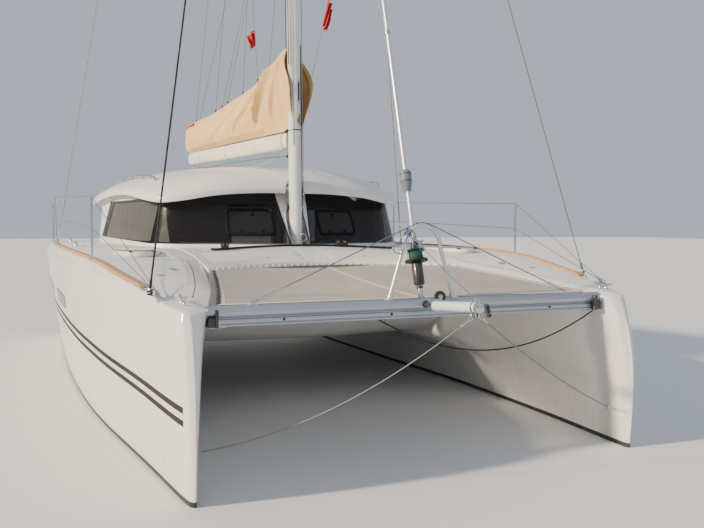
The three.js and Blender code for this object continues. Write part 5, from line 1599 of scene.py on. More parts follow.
class CATAMARAN_OT_beam(bpy.types.Operator):
    """Makes the forward beam with its web, lacing rail and end brackets, and the hoop with its stay"""

    bl_idname = "catamaran.beam"
    bl_label = "Forward beam"

    def execute(self, context):
        reach = 1.958
        beam = Shape("beam_skin")
        beam.pin((BEAM_RADIUS, 2 * reach, 0.004), (-reach, BEAM_Y, BEAM_Z), ACROSS, "anodised", 40)
        half = [(0.007, -0.04), (0.007, -0.058), (0.021, -0.062), (0.021, -0.092), (0.013, -0.095),
                (0.013, -0.101), (0.024, -0.104), (0.024, -0.118)]
        web = half + [(-y, z) for y, z in half[::-1]]
        web = rounded([(BEAM_Y + y, BEAM_Z + z) for y, z in web], 0.003, 3)
        beam.skin(side_profile(web, -1.9, 1.9), "anodised")
        for y, z in ((0.043, 0.028), (0.07, 0.042)):
            beam.block((-1.84, BEAM_Y + y, BEAM_Z + 0.018), (1.84, BEAM_Y + 0.078, BEAM_Z + z), "anodised",
                       0.003)
        # Dark plugs fill the holes in the web: painted shade where the holes open.
        for x in (-1.31, -0.32, 0.62, 1.37):
            beam.pin((0.012, 0.052, 0.002), (x, BEAM_Y - 0.026, BEAM_Z - 0.077), AFT, "dark_seal", 20)
        for sign in (1, -1):
            self.bracket(beam, sign)
        beam.make("boat", "aluminium", "cross_beam")
        self.hoop()
        self.stay()
        return {"FINISHED"}

    def bracket(self, beam, sign):
        """A dark plate against the hull with a saddle round the tube, four bolts and a tang below."""
        for (x0, x1), half, (z0, z1), look in (((1.90, 1.958), 0.08, (-0.116, -0.04), "dark_alloy"),
                                               ((1.872, 1.9), 0.084, (-0.118, 0.025), "dark_alloy"),
                                               ((1.80, 1.94), 0.02, (-0.128, -0.119), "stainless")):
            x0, x1 = sorted((sign * x0, sign * x1))
            beam.block((x0, BEAM_Y - half, BEAM_Z + z0), (x1, BEAM_Y + half, BEAM_Z + z1), look, 0.006)
        for y in (-0.064, 0.064):
            for z in (-0.098, 0.004):
                beam.pin((0.011, 0.009, 0.003), (sign * 1.874, BEAM_Y + y, BEAM_Z + z), (-sign, 0, 0),
                         "stainless", 6)

    def hoop(self):
        foot, spring, radius = BEAM_TOP + 0.004, HOOP["spring"], HOOP["radius"]
        a = np.linspace(np.pi, 0, 33)
        arch = at(radius * np.cos(a), HOOP["y"], spring + radius * np.sin(a))
        leg = between((-HOOP["foot"], HOOP["y"], foot), arch[0], np.linspace(0, 0.9, 8))
        path = np.concatenate([leg, arch, leg[::-1] * (-1, 1, 1)])
        hoop = Shape("hoop_skin").tube(path, HOOP["tube"], "foil_alloy", 20, up=AFT)
        for sign in (1, -1):
            spot = (sign * HOOP["foot"], HOOP["y"], BEAM_TOP - 0.01)
            hoop.pin((0.044, 0.018, 0.004), spot, UP, "foil_alloy", 28)
            hoop.pin((0.026, 0.05, 0.006), spot, (-sign * 0.3, 0, 1), "foil_alloy", 24)
            for angle in (0.6, 2.5, 3.8, 5.6):
                bolt = np.array(spot) + (0.035 * math.cos(angle), 0.035 * math.sin(angle), 0.012)
                hoop.pin((0.0055, 0.006, 0.002), bolt, UP, "stainless", 12)
        crown = np.array([0, HOOP["y"], spring + radius + HOOP["tube"]])
        hoop.block(crown - (0.03, 0.012, 0.006), crown + (0.03, 0.012, 0.004), "stainless", 0.004)
        hoop.make("boat", "white_alloy", "striker_hoop")

    def stay(self):
        """The wire over the hoop, a rigging screw near each end, and the lugs on the beam."""
        stay = Shape("striker_stay_skin")
        over, rise = STRIKER["over"], STRIKER["rise"]
        a = np.linspace(-rise, rise, 9)
        arch = at(over * np.sin(a), HOOP["y"], HOOP["spring"] + over * np.cos(a))
        feet = [np.array([sign * STRIKER["foot"], BEAM_Y, BEAM_TOP + 0.018]) for sign in (-1, 1)]
        ends = [between(foot, end, np.linspace(0.08, 0.98, 14))
                for foot, end in zip(feet, (arch[0], arch[-1]))]
        path = np.concatenate([ends[0], arch, ends[1][::-1]])
        stay.tube(path, 0.005, "wire_rope", 10, up=AFT)
        for foot, head in zip(feet, (arch[0], arch[-1])):
            turnbuckle(stay, foot, head, 0.27, 0.012)
            stay.block(foot - (0.03, 0.006, 0.026), foot + (0.022, 0.006, 0.014), "stainless", 0.004)
            stay.block(foot - (0.045, 0.022, 0.024), foot + (0.045, 0.022, -0.014), "stainless", 0.004)
        stay.make("boat", "wire", "striker_stay")


class CATAMARAN_OT_sprit(bpy.types.Operator):
    """Makes the bowsprit with its end fittings, and the two stays from its tip to the hulls"""

    bl_idname = "catamaran.sprit"
    bl_label = "Bowsprit"

    def execute(self, context):
        along = unit(SPRIT_TIP - SPRIT_ROOT)
        length = float(np.linalg.norm(SPRIT_TIP - SPRIT_ROOT))
        sprit = Shape("sprit_skin")
        sprit.pin((SPRIT_RADIUS, length - 0.02, 0.012), SPRIT_ROOT, along, "mast_paint", 40)
        sprit.pin((SPRIT_RADIUS + 0.004, 0.03, 0.006, 0.028), SPRIT_ROOT, along, "mast_paint", 40)
        sprit.pin((0.03, 0.03, 0.003, -0.018), SPRIT_ROOT, along, "dark_seal", 24)
        heel = SPRIT_ROOT - (0, SPRIT_ROOT[1] - BEAM_Y + BEAM_RADIUS - 0.004, 0)
        sprit.pin((0.02, float(heel[1] - SPRIT_ROOT[1]), 0.003), heel, (0, -1, 0), "dark_alloy", 24)
        sprit.pin((0.034, 0.016, 0.004), heel, (0, -1, 0), "dark_alloy", 28)
        for start in (length - 0.082, length - 0.028):
            sprit.pin((SPRIT_RADIUS + 0.0035, 0.022, 0.002, start), SPRIT_ROOT, along, "stainless", 40)
        sprit.turned([(0, length - 0.02), (SPRIT_RADIUS - 0.006, length - 0.02),
                      (SPRIT_RADIUS - 0.008, length - 0.004),
                      (0.02, length + 0.004), (0, length + 0.004)], SPRIT_ROOT, along, "stainless", 32)
        _, y, z = BOBSTAY["tip"]
        sprit.block((-0.006, y - 0.036, z - 0.014), (0.006, y + 0.036, z + 0.036), "stainless", 0.004)
        for x in (-0.022, 0.022):
            sprit.block((x - 0.003, y - 0.026, z - 0.013), (x + 0.003, y + 0.026, z + 0.034), "stainless",
                        0.002)
        sprit.pin((0.007, 0.06, 0.001), (-0.03, y, z), ACROSS, "stainless", 12)
        crown = SPRIT_TIP + (0, 0.045, SPRIT_RADIUS)
        ring = np.linspace(0, 2 * np.pi, 24, endpoint=False)
        path = crown + np.stack([0.017 * np.cos(ring), 0 * ring, 0.012 + 0.017 * np.sin(ring)], -1)
        sprit.tube(path, 0.0045, "stainless", 8, closed=True, up=AFT)
        sprit.make("boat", "white_alloy", "bowsprit")
        self.tack_block()
        self.roller()
        for side, sign in SIDES:
            self.bobstay(side, sign)
        return {"FINISHED"}

    def tack_block(self):
        """A grey sheave block that hangs from the tip by a rope strop."""
        hang = np.array([0.11, -5.5, 1.48])
        lean = pose(hang, math.radians(-24), "Y") @ pose(angle=math.radians(8), axis="X")
        tack = Shape("tack_block")
        tack.block((-0.021, -0.017, -0.062), (0.021, 0.017, 0.062), "grey_plastic", 0.014, lean, steps=5)
        for y in (-0.022, 0.012):
            tack.block((-0.014, y, -0.05), (0.014, y + 0.01, 0.05), "black_plastic", 0.006, lean)
        tack.pin((0.006, 0.05, 0.001), placed(np.array([0, -0.025, -0.018]), lean), AFT, "stainless", 12)
        a = np.linspace(0, 2 * np.pi, 40, endpoint=False)
        for size, drop, tilt in ((0.05, 0.0, 0.0), (0.045, -0.012, 0.18)):
            path = np.stack([hang[0] - 0.065 + size * 1.1 * np.cos(a),
                             hang[1] + 0.02 * np.sin(a * 2 + tilt) + 0.012 * np.cos(a),
                             hang[2] + 0.035 + drop + size * 0.62 * np.sin(a)], -1)
            tack.tube(path, 0.0042, "white_rope", 8, closed=True, up=AFT)
        tack.make("boat", "black_plastic")

    def roller(self):
        """The anchor line's roller on the beam beside the sprit."""
        roller = Shape("beam_roller")
        spot = np.array([0.17, BEAM_Y - 0.01, BEAM_TOP + 0.012])
        groove = [(0, -0.02), (0.046, -0.02), (0.051, -0.014), (0.04, 0.0), (0.051, 0.014), (0.046, 0.02),
                  (0, 0.02)]
        face = unit(np.array([-0.35, -1.0, 0.05]))
        roller.turned(groove, spot, face, "black_plastic", 36)
        roller.pin((0.02, 0.052, 0.004, -0.026), spot, face, "stainless", 24)
        side = unit(np.cross(face, (0, 0, 1.0)))
        for s in (-0.027, 0.023):
            base = spot + face * s
            m = frame_at(base, side, face, np.array([0, 0, 1.0]))
            roller.block((-0.013, 0.0, -0.045), (0.013, 0.004, 0.014), "stainless", 0.0015, m)
        roller.make("boat", "black_plastic")

    def bobstay(self, side, sign):
        """A sagging wire with a swage and shackle at each end, and the eye bolted through the stem."""
        stay = Shape(f"bobstay_skin_{side}", sign < 0)
        s = np.linspace(0, 0.985, 60)
        tip, end = np.array(BOBSTAY["tip"]), np.array(BOBSTAY["end"])
        path = between(tip, end, s)
        path[:, 2] -= 4 * BOBSTAY["sag"][side] * s * (1 - s)
        stay.tube(path[2:], 0.005, "wire_rope", 10, up=AFT)
        for a, b in ((path[1], path[4]), (path[-1], path[-4])):
            stay.pin((0.0085, 0.085, 0.002), a, unit(b - a), "stainless", 14)
        shackle(stay, path[1] - 0.012 * unit(path[3] - path[1]), path[3])
        shackle(stay, path[-1], path[-3], 0.034)
        eye = path[-1] + unit(path[-1] - path[-3]) * 0.012
        plate = frame_at(eye, *basis(unit(np.array([1.0, -0.35, 0.1]))))
        stay.block((-0.024, -0.024, -0.006), (0.024, 0.024, 0.02), "stainless", 0.005, plate)
        stay.make("boat", "wire", f"bobstay_{side}")


@finish
def grey_plastic(name):
    paint = Paint(name, (0.17, 0.19, 0.22), 0.5)
    return paint.bump(paint.noise(220, 3), 0.0003).done()


def rope_finish(name, color, fleck, pitch=0.009):
    """Braid: two sets of diagonal strands over the UV that cross, with a coloured fleck."""
    paint = Paint(name, color, 0.85)
    u, v = paint.uv()
    strands = (u * 1.1 + v).wave(pitch) * (u * -1.1 + v).wave(pitch)
    marks = (u * 1.1 + v).every(pitch * 4, pitch * 0.6)
    tone = paint.mix(marks, paint.color, fleck)
    # Darker between the strands: painted shade in the braid's hollows.
    tone = paint.mix(strands, tuple(0.45 * c for c in color), tone)
    soil = paint.noise(12, 4, 0.65).rise(0.45, 0.8)
    paint.set("Base Color", paint.mix(soil * 0.3, tone, (0.25, 0.23, 0.2)))
    return paint.bump(strands, 0.0012).done()


@finish
def white_rope(name):
    return rope_finish(name, (0.72, 0.71, 0.67), (0.6, 0.6, 0.58))


@finish
def blue_rope(name):
    return rope_finish(name, (0.03, 0.20, 0.46), (0.55, 0.62, 0.68))


@finish
def green_rope(name):
    return rope_finish(name, (0.05, 0.30, 0.20), (0.45, 0.6, 0.5))


@finish
def black_rope(name):
    return rope_finish(name, (0.025, 0.025, 0.03), (0.12, 0.12, 0.13))


@finish
def grey_rope(name):
    return rope_finish(name, (0.24, 0.25, 0.26), (0.5, 0.5, 0.5))


class CATAMARAN_OT_furler(bpy.types.Operator):
    """Makes the furling drum, the foil and swivel above it, and the furling line made fast at the hoop"""

    bl_idname = "catamaran.furler"
    bl_label = "Furler"

    def execute(self, context):
        base = Shape("furler_base_skin")
        base.pin((0.024, 0.128, 0.003, -0.02), STAY_FOOT, STAY, "stainless", 28)
        base.pin((0.031, 0.016, 0.004, 0.0), STAY_FOOT, STAY, "anodised", 28)
        base.pin((0.029, 0.02, 0.003, 0.088), STAY_FOOT, STAY, "black_plastic", 28)
        base.make("boat", "aluminium", "furler_base")
        self.drum()
        self.lines()
        return {"FINISHED"}

    def drum(self):
        furler = Shape("furler_skin")

        def turn(profile, look, sides=40):
            furler.turned(profile, STAY_FOOT, STAY, look, sides)

        turn([(0, 0.118), (0.036, 0.118), (0.046, 0.126), (0.05, 0.14), (0.05, 0.322), (0.044, 0.334),
              (0, 0.334)],
             "dark_alloy")
        turn(ring_profile(0.053, 0.014, 0.004, 0.146), "black_plastic")
        turn([(0, 0.334), (0.09, 0.336), (0.106, 0.340), (0.108, 0.348), (0.105, 0.355), (0.066, 0.358),
              (0, 0.358)], "black_plastic", 56)
        s = np.linspace(0.36, 0.43, 81)
        wraps = 0.055 + 0.0065 * np.abs(np.sin((s - 0.36) / 0.0082 * np.pi)) + 0.004 * np.sin((s - 0.36) * 44)
        turn(np.concatenate([[(0, 0.36)], np.stack([wraps, s], -1), [(0, 0.43)]]), "green_rope", 48)
        turn([(0, 0.43), (0.07, 0.432), (0.088, 0.437), (0.09, 0.443), (0.086, 0.449), (0.05, 0.454),
              (0.042, 0.46), (0.032, 0.5), (0.03, 0.52), (0, 0.52)], "black_plastic", 56)
        u, v, w = basis(STAY)
        for k in range(3):
            a = 2 * np.pi * k / 3 + 0.5
            out = math.cos(a) * u + math.sin(a) * v
            furler.pin((0.006, 0.013, 0.002), STAY_FOOT + 0.153 * w + 0.046 * out, out, "stainless", 12)
            furler.pin((0.005, 0.078, 0.001, 0.356), STAY_FOOT + 0.083 * out, w, "stainless", 10)
        turn([(0, 0.52), (0.023, 0.52), (0.026, 0.53), (0.026, 0.6), (0.022, 0.61), (0, 0.61)], "anodised",
             28)
        a = np.linspace(0, 2 * np.pi, 20, endpoint=False)
        squashed = 1 - 0.16 * np.abs(np.sin(a)) ** 3
        foil = np.stack([0.0195 * np.cos(a), 0.027 * np.sin(a) * squashed], -1)
        rows = np.array([0.6, STAY_LENGTH - 0.5])
        across = unit(np.cross((0, 0, 1.0), STAY))
        back = np.cross(STAY, across)
        grid = (STAY_FOOT + rows[:, None, None] * STAY + foil[None, :, :1] * across + foil[None, :, 1:]
                * back)
        furler.skin(grid, "foil_alloy")
        turn([(0, 1.005), (0.03, 1.005), (0.034, 1.012), (0.05, 1.085), (0.054, 1.095), (0.054, 1.19),
              (0.05, 1.202), (0.037, 1.214), (0.03, 1.216), (0, 1.216)], "grey_plastic", 40)
        for start in (1.1, 1.17):
            turn(ring_profile(0.0555, 0.008, 0.002, start), "black_plastic")
        for height in (2.6, 4.6, 6.6, 8.6, 10.6):
            turn(ring_profile(0.0275, 0.05, 0.004, height), "anodised", 24)
        turn(ring_profile(0.005, 0.51, 0.001, STAY_LENGTH - 0.516), "wire_rope", 12)
        furler.make("furler_body", "aluminium", "furler")

    def lines(self):
        """Blue turns round the hoop's shoulder, and the lines that run from it."""
        lines = Shape("furling_lines")
        knot = np.array([-0.142, HOOP["y"], HOOP["spring"] + 0.112])
        a = np.linspace(0, 8 * np.pi, 150)
        lean = unit(np.array([0.6, 0, 0.8]))
        side = unit(np.array([0.8, 0, -0.6]))
        reel = (knot + np.outer(np.linspace(-0.035, 0.035, 150), lean) + np.outer(np.cos(a) * 0.027, side)
                + np.outer(np.sin(a) * 0.027, (0, 1.0, 0)))
        lines.tube(reel, 0.005, "blue_rope", 8)
        t = np.linspace(0, 1, 40)
        bight = through([knot, (-0.2, BEAM_Y - 0.03, 2.0), (-0.29, BEAM_Y - 0.02, 1.985),
                         (-0.3, BEAM_Y - 0.01, 1.93), (-0.23, BEAM_Y - 0.015, 1.905),
                         (-0.2, BEAM_Y + 0.03, 1.96)], t)
        lines.tube(bight, 0.0045, "blue_rope", 8)
        for target, look, size in (((0.0, SPRIT_TIP[1] + 0.06, SPRIT_TIP[2] + 0.06), "grey_rope", 0.0035),
                                   ((-0.03, STAY_FOOT[1] - 0.05, 1.93), "blue_rope", 0.0045)):
            lines.tube(through([knot + (0.012, -0.02, 0), between(knot, target, 0.5) - (0, 0, 0.012), target],
                               t),
                       size, look, 8)
        tail = through([knot, (-0.16, BEAM_Y - 0.02, 2.02), (-0.175, BEAM_Y - 0.025, 1.93),
                        (-0.165, BEAM_Y - 0.02, 1.86)], t)
        lines.tube(tail, 0.0045, "white_rope", 8)
        lines.make("boat", "canvas")


@finish
def dark_alloy(name):
    paint = Paint(name, (0.03, 0.031, 0.034), 0.35, coat_weight=0.3)
    wear = paint.noise(30, 4, 0.6).rise(0.5, 0.8)
    paint.shade(wear * 0.4, (0.10, 0.10, 0.11))
    return paint.set("Roughness", 0.28 + wear * 0.25).done()


@finish
def foil_alloy(name):
    paint = Paint(name, (0.66, 0.68, 0.70), 0.3, metallic=0.55)
    marks = paint.noise(9, 4, 0.6, paint.stretched(3, 3, 0.15)).rise(0.45, 0.8)
    paint.shade(marks * 0.35, (0.45, 0.46, 0.47))
    return paint.set("Roughness", 0.26 + marks * 0.2).done()


# Mast, spreaders, shrouds, boom and the stowed sail's cover

SPREADER_Z = 6.5
MAST_WALL = 0.0075
# Each line above the boom: how far aft it starts, its height above the boom, and where it meets the mast
LAZY_JACKS = ((3.945, 0.515, 12.6), (3.78, 0.47, 6.78), (2.92, 0.57, 12.5), (2.61, 0.60, 5.91),
              (2.37, 0.64, 5.9),
              (1.70, 0.705, 12.6), (0.706, 0.86, 5.55))


def mast_ring(grow=0.0, sides=60, groove=True):
    """The mast's oval section, with the sail track's groove in its aft side."""
    gap = 0.094 if groove else 0.0
    a = np.linspace(np.pi / 2 + gap, 2.5 * np.pi - gap, sides, endpoint=groove)
    ring = np.stack([(MAST_WIDTH / 2 + grow) * np.cos(a), (MAST_CHORD / 2 + grow) * np.sin(a)], -1)
    if groove:
        floor = MAST_CHORD / 2 - 0.014
        ring = np.vstack([ring, [(MAST_WALL, floor), (-MAST_WALL, floor)]])
    return ring


def on_mast(angle, z, off=0.0):
    """A point on the mast's skin and the direction out of it. The angle is zero at port and grows aft."""
    out = np.array([math.cos(angle), math.sin(angle), 0])
    half = np.array([MAST_WIDTH / 2, MAST_CHORD / 2, 0])
    spot = half**2 * out / np.linalg.norm(half * out)
    return spot + out * off + (0, 0, z), out


class CATAMARAN_OT_mast(bpy.types.Operator):
    """Makes the mast with its track, gooseneck, clutch plates, cleats and halyards, and the spreaders"""

    bl_idname = "catamaran.mast"
    bl_label = "Mast and spreaders"

    def execute(self, context):
        mast = Shape("mast_skin")
        mast.skin(prism(mast_ring(), 0.006, MAST_LENGTH), "mast_paint", matrix=RIG)
        mast.skin(prism(mast_ring(0.012, groove=False), 0.0062, 0.055, 0.008), "mast_paint", matrix=RIG)
        for z, high, look in ((1.487, 0.014, "black_plastic"), (2.52, 0.02, "mast_paint"),
                              (5.9, 0.02, "mast_paint")):
            mast.skin(prism(mast_ring(0.0025, groove=False), z, z + high, 0.002), look, matrix=RIG)
        self.gooseneck(mast)
        self.fittings(mast)
        self.masthead(mast)
        mast.make("boat", "white_alloy", "mast")
        self.halyards()
        self.spreaders()
        return {"FINISHED"}

    def gooseneck(self, mast):
        y, z = GOOSENECK[1], GOOSENECK[2]
        mast.block((-0.032, 0.104, z - 0.075), (0.032, 0.118, z + 0.075), "stainless", 0.006, RIG)
        mast.block((-0.022, 0.11, z - 0.006), (0.022, y - 0.014, z + 0.006), "stainless", 0.004, RIG)
        mast.pin((0.031, 0.013, 0.003, -0.0065), (0, y, z), UP, "stainless", 32, RIG)
        for x in (-0.02, 0.02):
            for drop in (-0.055, 0.055):
                mast.pin((0.006, 0.006, 0.002), (x, 0.117, z + drop), AFT, "stainless", 12, RIG)
        mast.block((-0.018, 0.1, 0.62), (0.018, 0.15, 0.7), "stainless", 0.008, RIG)

    def fittings(self, mast):
        """Halyard exits, clutch plates and cleats: each sits on the skin and looks out of it."""
        up = np.array([0, 0, 1.0])
        for angle, z, half, high, look in ((-1.17, 1.99, 0.024, 0.15, "stainless"),
                                           (0.35, 2.55, 0.014, 0.07, "stainless"),
                                           (2.75, 2.62, 0.014, 0.07, "stainless"),
                                           (0.5, 0.95, 0.013, 0.06, "stainless")):
            spot, out = on_mast(angle, z, -0.003)
            across = np.cross(up, out)
            seat = RIG @ frame_at(spot, across, up, out)
            plate = rounded([(-half, -high), (half, -high), (half, high), (-half, high)], half * 0.95, 8)
            mast.skin(prism(plate, 0, 0.007, 0.002), look, matrix=seat)
            # The dark inset on each plate is painted shade, in place of the dark opening of the fitting.
            mast.skin(prism(plate * (0.5, 0.8), 0, 0.0085, 0.002), "dark_seal", matrix=seat)
        for angle, z in ((-1.35, 1.62), (0.1, 0.42), (3.1, 0.5)):
            spot, out = on_mast(angle, z, -0.002)
            seat = RIG @ frame_at(spot, np.cross(up, out), up, out)
            mast.block((-0.012, -0.03, 0), (0.012, 0.03, 0.026), "dark_alloy", 0.006, seat)
            horn = np.array([(0, -0.072, 0.038), (0, -0.04, 0.03), (0, 0, 0.027), (0, 0.04, 0.03),
                             (0, 0.072, 0.038)])
            mast.tube(placed(horn, seat), np.array([0.006, 0.008, 0.01, 0.008, 0.006]), "dark_alloy", 10)
        for angle, z, radius in ((0.55, 0.68, 0.05), (2.6, 0.74, 0.045)):
            spot, out = on_mast(angle, z, -0.01)
            drum = [(0, 0), (radius, 0), (radius, 0.02), (radius * 0.72, 0.034), (radius * 0.66, 0.06),
                    (radius * 0.8, 0.082), (radius * 0.78, 0.092), (0, 0.094)]
            mast.turned(drum, spot, out, "stainless", 28, RIG)

    def masthead(self, mast):
        top = MAST_LENGTH
        mast.block((-0.045, -0.16, top - 0.004), (0.045, 0.2, top + 0.006), "mast_paint", 0.01, RIG)
        for y in (-0.13, 0.17):
            mast.pin((0.028, 0.02, 0.004, -0.01), (0, y, top - 0.012), ACROSS, "black_plastic", 24, RIG)
        spot = np.array([0, 10 * MM, top - 0.5])
        mast.block(spot - (0.094, 0.02, 0.03), spot + (0.094, 0.02, 0.05), "stainless", 0.006, RIG)
        mast.block((-0.015, -0.16, top - 0.47), (0.015, -0.09, top - 0.36), "stainless", 0.006, RIG)

    def halyards(self):
        """Lines close along the mast, a spare coil at its foot, and the line led to the port deck."""
        lines = Shape("halyards")
        top = MAST_LENGTH - 0.2
        for angle, start, off, look, size in ((-2.75, 2.34, 0.028, "black_rope", 0.0055),
                                              (-2.95, 2.3, 0.04, "black_rope", 0.005),
                                              (-2.35, 1.3, 0.012, "white_rope", 0.005),
                                              (-0.25, 1.4, 0.02, "white_rope", 0.005),
                                              (-0.05, 0.7, 0.03, "grey_rope", 0.004),
                                              (-0.62, 0.5, 0.011, "black_rope", 0.0055),
                                              (-2.6, 2.2, 0.016, "white_rope", 0.005)):
            reach = 2.6 if angle == -0.62 else top
            stops = np.array([start, start + 0.5, lerp(start, reach, 0.5), reach])
            path = np.array([on_mast(angle, z, off)[0] for z in stops])
            lines.tube(placed(path, RIG), size, look, 8, up=AFT)
        for turn in range(5):
            a = np.linspace(0, 2 * np.pi, 36, endpoint=False)
            spot, out = on_mast(-0.85 - 0.05 * turn, 0.1, 0.018 + 0.009 * turn)
            across = np.cross(out, (0, 0, 1.0))
            path = spot + np.outer(np.cos(a + turn) * (0.045 + 0.004 * turn), across)
            path += np.outer(np.sin(a + turn) * (0.062 - 0.004 * turn), (0, 0, 1.0))
            lines.tube(placed(path, RIG), 0.005, "white_rope", 8, closed=True)
        t = np.linspace(0, 1, 30)
        led = through([(0.086, -1.1, 3.06), (0.09, -1.02, 2.99), (0.16, -0.8, 2.93), (0.24, -0.62, 2.965)], t)
        lines.tube(led, 0.0055, "black_rope", 8)
        lines.make("boat", "canvas")

    def spreaders(self):
        """A collar round the mast and two swept arms whose oval section shrinks to the tip."""
        shape = Shape("spreaders_skin")
        collar = prism(mast_ring(0.022, groove=False), SPREADER_Z - 0.06, SPREADER_Z + 0.06, 0.01)
        shape.skin(collar, "mast_paint", matrix=RIG)
        share = np.linspace(0, 1, 12)
        middle = between((0.09, 0.03, SPREADER_Z), SPREADER_TIP, share)
        a = np.linspace(0, 2 * np.pi, 24, endpoint=False)
        half, thick = lerp(0.045, 0.024, share)[:, None], lerp(0.02, 0.012, share)[:, None]
        ring = at(0, half * np.cos(a), thick * np.sin(a))
        for sign in (1, -1):
            arm = (middle[:, None] + ring) * (sign, 1, 1)
            shape.skin(arm, "mast_paint", matrix=RIG)
            tip = SPREADER_TIP * (sign, 1, 1)
            shape.block(tip - (0.02, 0.026, 0.014), tip + (0.012, 0.03, 0.016), "black_plastic", 0.008, RIG)
            for bolt in (-0.035, 0.035):
                spot = np.array([sign * 0.1, 0.02 + bolt, SPREADER_Z + 0.03])
                shape.pin((0.007, 0.014, 0.002), spot, (sign, 0, 0), "stainless", 10, RIG)
        shape.make("boat", "white_alloy", "spreaders")


class CATAMARAN_OT_shrouds(bpy.types.Operator):
    """Makes the two shrouds over the spreader tips, with their rigging screws and chainplates"""

    bl_idname = "catamaran.shrouds"
    bl_label = "Shrouds"

    def execute(self, context):
        for side, sign in SIDES:
            shroud = Shape(f"shroud_skin_{side}")
            foot = np.array([sign * CHAINPLATE[0], CHAINPLATE[1], deck_level(CHAINPLATE[1]) + 0.02])
            elbow, head = placed(np.array([SPREADER_TIP + (0.007, 0.008, 0.006),
                                           (MAST_WIDTH / 2 + 0.012, 0.01, MAST_LENGTH - 0.5)]) * (sign, 1, 1),
                                 RIG)
            path = np.vstack([between(foot, elbow, np.linspace(0.05, 1, 16)),
                              between(elbow, head, np.linspace(0.05, 1, 16))])
            shroud.tube(path, 0.005, "wire_rope", 10)
            turnbuckle(shroud, foot, elbow, 0.34, 0.0135, 0.02)
            ahead = unit(elbow - foot)
            shroud.pin((0.0095, 0.34, 0.004, 0.36), foot, ahead, "white_rope", 14)
            shroud.block(foot - (0.006, 0.038, 0.1), foot + (0.006, 0.038, 0.026), "stainless", 0.005)
            shroud.block(foot - (0.03, 0.06, 0.024), foot + (0.03, 0.06, -0.016), "stainless", 0.005)
            for at_end, along in ((elbow, unit(head - elbow)), (head, unit(elbow - head))):
                shroud.pin((0.009, 0.09, 0.002), at_end, along, "stainless", 12)
            shroud.make("boat", "wire", f"shroud_{side}")
        return {"FINISHED"}


class CATAMARAN_OT_boom(bpy.types.Operator):
    """Makes the boom with its end fittings, straps and the lines below it"""

    bl_idname = "catamaran.boom"
    bl_label = "Boom"

    def execute(self, context):
        boom = Shape("boom_skin")
        a = np.linspace(0, 2 * np.pi, 48, endpoint=False)
        section = np.stack([np.sign(np.cos(a)) * np.abs(np.cos(a)) ** 0.8 * BOOM_WIDTH / 2,
                            np.sign(np.sin(a)) * np.abs(np.sin(a)) ** 0.9 * BOOM_DEPTH / 2], -1)
        stops = [(0.062, 0.6), (0.066, 0.68), (0.08, 0.74), (0.152, 1.0), (4.13, 1.0), (4.235, 0.84),
                 (4.247, 0.8),
                 (4.25, 0.74)]
        grid = np.stack([at(section[:, 0] * size, y, section[:, 1] * size + 0.015) for y, size in stops])
        boom.skin(grid, "boom_paint", matrix=BOOM_UP)
        for y, width in ((4.06, 0.03), (3.56, 0.045), (2.32, 0.05), (1.1, 0.05)):
            band = np.stack([at(section[:, 0] * 1.03, y + s, section[:, 1] * 1.02 + 0.015)
                             for s in (0, width)])
            boom.skin(band, "webbing", matrix=BOOM_UP)
        for y, size in ((4.1, 0.92), (0.155, 1.01)):
            band = np.stack([at(section[:, 0] * (size + 0.02), y + s, section[:, 1] * (size + 0.02) + 0.015)
                             for s in (0, 0.02)])
            boom.skin(band, "dark_alloy", matrix=BOOM_UP)
        boom.pin((0.0118, 0.084, 0.002, -0.042), (0, 0, 0), UP, "stainless", 24, BOOM)
        for z in (-0.036, 0.022):
            boom.block((-0.018, -0.02, z), (0.018, 0.11, z + 0.013), "stainless", 0.004, BOOM)
        for y in (2.32, 0.82, 3.7):
            loop = np.linspace(0, np.pi, 15)
            path = at(0.03 * np.cos(loop), y, -0.1 - 0.075 * np.sin(loop))
            boom.tube(placed(path, BOOM_UP), 0.005, "stainless", 8)
        self.sheaves(boom)
        boom.make("boom_body", "white_alloy", "boom")
        self.lines()
        return {"FINISHED"}

    def sheaves(self, boom):
        for x in (-0.03, 0.0, 0.03):
            boom.pin((0.03, 0.014, 0.004, -0.007), (x, 4.236, 0.06), ACROSS, "black_plastic", 24, BOOM_UP)
        for x in (-0.022, 0.022):
            boom.pin((0.026, 0.012, 0.003, -0.006), (x, 0.11, -0.045), ACROSS, "black_plastic", 24, BOOM_UP)

    def lines(self):
        """The outhaul below the boom, reefing lines on its side and a tackle at its fore end."""
        lines = Shape("boom_lines")
        t = np.linspace(0, 1, 40)
        for points, look, size in (
                ([(0.0, 0.12, -0.2), (0, 0.8, -0.18), (0, 2.3, -0.17), (0, 3.7, -0.17), (0, 4.22, -0.08)],
                 "green_rope", 0.007),
                ([(0.02, 0.40, -0.19), (0.02, 0.9, -0.25), (0.02, 1.6, -0.275), (0.02, 2.4, -0.24),
                  (0.02, 3.7, -0.19),
                  (0.02, 4.22, -0.09)], "white_rope", 0.006),
                ([(-0.03, 4.25, 0.09), (-0.05, 4.24, 0.13), (-0.055, 4.0, 0.145)], "white_rope", 0.005),
                ([(0.0, 0.1, -0.2), (-0.02, 0.06, -0.14), (-0.03, 0.04, -0.05), (-0.035, 0.05, 0.12)],
                 "white_rope", 0.006),
                ([(0.03, 0.1, -0.19), (0.035, 0.05, -0.1), (0.03, 0.045, 0.02), (0.045, 0.07, 0.13)],
                 "green_rope", 0.006)):
            lines.tube(placed(through(points, t), BOOM_UP), size, look, 8)
        for y, z in ((0.1, -0.2), (4.22, -0.08)):
            spot = placed(np.array([0, y, z]), BOOM_UP)
            lines.pin((0.02, 0.026, 0.006, -0.013), spot, (1, 0.1, 0), "black_plastic", 20)
        lines.make("boom_body", "canvas")


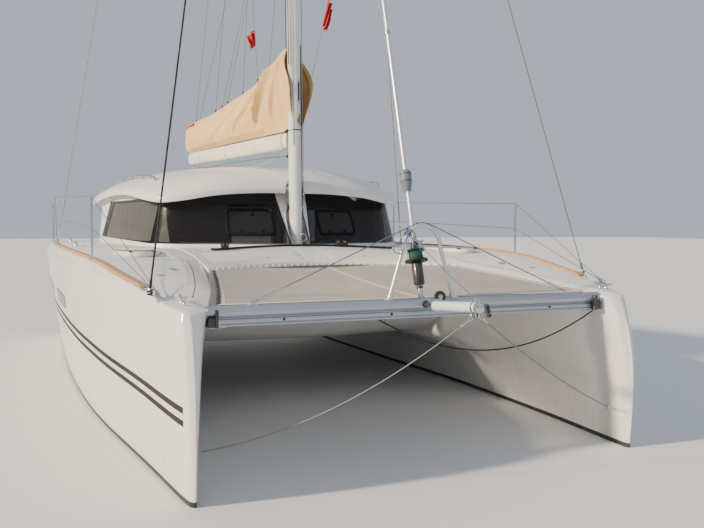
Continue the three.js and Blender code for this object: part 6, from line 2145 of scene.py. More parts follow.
@finish
def boom_paint(name):
    paint = Paint(name, (0.84, 0.80, 0.69), 0.38, coat_weight=0.2)
    streaks = paint.noise(9, 4, 0.6).rise(0.45, 0.8)
    paint.shade(streaks * 0.25, (0.6, 0.56, 0.46))
    return paint.set("Roughness", 0.34 + streaks * 0.2).done()


@finish
def webbing(name):
    paint = Paint(name, (0.70, 0.66, 0.57), 0.85)
    u, v = paint.uv()
    weave = u.wave(0.004) * 0.5 + v.wave(0.003) * 0.5
    # Darker in the hollows of the weave: painted shade between the threads.
    paint.set("Base Color", paint.mix(weave, tuple(0.8 * c for c in paint.color), paint.color))
    return paint.bump(weave, 0.0006).done()


# Silhouette of the stowed sail's cover: distance aft on the boom, half width, height above the boom
BAG_ROWS = np.array([(-0.24, 0.105, 1.0), (0.02, 0.115, 1.075), (0.13, 0.12, 1.095), (0.23, 0.13, 1.10),
                     (0.42, 0.155, 1.005), (0.8, 0.175, 0.85), (1.4, 0.185, 0.74), (2.2, 0.175, 0.65),
                     (3.1, 0.155, 0.55), (3.8, 0.135, 0.52), (4.13, 0.115, 0.505), (4.3, 0.085, 0.49),
                     (4.4, 0.03, 0.45), (4.43, 0.004, 0.42)])
BAG_FOOT = 0.02
COVER_FOOT = 0.136


def bag_surface(u, v):
    """The cover from the boom's starboard side (u 0) over its top (0.5) to port (1), and from its front (v 0)
    aft. The front edge is cut back over the top and runs forward beside the mast; folds hang from the top."""
    over = 1 - np.abs(2 * u - 1)
    side = np.where(u < 0.5, -1.0, 1.0)
    front = 0.05 - 0.28 * smooth(over, 0.0, 0.07) * (1 - smooth(over, 0.55, 0.97))
    y = lerp(front, BAG_ROWS[-1, 0], v ** 1.25)
    rows = np.stack([np.interp(y, BAG_ROWS[:, 0], BAG_ROWS[:, k]) for k in (1, 2)], -1)
    half, height = rows[..., 0], rows[..., 1]
    near = 1 - smooth(y, 0.1, 0.9)
    tail = smooth(y, 4.2, 4.42)
    reach = np.interp(over, [0, 0.1, 0.3, 0.55, 0.8, 0.93, 1.0], [0.4, 0.82, 1.0, 0.86, 0.5, 0.2, 0.0])
    beside = lerp(0.62, 1.22, smooth(over, 0, 0.45)) * np.sqrt(1 - smooth(over, 0.5, 1.0) ** 2)
    wide = half * lerp(reach, beside, near * (1 - 0.25 * smooth(over, 0.8, 1.0)))
    wide = np.where(side > 0, wide * (1 + 0.45 * near * (1 - smooth(y, -0.1, 0.35)) * np.sin(np.pi * over)),
                    wide)
    rise = np.interp(over, [0, 0.1, 0.3, 0.55, 0.8, 0.93, 1.0], [0.0, 0.10, 0.30, 0.55, 0.82, 0.955, 1.0])
    y = y + 0.13 * smooth(y, 3.7, 4.4) * rise
    z = COVER_FOOT - BAG_FOOT + (height + BAG_FOOT) * rise + 0.03 * tail * (1 - rise)
    return y, wide, z, over, side


def bag_folds(y, over, side):
    """How far the cloth stands out: hanging folds that lean aft, a fan from the peak, swags, small creases,
    seams drawn in, and gathers along the foot."""
    fallen = sum(deep
                 * np.exp(-((y - start - (1 - over) * lean) / np.where(y > start + (1 - over) * lean, 0.13,
                                                                       0.03)) ** 2)
                 * smooth(over, 0.12, 0.4) * (1 - smooth(over, 0.72, 0.9))
                 for start, lean,
                 deep in ((0.2, 0.8, 0.12), (0.02, 0.42, 0.05), (0.5, 1.5, 0.05), (1.1, 2.1, 0.03)))
    away = np.hypot(y - 0.2, (1.0 - over) * 0.9)
    turn = np.arctan2(1.0 - over, y - 0.12)
    fan = np.sin(turn * 17 + 0.6 * side) * np.exp(-away * 1.7) * smooth(away, 0.03, 0.35)
    swag = np.sin(y * 9.5 + over * 3.2 + side) * np.sin(y * 4.1 + 1.3) * np.sin(np.pi * over)
    crease = np.sin(y * 31 - over * 17) * np.sin(y * 13 + over * 24) * np.sin(y * 5.3)
    seams = sum(np.exp(-((y - at_y - 0.12 * (1 - over) ** 2) / 0.012) ** 2) for at_y in (1.22, 2.35, 3.55))
    gathered = np.sin(y * 58) * np.exp(-((over - 0.1) / 0.08) ** 2)
    return fallen + 0.018 * fan + 0.013 * swag + 0.0032 * crease - 0.009 * seams + 0.0035 * gathered


class CATAMARAN_OT_sail_cover(bpy.types.Operator):
    """Makes the sail's cover as a wrinkled sheet over the boom, its seams and the lines that hold it up"""

    bl_idname = "catamaran.sail_cover"
    bl_label = "Sail cover"

    def execute(self, context):
        u, v = np.linspace(0, 1, 111)[None], np.linspace(0, 1, 250)[:, None]
        y, wide, z, over, side = bag_surface(u + 0 * v, v + 0 * u)
        cloth = at(side * wide, y, z)
        out = unit(np.cross(np.gradient(cloth, axis=0), np.gradient(cloth, axis=1)))
        out *= np.sign(np.sum(out * at(side, 0 * y, 0.35 * over), -1, keepdims=True) + 1e-9)
        ease = (smooth(over, 0.0, 0.08) * (1 - 0.75 * smooth(y, 4.1, 4.4)))[..., None]
        cloth = cloth + out * bag_folds(y, over, side)[..., None] * ease
        flap = (1 - smooth(y, -0.02, 0.3)) * smooth(over, 0.3, 0.6) * (1 - smooth(over, 0.85, 1.0))
        cloth[..., 0] += np.where(side < 0, -0.012, 0.02) * flap
        inner = cloth - out * 0.003
        ring = np.concatenate([cloth, inner[:, ::-1]], 1)
        bag = Shape("sail_cover").skin(ring, "cover_cloth", matrix=BOOM_UP)
        obj = bag.make("", "canvas", "sail_bag", sharp=60)
        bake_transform(obj)
        self.trim(cloth)
        self.jacks()
        return {"FINISHED"}

    def trim(self, cloth):
        """A doubled hem on the front edge, and the reddish cloth at the tail."""
        hem = Shape("cover_hem")
        edge = cloth[2, 4:-4] + (0, 0.004, 0)
        hem.tube(placed(edge, BOOM_UP), 0.006, "cover_cloth", 8)
        obj = hem.make("", "canvas")
        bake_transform(obj)
        tip = Shape("cover_tip")
        path = placed(cloth[-24:-3:2, 48], BOOM_UP)
        tip.tube(path, np.linspace(0.032, 0.01, len(path)), "red_cloth", 12)
        tip.make("boom_body", "canvas")

    def jacks(self):
        """Thin lines from the cover's top to the mast, each with a small block where it meets the cover."""
        lines = Shape("lazy_jacks")
        for aft, height, mast_z in LAZY_JACKS:
            foot = placed(np.array([-0.01, aft, COVER_FOOT + height]), BOOM_UP)
            head = placed(np.array([0.0, 0.125, mast_z]), RIG)
            lines.tube(between(foot, head, np.linspace(0, 1, 24)), 0.0035, "grey_rope", 6)
            lines.pin((0.013, 0.03, 0.005), foot, unit(head - foot), "black_plastic", 12)
        obj = lines.make("", "canvas")
        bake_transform(obj)


@finish
def cover_cloth(name):
    """Tan acrylic canvas: a plain weave, patches of sun bleaching and of soil."""
    paint = Paint(name, (0.76, 0.49, 0.20), 0.9)
    u, v = paint.uv()
    weave = u.wave(0.0024) * 0.5 + v.wave(0.0024) * 0.5
    bleach = paint.noise(2.3, 3)
    seam = v.every(0.62, 0.012, 0.002)
    tone = paint.mix(bleach.rise(0.3, 0.75) * 0.6, paint.color, (0.80, 0.58, 0.32))
    tone = paint.mix(paint.noise(9, 5, 0.65).rise(0.52, 0.8) * 0.35, tone, (0.42, 0.30, 0.2))
    tone = paint.mix(seam * 0.35, tone, (0.5, 0.33, 0.19))
    paint.set("Base Color", paint.mix(weave * 0.12, tone, (0.5, 0.34, 0.2)))
    return paint.bump(weave * 0.25 + paint.noise(34, 4, 0.6) * 1.6 - seam * 0.8, 0.0012).done()


@finish
def red_cloth(name):
    paint = Paint(name, (0.56, 0.03, 0.035), 0.8)
    u, v = paint.uv()
    weave = u.wave(0.002) * 0.5 + v.wave(0.002) * 0.5
    tone = paint.mix(paint.noise(6, 3).rise(0.4, 0.8) * 0.5, paint.color, (0.36, 0.02, 0.03))
    paint.set("Base Color", tone)
    return paint.bump(weave + paint.noise(30, 3) * 2, 0.0006).done()


# Deck gear: the slack bow line, trampoline, toe rails, lifelines, jib track, cleats, handrails and ladder

BOW_LINE = {"from": (1.88, BEAM_Y - 0.04, BEAM_Z - 0.126), "to": (-0.43, BEAM_Y, BEAM_Z - 0.126), "sag": 0.33,
            "radius": 0.007}
STANCHIONS = ((-2.26, 0.67), (1.70, 0.69))
TOE_RAIL_GAPS = (-2.26, 1.70, CHAINPLATE[1])
LADDER_HINGE = np.array([2.23, 5.024, 0.522])
LADDER_HALF = 0.17


class CATAMARAN_OT_bow_line(bpy.types.Operator):
    """Makes the slack line that hangs below the forward beam as a parabola"""

    bl_idname = "catamaran.bow_line"
    bl_label = "Bow line"

    def execute(self, context):
        share = np.linspace(0, 1, 61)
        path = between(BOW_LINE["from"], BOW_LINE["to"], share)
        path[:, 2] -= 4 * BOW_LINE["sag"] * share * (1 - share)
        line = Shape("bow_line_rope").tube(path, BOW_LINE["radius"], "black_rope", 14)
        obj = line.make("boat", "canvas", "bow_line")
        return {"FINISHED"}


def footing(y, height):
    """A point over the rail's foot on the hull's outer edge."""
    return np.array([float(edge_x(y)[0]) - 0.018, y, deck_level(y) + height])


def trampoline_back(x):
    return -2.085 - 0.64 * (x / 1.46) ** 2


def trampoline_point(u, v, drop=0.0):
    """The net from its starboard side (u 0) to port, front to back, with a sag like two half waves."""
    x = (2 * u - 1) * lerp(1.842, 1.455, v)
    sag = 0.022 * np.sin(np.pi * v) * np.sin(np.pi * u)
    return at(x, lerp(-4.56, trampoline_back(x), v), lerp(1.5, 1.668, v) - sag - drop)


class CATAMARAN_OT_trampoline(bpy.types.Operator):
    """Makes the net between the hulls, its webbing, and the lacing to the foredeck and hulls"""

    bl_idname = "catamaran.trampoline"
    bl_label = "Trampoline"

    def execute(self, context):
        u, v = np.meshgrid(np.linspace(0, 1, 61), np.linspace(0, 1, 45))
        top, bottom = trampoline_point(u, v), trampoline_point(u, v, 0.004)[:, ::-1]
        flat = measured(top)
        net = Shape("trampoline_net").skin(np.concatenate([top, bottom], 1), "netting",
                                           uv=np.concatenate([flat, flat[:, ::-1]], 1))
        obj = net.make("boat", "netting", "trampoline", sharp=60)
        rim = self.webbing()
        self.lacing()
        return {"FINISHED"}

    def webbing(self):
        shape = Shape("trampoline_webbing")
        t = np.linspace(0, 1, 41)
        zero, one = 0 * t, 0 * t + 1
        for edge_u, edge_v, in_u, in_v in ((t, zero, t, zero + 0.03), (t, one - 0.028, t, one),
                                           (zero, t, zero + 0.015, t), (one - 0.015, t, one, t),
                                           (zero + 0.5, t, zero + 0.512, t)):
            a, b = trampoline_point(edge_u, edge_v, -0.002), trampoline_point(in_u, in_v, -0.002)
            c, d = trampoline_point(in_u, in_v, 0.006), trampoline_point(edge_u, edge_v, 0.006)
            shape.skin(np.stack([a, b, c, d], 1), "webbing")
        return shape.make("boat", "netting")

    def lacing(self):
        """A zigzag cord at each side, and a row of studs behind, each with a cord over it."""
        shape = Shape("trampoline_lacing")
        for sign in (1, -1):
            turns = np.linspace(0.02, 0.98, 37)
            inner = trampoline_point(0.5 + sign * 0.497 + 0 * turns, turns)
            outer = inner + at(sign * 0.032 + 0 * turns, 0 * turns, 0.004 + 0 * turns)
            inner[:, 0] -= sign * 0.012
            path = np.where(np.arange(len(turns))[:, None] % 2, inner, outer)
            shape.tube(path + (0, 0, 0.004), 0.0042, "black_rope" if sign < 0 else "white_rope", 6)
        u = np.linspace(0.02, 0.98, 34)
        for x, y, z in trampoline_point(u, 1 + 0 * u):
            shape.pin((0.014, 0.022, 0.005), (x, y + 0.018, z + 0.001), UP, "mast_paint", 14)
            shape.block((x - 0.007, y - 0.03, z + 0.003), (x + 0.007, y + 0.02, z + 0.011), "white_rope",
                        0.003)
        return shape.make("boat", "canvas")


@finish
def netting(name):
    """A square net: open cells between cords, by the UV."""
    paint = Paint(name, (0.60, 0.56, 0.50), 0.8)
    u, v = paint.uv()
    cords = u.every(0.014, 0.005, 0.0008).most(v.every(0.014, 0.005, 0.0008))
    paint.shade(paint.noise(3, 4).rise(0.4, 0.8) * 0.5, (0.44, 0.44, 0.41))
    paint.set("Alpha", cords)
    return paint.bump(cords, 0.001).done()


@finish
def teak(name):
    """Bare oiled teak along the rail: long grain, darker pores and weathered patches."""
    paint = Paint(name, (0.42, 0.22, 0.095), 0.6)
    grain = paint.noise(14, 5, 0.65, paint.stretched(7, 0.35, 7))
    pores = paint.noise(60, 3, 0.6, paint.stretched(6, 0.22, 6)).rise(0.55, 0.75)
    tone = paint.mix(grain.rise(0.3, 0.7), paint.color, (0.58, 0.36, 0.18))
    tone = paint.mix(pores * 0.55, tone, (0.2, 0.1, 0.045))
    tone = paint.mix(paint.noise(2.2, 3).rise(0.5, 0.8) * 0.4, tone, (0.5, 0.42, 0.33))
    paint.set("Base Color", tone)
    return paint.bump(grain - pores * 0.6, 0.0008).done()


class CATAMARAN_OT_rails(bpy.types.Operator):
    """Makes the teak toe rails, and the stanchions, lifelines and stern rails"""

    bl_idname = "catamaran.rails"
    bl_label = "Rails"

    def execute(self, context):
        for side, sign in SIDES:
            self.toe_rail(side, sign)
            self.guard_rail(side, sign)
        return {"FINISHED"}

    def toe_rail(self, side, sign):
        """A rounded section along the deck's edge, narrowed on its outer face beside each fitting."""
        y = np.unique(np.concatenate([np.linspace(-3.91, 3.45, 120)]
                                     + [g + np.array([-0.078, -0.074, 0.074, 0.078])
                                                                       for g in TOE_RAIL_GAPS]))
        h = hull_numbers(y)
        near = np.min(np.abs(y[:, None] - np.array(TOE_RAIL_GAPS)), 1)
        outer = np.where(near < 0.076, 0.044, 0.006)
        width = 0.066 - outer
        ends = 0.6 + 0.4 * np.sqrt(np.clip(np.minimum(y + 3.91, 3.45 - y) / 0.05, 0, 1))
        section = rounded([(-1, 0), (0, 0), (0, 1), (-1, 1)], 0.16, 4)
        ring = section[None] * at(width, 0, 0)[:, None, :1]
        x = edge_x(y)[:, None] - outer[:, None] + ring[..., 0]
        z = h["sheer_z"][:, None] - 0.006 + section[None, :, 1] * 0.04 * ends[:, None]
        rail = Shape(f"toe_rail_teak_{side}", sign < 0)
        rail.skin(at(x, y[:, None] + 0 * x, z), "teak")
        rail.make("boat", "teak", f"toe_rail_{side}")

    def guard_rail(self, side, sign):
        rail = Shape(f"guard_rail_skin_{side}", sign < 0)
        bow = np.array([float(edge_x(-4.33)[0]) - 0.03, -4.33, deck_level(-4.33) + 0.02])
        rail.block(bow - (0.022, 0.04, 0.06), bow + (0.022, 0.04, -0.004), "stainless", 0.008)
        rail.tube(bow + np.array([(0, -0.03, -0.006), (0, -0.028, 0.012), (0, 0, 0.018), (0, 0.028, 0.012),
                                  (0, 0.03, -0.006)]), 0.006, "stainless", 10)
        for share in (1, 0.52):
            knots = [bow] + [footing(y, high * share - 0.01) for y, high in STANCHIONS]
            knots.append(footing(3.56, 0.6 * share - 0.01))
            for a, b in zip(knots[:-1], knots[1:]):
                rail.tube(between(a, b, np.linspace(0, 1, 12)), 0.0036, "wire_rope", 8)
            turnbuckle(rail, knots[0] + unit(knots[1] - knots[0]) * 0.03, knots[1], 0.14, 0.0065, 0.02)
        for y, high in STANCHIONS:
            rail.turned([(0, -0.06), (0.013, -0.06), (0.013, high - 0.022), (0.0115, high - 0.006),
                         (0.006, high), (0, high)], footing(y, 0), UP, "stainless", 24)
            rail.turned([(0, -0.04), (0.024, -0.04), (0.024, 0.018), (0.0195, 0.024), (0, 0.024)],
                        footing(y, 0), UP, "stainless", 24)
            for share in (1, 0.52):
                ring = footing(y, high * share - 0.01)
                rail.pin((0.0065, 0.036, 0.002, -0.018), ring, AFT, "stainless", 12)
        self.gate(rail)
        rail.make("boat", "steel", f"guard_rail_{side}")

    def gate(self, rail):
        foot, shoulder = footing(3.56, -0.06), footing(3.56, 0.56)
        over, back = footing(3.64, 0.62), footing(3.90, 0.62)
        turn, end = back + (0, 0.07, -0.06), back + (0, 0.075, -0.70)
        path = np.vstack([[foot], bend(foot, shoulder, over), bend(shoulder, over, back),
                          bend(over, back, turn),
                          bend(back, turn, end), [end]])
        rail.tube(path, 0.0135, "stainless", 18, up=ACROSS)
        bar = footing(3.56, 0.3)
        rail.tube(between(bar, np.array([back[0], back[1] + 0.072, bar[2]]), np.linspace(0, 1, 6)), 0.011,
                  "stainless", 14)


JIB_TRACK_END = 1.17


def jib_track_y(x):
    return -1.39 - 0.17 * (x / JIB_TRACK_END) ** 2


class CATAMARAN_OT_jib_track(bpy.types.Operator):
    """Makes the curved track across the foredeck with its car and end stops"""

    bl_idname = "catamaran.jib_track"
    bl_label = "Jib track"

    def execute(self, context):
        x = np.linspace(-JIB_TRACK_END, JIB_TRACK_END, 81)
        spine = at(x, jib_track_y(x), foredeck_z(x, jib_track_y(x)) + 0.004)
        rail = [(-0.016, 0), (0.016, 0), (0.016, 0.007), (0.007, 0.011), (0.007, 0.018), (0.014, 0.021),
                (0.013, 0.026), (-0.013, 0.026), (-0.014, 0.021), (-0.007, 0.018), (-0.007, 0.011),
                (-0.016, 0.007)]
        track = Shape("jib_track_skin")
        track.skin(np.stack([spine + (0, *p) for p in rail], 1), "black_plastic")
        for side in (1, -1):
            end = spine[-1 if side > 0 else 0]
            track.block(end + (-0.05, -0.02, 0.002), end + (0.012, 0.02, 0.03), "black_plastic", 0.008)
        for dots in spine[6:-6:6]:
            track.pin((0.006, 0.004, 0.001, 0.024), dots, UP, "stainless", 10)
        track.make("boat", "black_plastic", "jib_track")
        self.car()
        return {"FINISHED"}

    def car(self):
        """Two cars on the track, each with two sheaves."""
        car = Shape("jib_car")
        for x, half in ((0.52, 0.085), (-1.04, 0.045)):
            y = jib_track_y(x)
            middle = np.array([x, y, float(foredeck_z(x, y)) + 0.032])
            car.block(middle - (half, 0.034, 0.008), middle + (half, 0.034, 0.026), "black_plastic", 0.01)
            for wheel in (-half * 0.55, half * 0.55):
                spot = middle + (wheel, 0, 0.034)
                car.pin((0.026, 0.036, 0.006, -0.018), spot, AFT, "dark_seal", 28)
                car.pin((0.009, 0.042, 0.002, -0.021), spot, AFT, "stainless", 16)
        car.make("boat", "black_plastic")


class CATAMARAN_OT_deck_fittings(bpy.types.Operator):
    """Makes the bow cleats, fairleads, handrails on the roof, winches and filler caps"""

    bl_idname = "catamaran.deck_fittings"
    bl_label = "Deck fittings"

    def execute(self, context):
        for side, sign in SIDES:
            gear = Shape(f"deck_fittings_{side}", sign < 0)
            for x, y in ((2.12, -4.52), (2.62, 0.35), (2.52, 3.2)):
                self.cleat(gear, np.array([x, y, deck_level(y) - 0.012]))
            for x, y in ((2.29, -4.28), (2.36, -3.96)):
                spot = np.array([x, y, deck_level(y) - 0.012])
                gear.pin((0.02, 0.026, 0.006), spot, UP, "stainless", 20)
            for x, y in ((2.1, -3.35), (1.93, -3.0), (2.35, 0.9)):
                spot = np.array([x, y, deck_level(y) - 0.012])
                gear.turned([(0, 0), (0.042, 0), (0.04, 0.014), (0.03, 0.019), (0, 0.02)], spot, UP,
                            "stainless", 28)
            self.winch(gear, np.array([2.0, 2.6, deck_level(2.6) - 0.005]))
            gear.make("boat", "steel")
            self.handrail(side, sign)
        return {"FINISHED"}

    def cleat(self, gear, foot):
        for y in (-0.045, 0.045):
            gear.turned([(0, 0), (0.019, 0), (0.013, 0.012), (0.011, 0.04), (0, 0.044)], foot + (0, y, 0), UP,
                        "stainless", 18)
        horn = np.array([(0, -0.125, 0.058), (0, -0.09, 0.047), (0, -0.04, 0.042), (0, 0.04, 0.042),
                         (0, 0.09, 0.047), (0, 0.125, 0.058)])
        gear.tube(foot + through(horn, np.linspace(0, 1, 24)), 0.0105, "stainless", 14)

    def winch(self, gear, foot):
        profile = [(0, -0.02), (0.062, -0.02), (0.062, 0.018), (0.05, 0.03), (0.041, 0.05), (0.04, 0.075),
                   (0.047, 0.094), (0.052, 0.102), (0.05, 0.114), (0.03, 0.121), (0.02, 0.118), (0, 0.116)]
        gear.turned(profile, foot, UP, "stainless", 36)

    def handrail(self, side, sign):
        """A low tube on feet that follows the roof's side."""
        rail = Shape(f"handrail_{side}", sign < 0)
        k = np.linspace(0.60, 0.97, 50)
        path = roof_point(k, 0.13, -0.045)
        path[0], path[-1] = roof_point(0.595, 0.13, 0.005), roof_point(0.975, 0.13, 0.005)
        rail.tube(path, 0.0125, "stainless", 14)
        for share in (0.70, 0.79, 0.88):
            foot, head = roof_point(share, 0.13, 0.005), roof_point(share, 0.13, -0.045)
            rail.tube(between(foot, head, np.linspace(0, 1, 4)), 0.011, "stainless", 12)
            rail.pin((0.024, 0.01, 0.003), foot + (0, 0, 0.003), UP, "stainless", 20)
        rail.make("boat", "steel")


class CATAMARAN_OT_ladder(bpy.types.Operator):
    """Makes the swimming ladder, with treads on its rungs, and the bracket that it turns in"""

    bl_idname = "catamaran.ladder"
    bl_label = "Swimming ladder"

    def execute(self, context):
        lean = pose(LADDER_HINGE, math.radians(6))
        ladder = Shape("ladder_skin")
        for x in (-LADDER_HALF, LADDER_HALF):
            ladder.pin((0.014, 0.62, 0.004), (x, 0, 0), UP, "stainless", 20, lean)
        for z in (0, 0.2, 0.4, 0.6):
            radius = 0.012 if z else 0.0136
            ladder.pin((radius, 2 * LADDER_HALF, 0.001), (-LADDER_HALF, 0, z), ACROSS, "stainless", 20, lean)
            if z:
                ladder.block((-0.14, -0.02, z - 0.013), (0.14, 0.03, z + 0.013), "grey_plastic", 0.006, lean)
        ladder.make("ladder_body", "steel", "swim_ladder")
        bracket = Shape("ladder_bracket_skin")
        x, y, z = LADDER_HINGE
        bracket.block((x - 0.12, 4.91, 0.4806), (x + 0.12, 4.99, 0.490), "stainless", 0.003)
        side = [(4.92, 0.482), (y + 0.024, 0.482), (y + 0.024, z + 0.012), (y + 0.012, z + 0.024),
                (4.96, z + 0.024),
                (4.92, z - 0.01)]
        bore = Shape("ladder_bore").turned([(0, 0), (0.0158, 0), (0.0158, 0.4), (0, 0.4)], (x - 0.2, y, z),
                                           ACROSS, "stainless", 32)
        for sign in (1, -1):
            bracket.skin(prism(np.array(side), x + sign * 0.1 - 0.008, x + sign * 0.1 + 0.008, 0.002),
                         "stainless",
                         matrix=SIDEWAYS)
        bracket.make("boat", "steel", "ladder_bracket", cut=[bore])
        return {"FINISHED"}


# Saloon and cockpit: bulkhead trim, sliding door, furniture, cushions, helm

BULKHEAD = (1.758, 1.798)
DOORWAY = {"x": (-0.13, 0.60), "z": (1.03, 2.42)}
AFT_WINDOW = {"x": (0.78, 1.35), "z": (1.85, 2.38)}
# Where furniture stands: a hair above the floor
SOLE = SOLE_Z + 0.0005


def frame_strips(shape, x, z, y, width, finish, edge=0.004):
    """Four bars round a rectangle in the plane across the boat: x and z are its outer sides, y the depth."""
    for low, high in (((x[0], z[0]), (x[1], z[0] + width)), ((x[0], z[1] - width), (x[1], z[1])),
                      ((x[0], z[0] + width), (x[0] + width, z[1] - width)),
                      ((x[1] - width, z[0] + width), (x[1], z[1] - width))):
        shape.block((low[0], y[0], low[1]), (high[0], y[1], high[1]), finish, edge)
    return shape


def swollen(size, swell):
    """A cushion's mesh round the origin: a block a little smaller than the size, blown up as cloth. The
    recipe is a voxel remesh, Cloth with pressure and no gravity, a cap on each point's way, a subdivision."""
    half = np.array(size) / 2
    start = Shape("cushion_start").skin(block(-half * (0.985, 0.985, 0.9), half * (0.985, 0.985, 0.9),
                                              min(size) * 0.32, 4), "cushion_cloth")
    obj = bpy.data.objects.new("cushion_start", start.mesh())
    scene = bpy.context.scene
    scene.collection.objects.link(obj)
    remesh = obj.modifiers.new("voxels", "REMESH")
    remesh.mode = "VOXEL"
    remesh.voxel_size = 0.0175
    applied(obj)
    before = vertices(obj.data)
    cloth = obj.modifiers.new("cloth", "CLOTH")
    cloth.settings.use_pressure = True
    cloth.settings.uniform_pressure_force = 4
    cloth.settings.effector_weights.gravity = 0
    for step in range(1, 21):
        scene.frame_set(step)
    applied(obj)
    scene.frame_set(1)
    moved = vertices(obj.data) - before
    reach = np.linalg.norm(moved, axis=1, keepdims=True)
    after = before + moved * np.minimum(1, swell / np.maximum(reach, 1e-9))
    flat = after[:, 2] < -half[2] + 0.012
    after[flat, 2] = -half[2]
    after = np.clip(after, -half, half + (0, 0, swell))
    obj.data.vertices.foreach_set("co", after.astype(np.float32).ravel())
    finer = obj.modifiers.new("finer", "SUBSURF")
    finer.levels = finer.render_levels = 1
    applied(obj)
    result = obj.data
    bpy.data.objects.remove(obj)
    return result


def vertices(mesh):
    points = np.empty(len(mesh.vertices) * 3, np.float32)
    mesh.vertices.foreach_get("co", points)
    return points.reshape(-1, 3).astype(float)


def applied(obj):
    """Puts an object's modifiers into its mesh."""
    bpy.context.view_layer.update()
    result = bpy.data.meshes.new_from_object(obj.evaluated_get(bpy.context.evaluated_depsgraph_get()))
    obj.modifiers.clear()
    obj.data = result


class Cushions:
    """Makes pads of given boxes. Pads of one size share one simulation."""

    def __init__(self, finish, fill=0.75, swell=0.012):
        self.finish, self.fill, self.swell = finish, fill, swell
        self.made = {}

    def pad(self, name, low, high, up="z"):
        """up names the side that crowns: z for a seat, -x or -y for a back."""
        gap = 0.004 * np.array([up[-1] != axis for axis in "xyz"])
        low, high = np.array(low, float) + gap, np.array(high, float) - gap
        turn = {"z": np.eye(3), "-x": np.array([[0, 0, -1], [0, 1, 0], [1, 0, 0]], float),
                "-y": np.array([[1, 0, 0], [0, 0, -1], [0, 1, 0]], float)}[up]
        size = tuple(np.round(np.abs((high - low) @ turn), 4))
        if size not in self.made:
            self.made[size] = swollen(size, self.swell)
        mesh = self.made[size].copy()
        mesh.materials.clear()
        mesh.materials.append(finished(self.finish))
        points = vertices(mesh) @ turn.T + (low + high) / 2
        mesh.vertices.foreach_set("co", points.astype(np.float32).ravel())
        if np.linalg.det(turn) < 0:
            mesh.flip_normals()
        obj = bpy.data.objects.new(name, mesh)
        bpy.context.scene.collection.objects.link(obj)
        smoothed(obj, 60)
        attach(obj, "boat")
        return self.piping(obj, low, high, up)

    def piping(self, obj, low, high, up):
        """A corded seam that lies on the pad, round the edge of the side that crowns."""
        a, b, c, sign = {"z": (0, 1, 2, 1), "-x": (1, 2, 0, -1), "-y": (0, 2, 1, -1)}[up]
        outline = rounded([(low[a], low[b]), (high[a], low[b]), (high[a], high[b]), (low[a], high[b])], 0.03,
                          5)
        outline = spaced(outline, 90, closed=True)
        rim = np.zeros((len(outline), 3))
        rim[:, a], rim[:, b] = outline.T
        rim[:, c] = (high[c] if sign > 0 else low[c]) - sign * 0.012
        bpy.context.view_layer.update()
        path = np.array([obj.closest_point_on_mesh(point.tolist())[1] for point in rim])
        Shape(f"{obj.name}_piping").tube(path, 0.004, "piping", 8, closed=True).make("boat", "cushion")
        return obj


@finish
def cushion_cloth(name):
    """Woven grey-blue upholstery on Object coordinates."""
    paint = Paint(name, (0.16, 0.22, 0.30), 0.9)
    x, y, z = paint.axes()
    weave = (x + z).wave(0.003) * (y + z).wave(0.003)
    # Lighter on the raised threads and darker in the hollows: painted light and shade of the weave.
    tone = paint.mix(weave * 0.5, paint.color, (0.28, 0.34, 0.42))
    paint.set("Base Color", paint.mix(paint.noise(5, 4).rise(0.45, 0.8) * 0.3, tone, (0.10, 0.14, 0.20)))
    return paint.bump(weave * 0.5 + paint.noise(40, 3), 0.0006).done()


@finish
def cockpit_vinyl(name):
    """Cream vinyl with a fine grain and patches of soft dirt."""
    paint = Paint(name, (0.74, 0.70, 0.61), 0.5)
    soil = paint.noise(7, 4, 0.6).rise(0.5, 0.8)
    paint.shade(soil * 0.3, (0.50, 0.46, 0.39))
    paint.set("Roughness", 0.42 + soil * 0.25)
    return paint.bump(paint.cells(420) * 0.3 + paint.noise(30, 3), 0.0006).done()


@finish
def piping(name):
    paint = Paint(name, (0.60, 0.58, 0.53), 0.6)
    return paint.bump(paint.noise(160, 3), 0.0005).done()


@finish
def joinery(name):
    """Varnished teak veneer, grain along the boat."""
    paint = Paint(name, (0.34, 0.18, 0.08), 0.3, coat_weight=0.4, coat_roughness=0.15)
    grain = paint.noise(18, 6, 0.6, paint.stretched(1.6, 0.12, 1.6))
    tone = paint.mix(grain.rise(0.3, 0.72), tuple(c * 0.55 for c in paint.color), paint.color)
    paint.set("Base Color", paint.mix(paint.noise(3, 3).rise(0.5, 0.8) * 0.35, tone, (0.44, 0.26, 0.13)))
    return paint.bump(grain, 0.0003).done()


@finish
def worktop(name):
    paint = Paint(name, (0.62, 0.61, 0.57), 0.28, coat_weight=0.3)
    specks = paint.cells(260).rise(0.55, 0.8)
    paint.shade(specks * 0.5, (0.32, 0.31, 0.29))
    return paint.bump(paint.noise(90, 2), 0.0002).done()


@finish
def wrapped_leather(name):
    paint = Paint(name, (0.05, 0.045, 0.04), 0.55)
    _, v = paint.uv()
    stitches = v.every(0.008, 0.003)
    wear = paint.noise(11, 4).rise(0.5, 0.8)
    paint.shade(wear * 0.4, (0.13, 0.11, 0.09))
    return paint.bump(paint.cells(500) * 0.5 - stitches * 0.8, 0.0006).done()


@finish
def dial_face(name):
    """A plain dark dial behind a clear coat."""
    paint = Paint(name, (0.02, 0.022, 0.025), 0.15, coat_weight=0.6)
    cloud = paint.noise(40, 2)
    paint.shade(cloud * 0.2, (0.05, 0.055, 0.06))
    return paint.bump(paint.noise(60, 2), 0.0001).done()


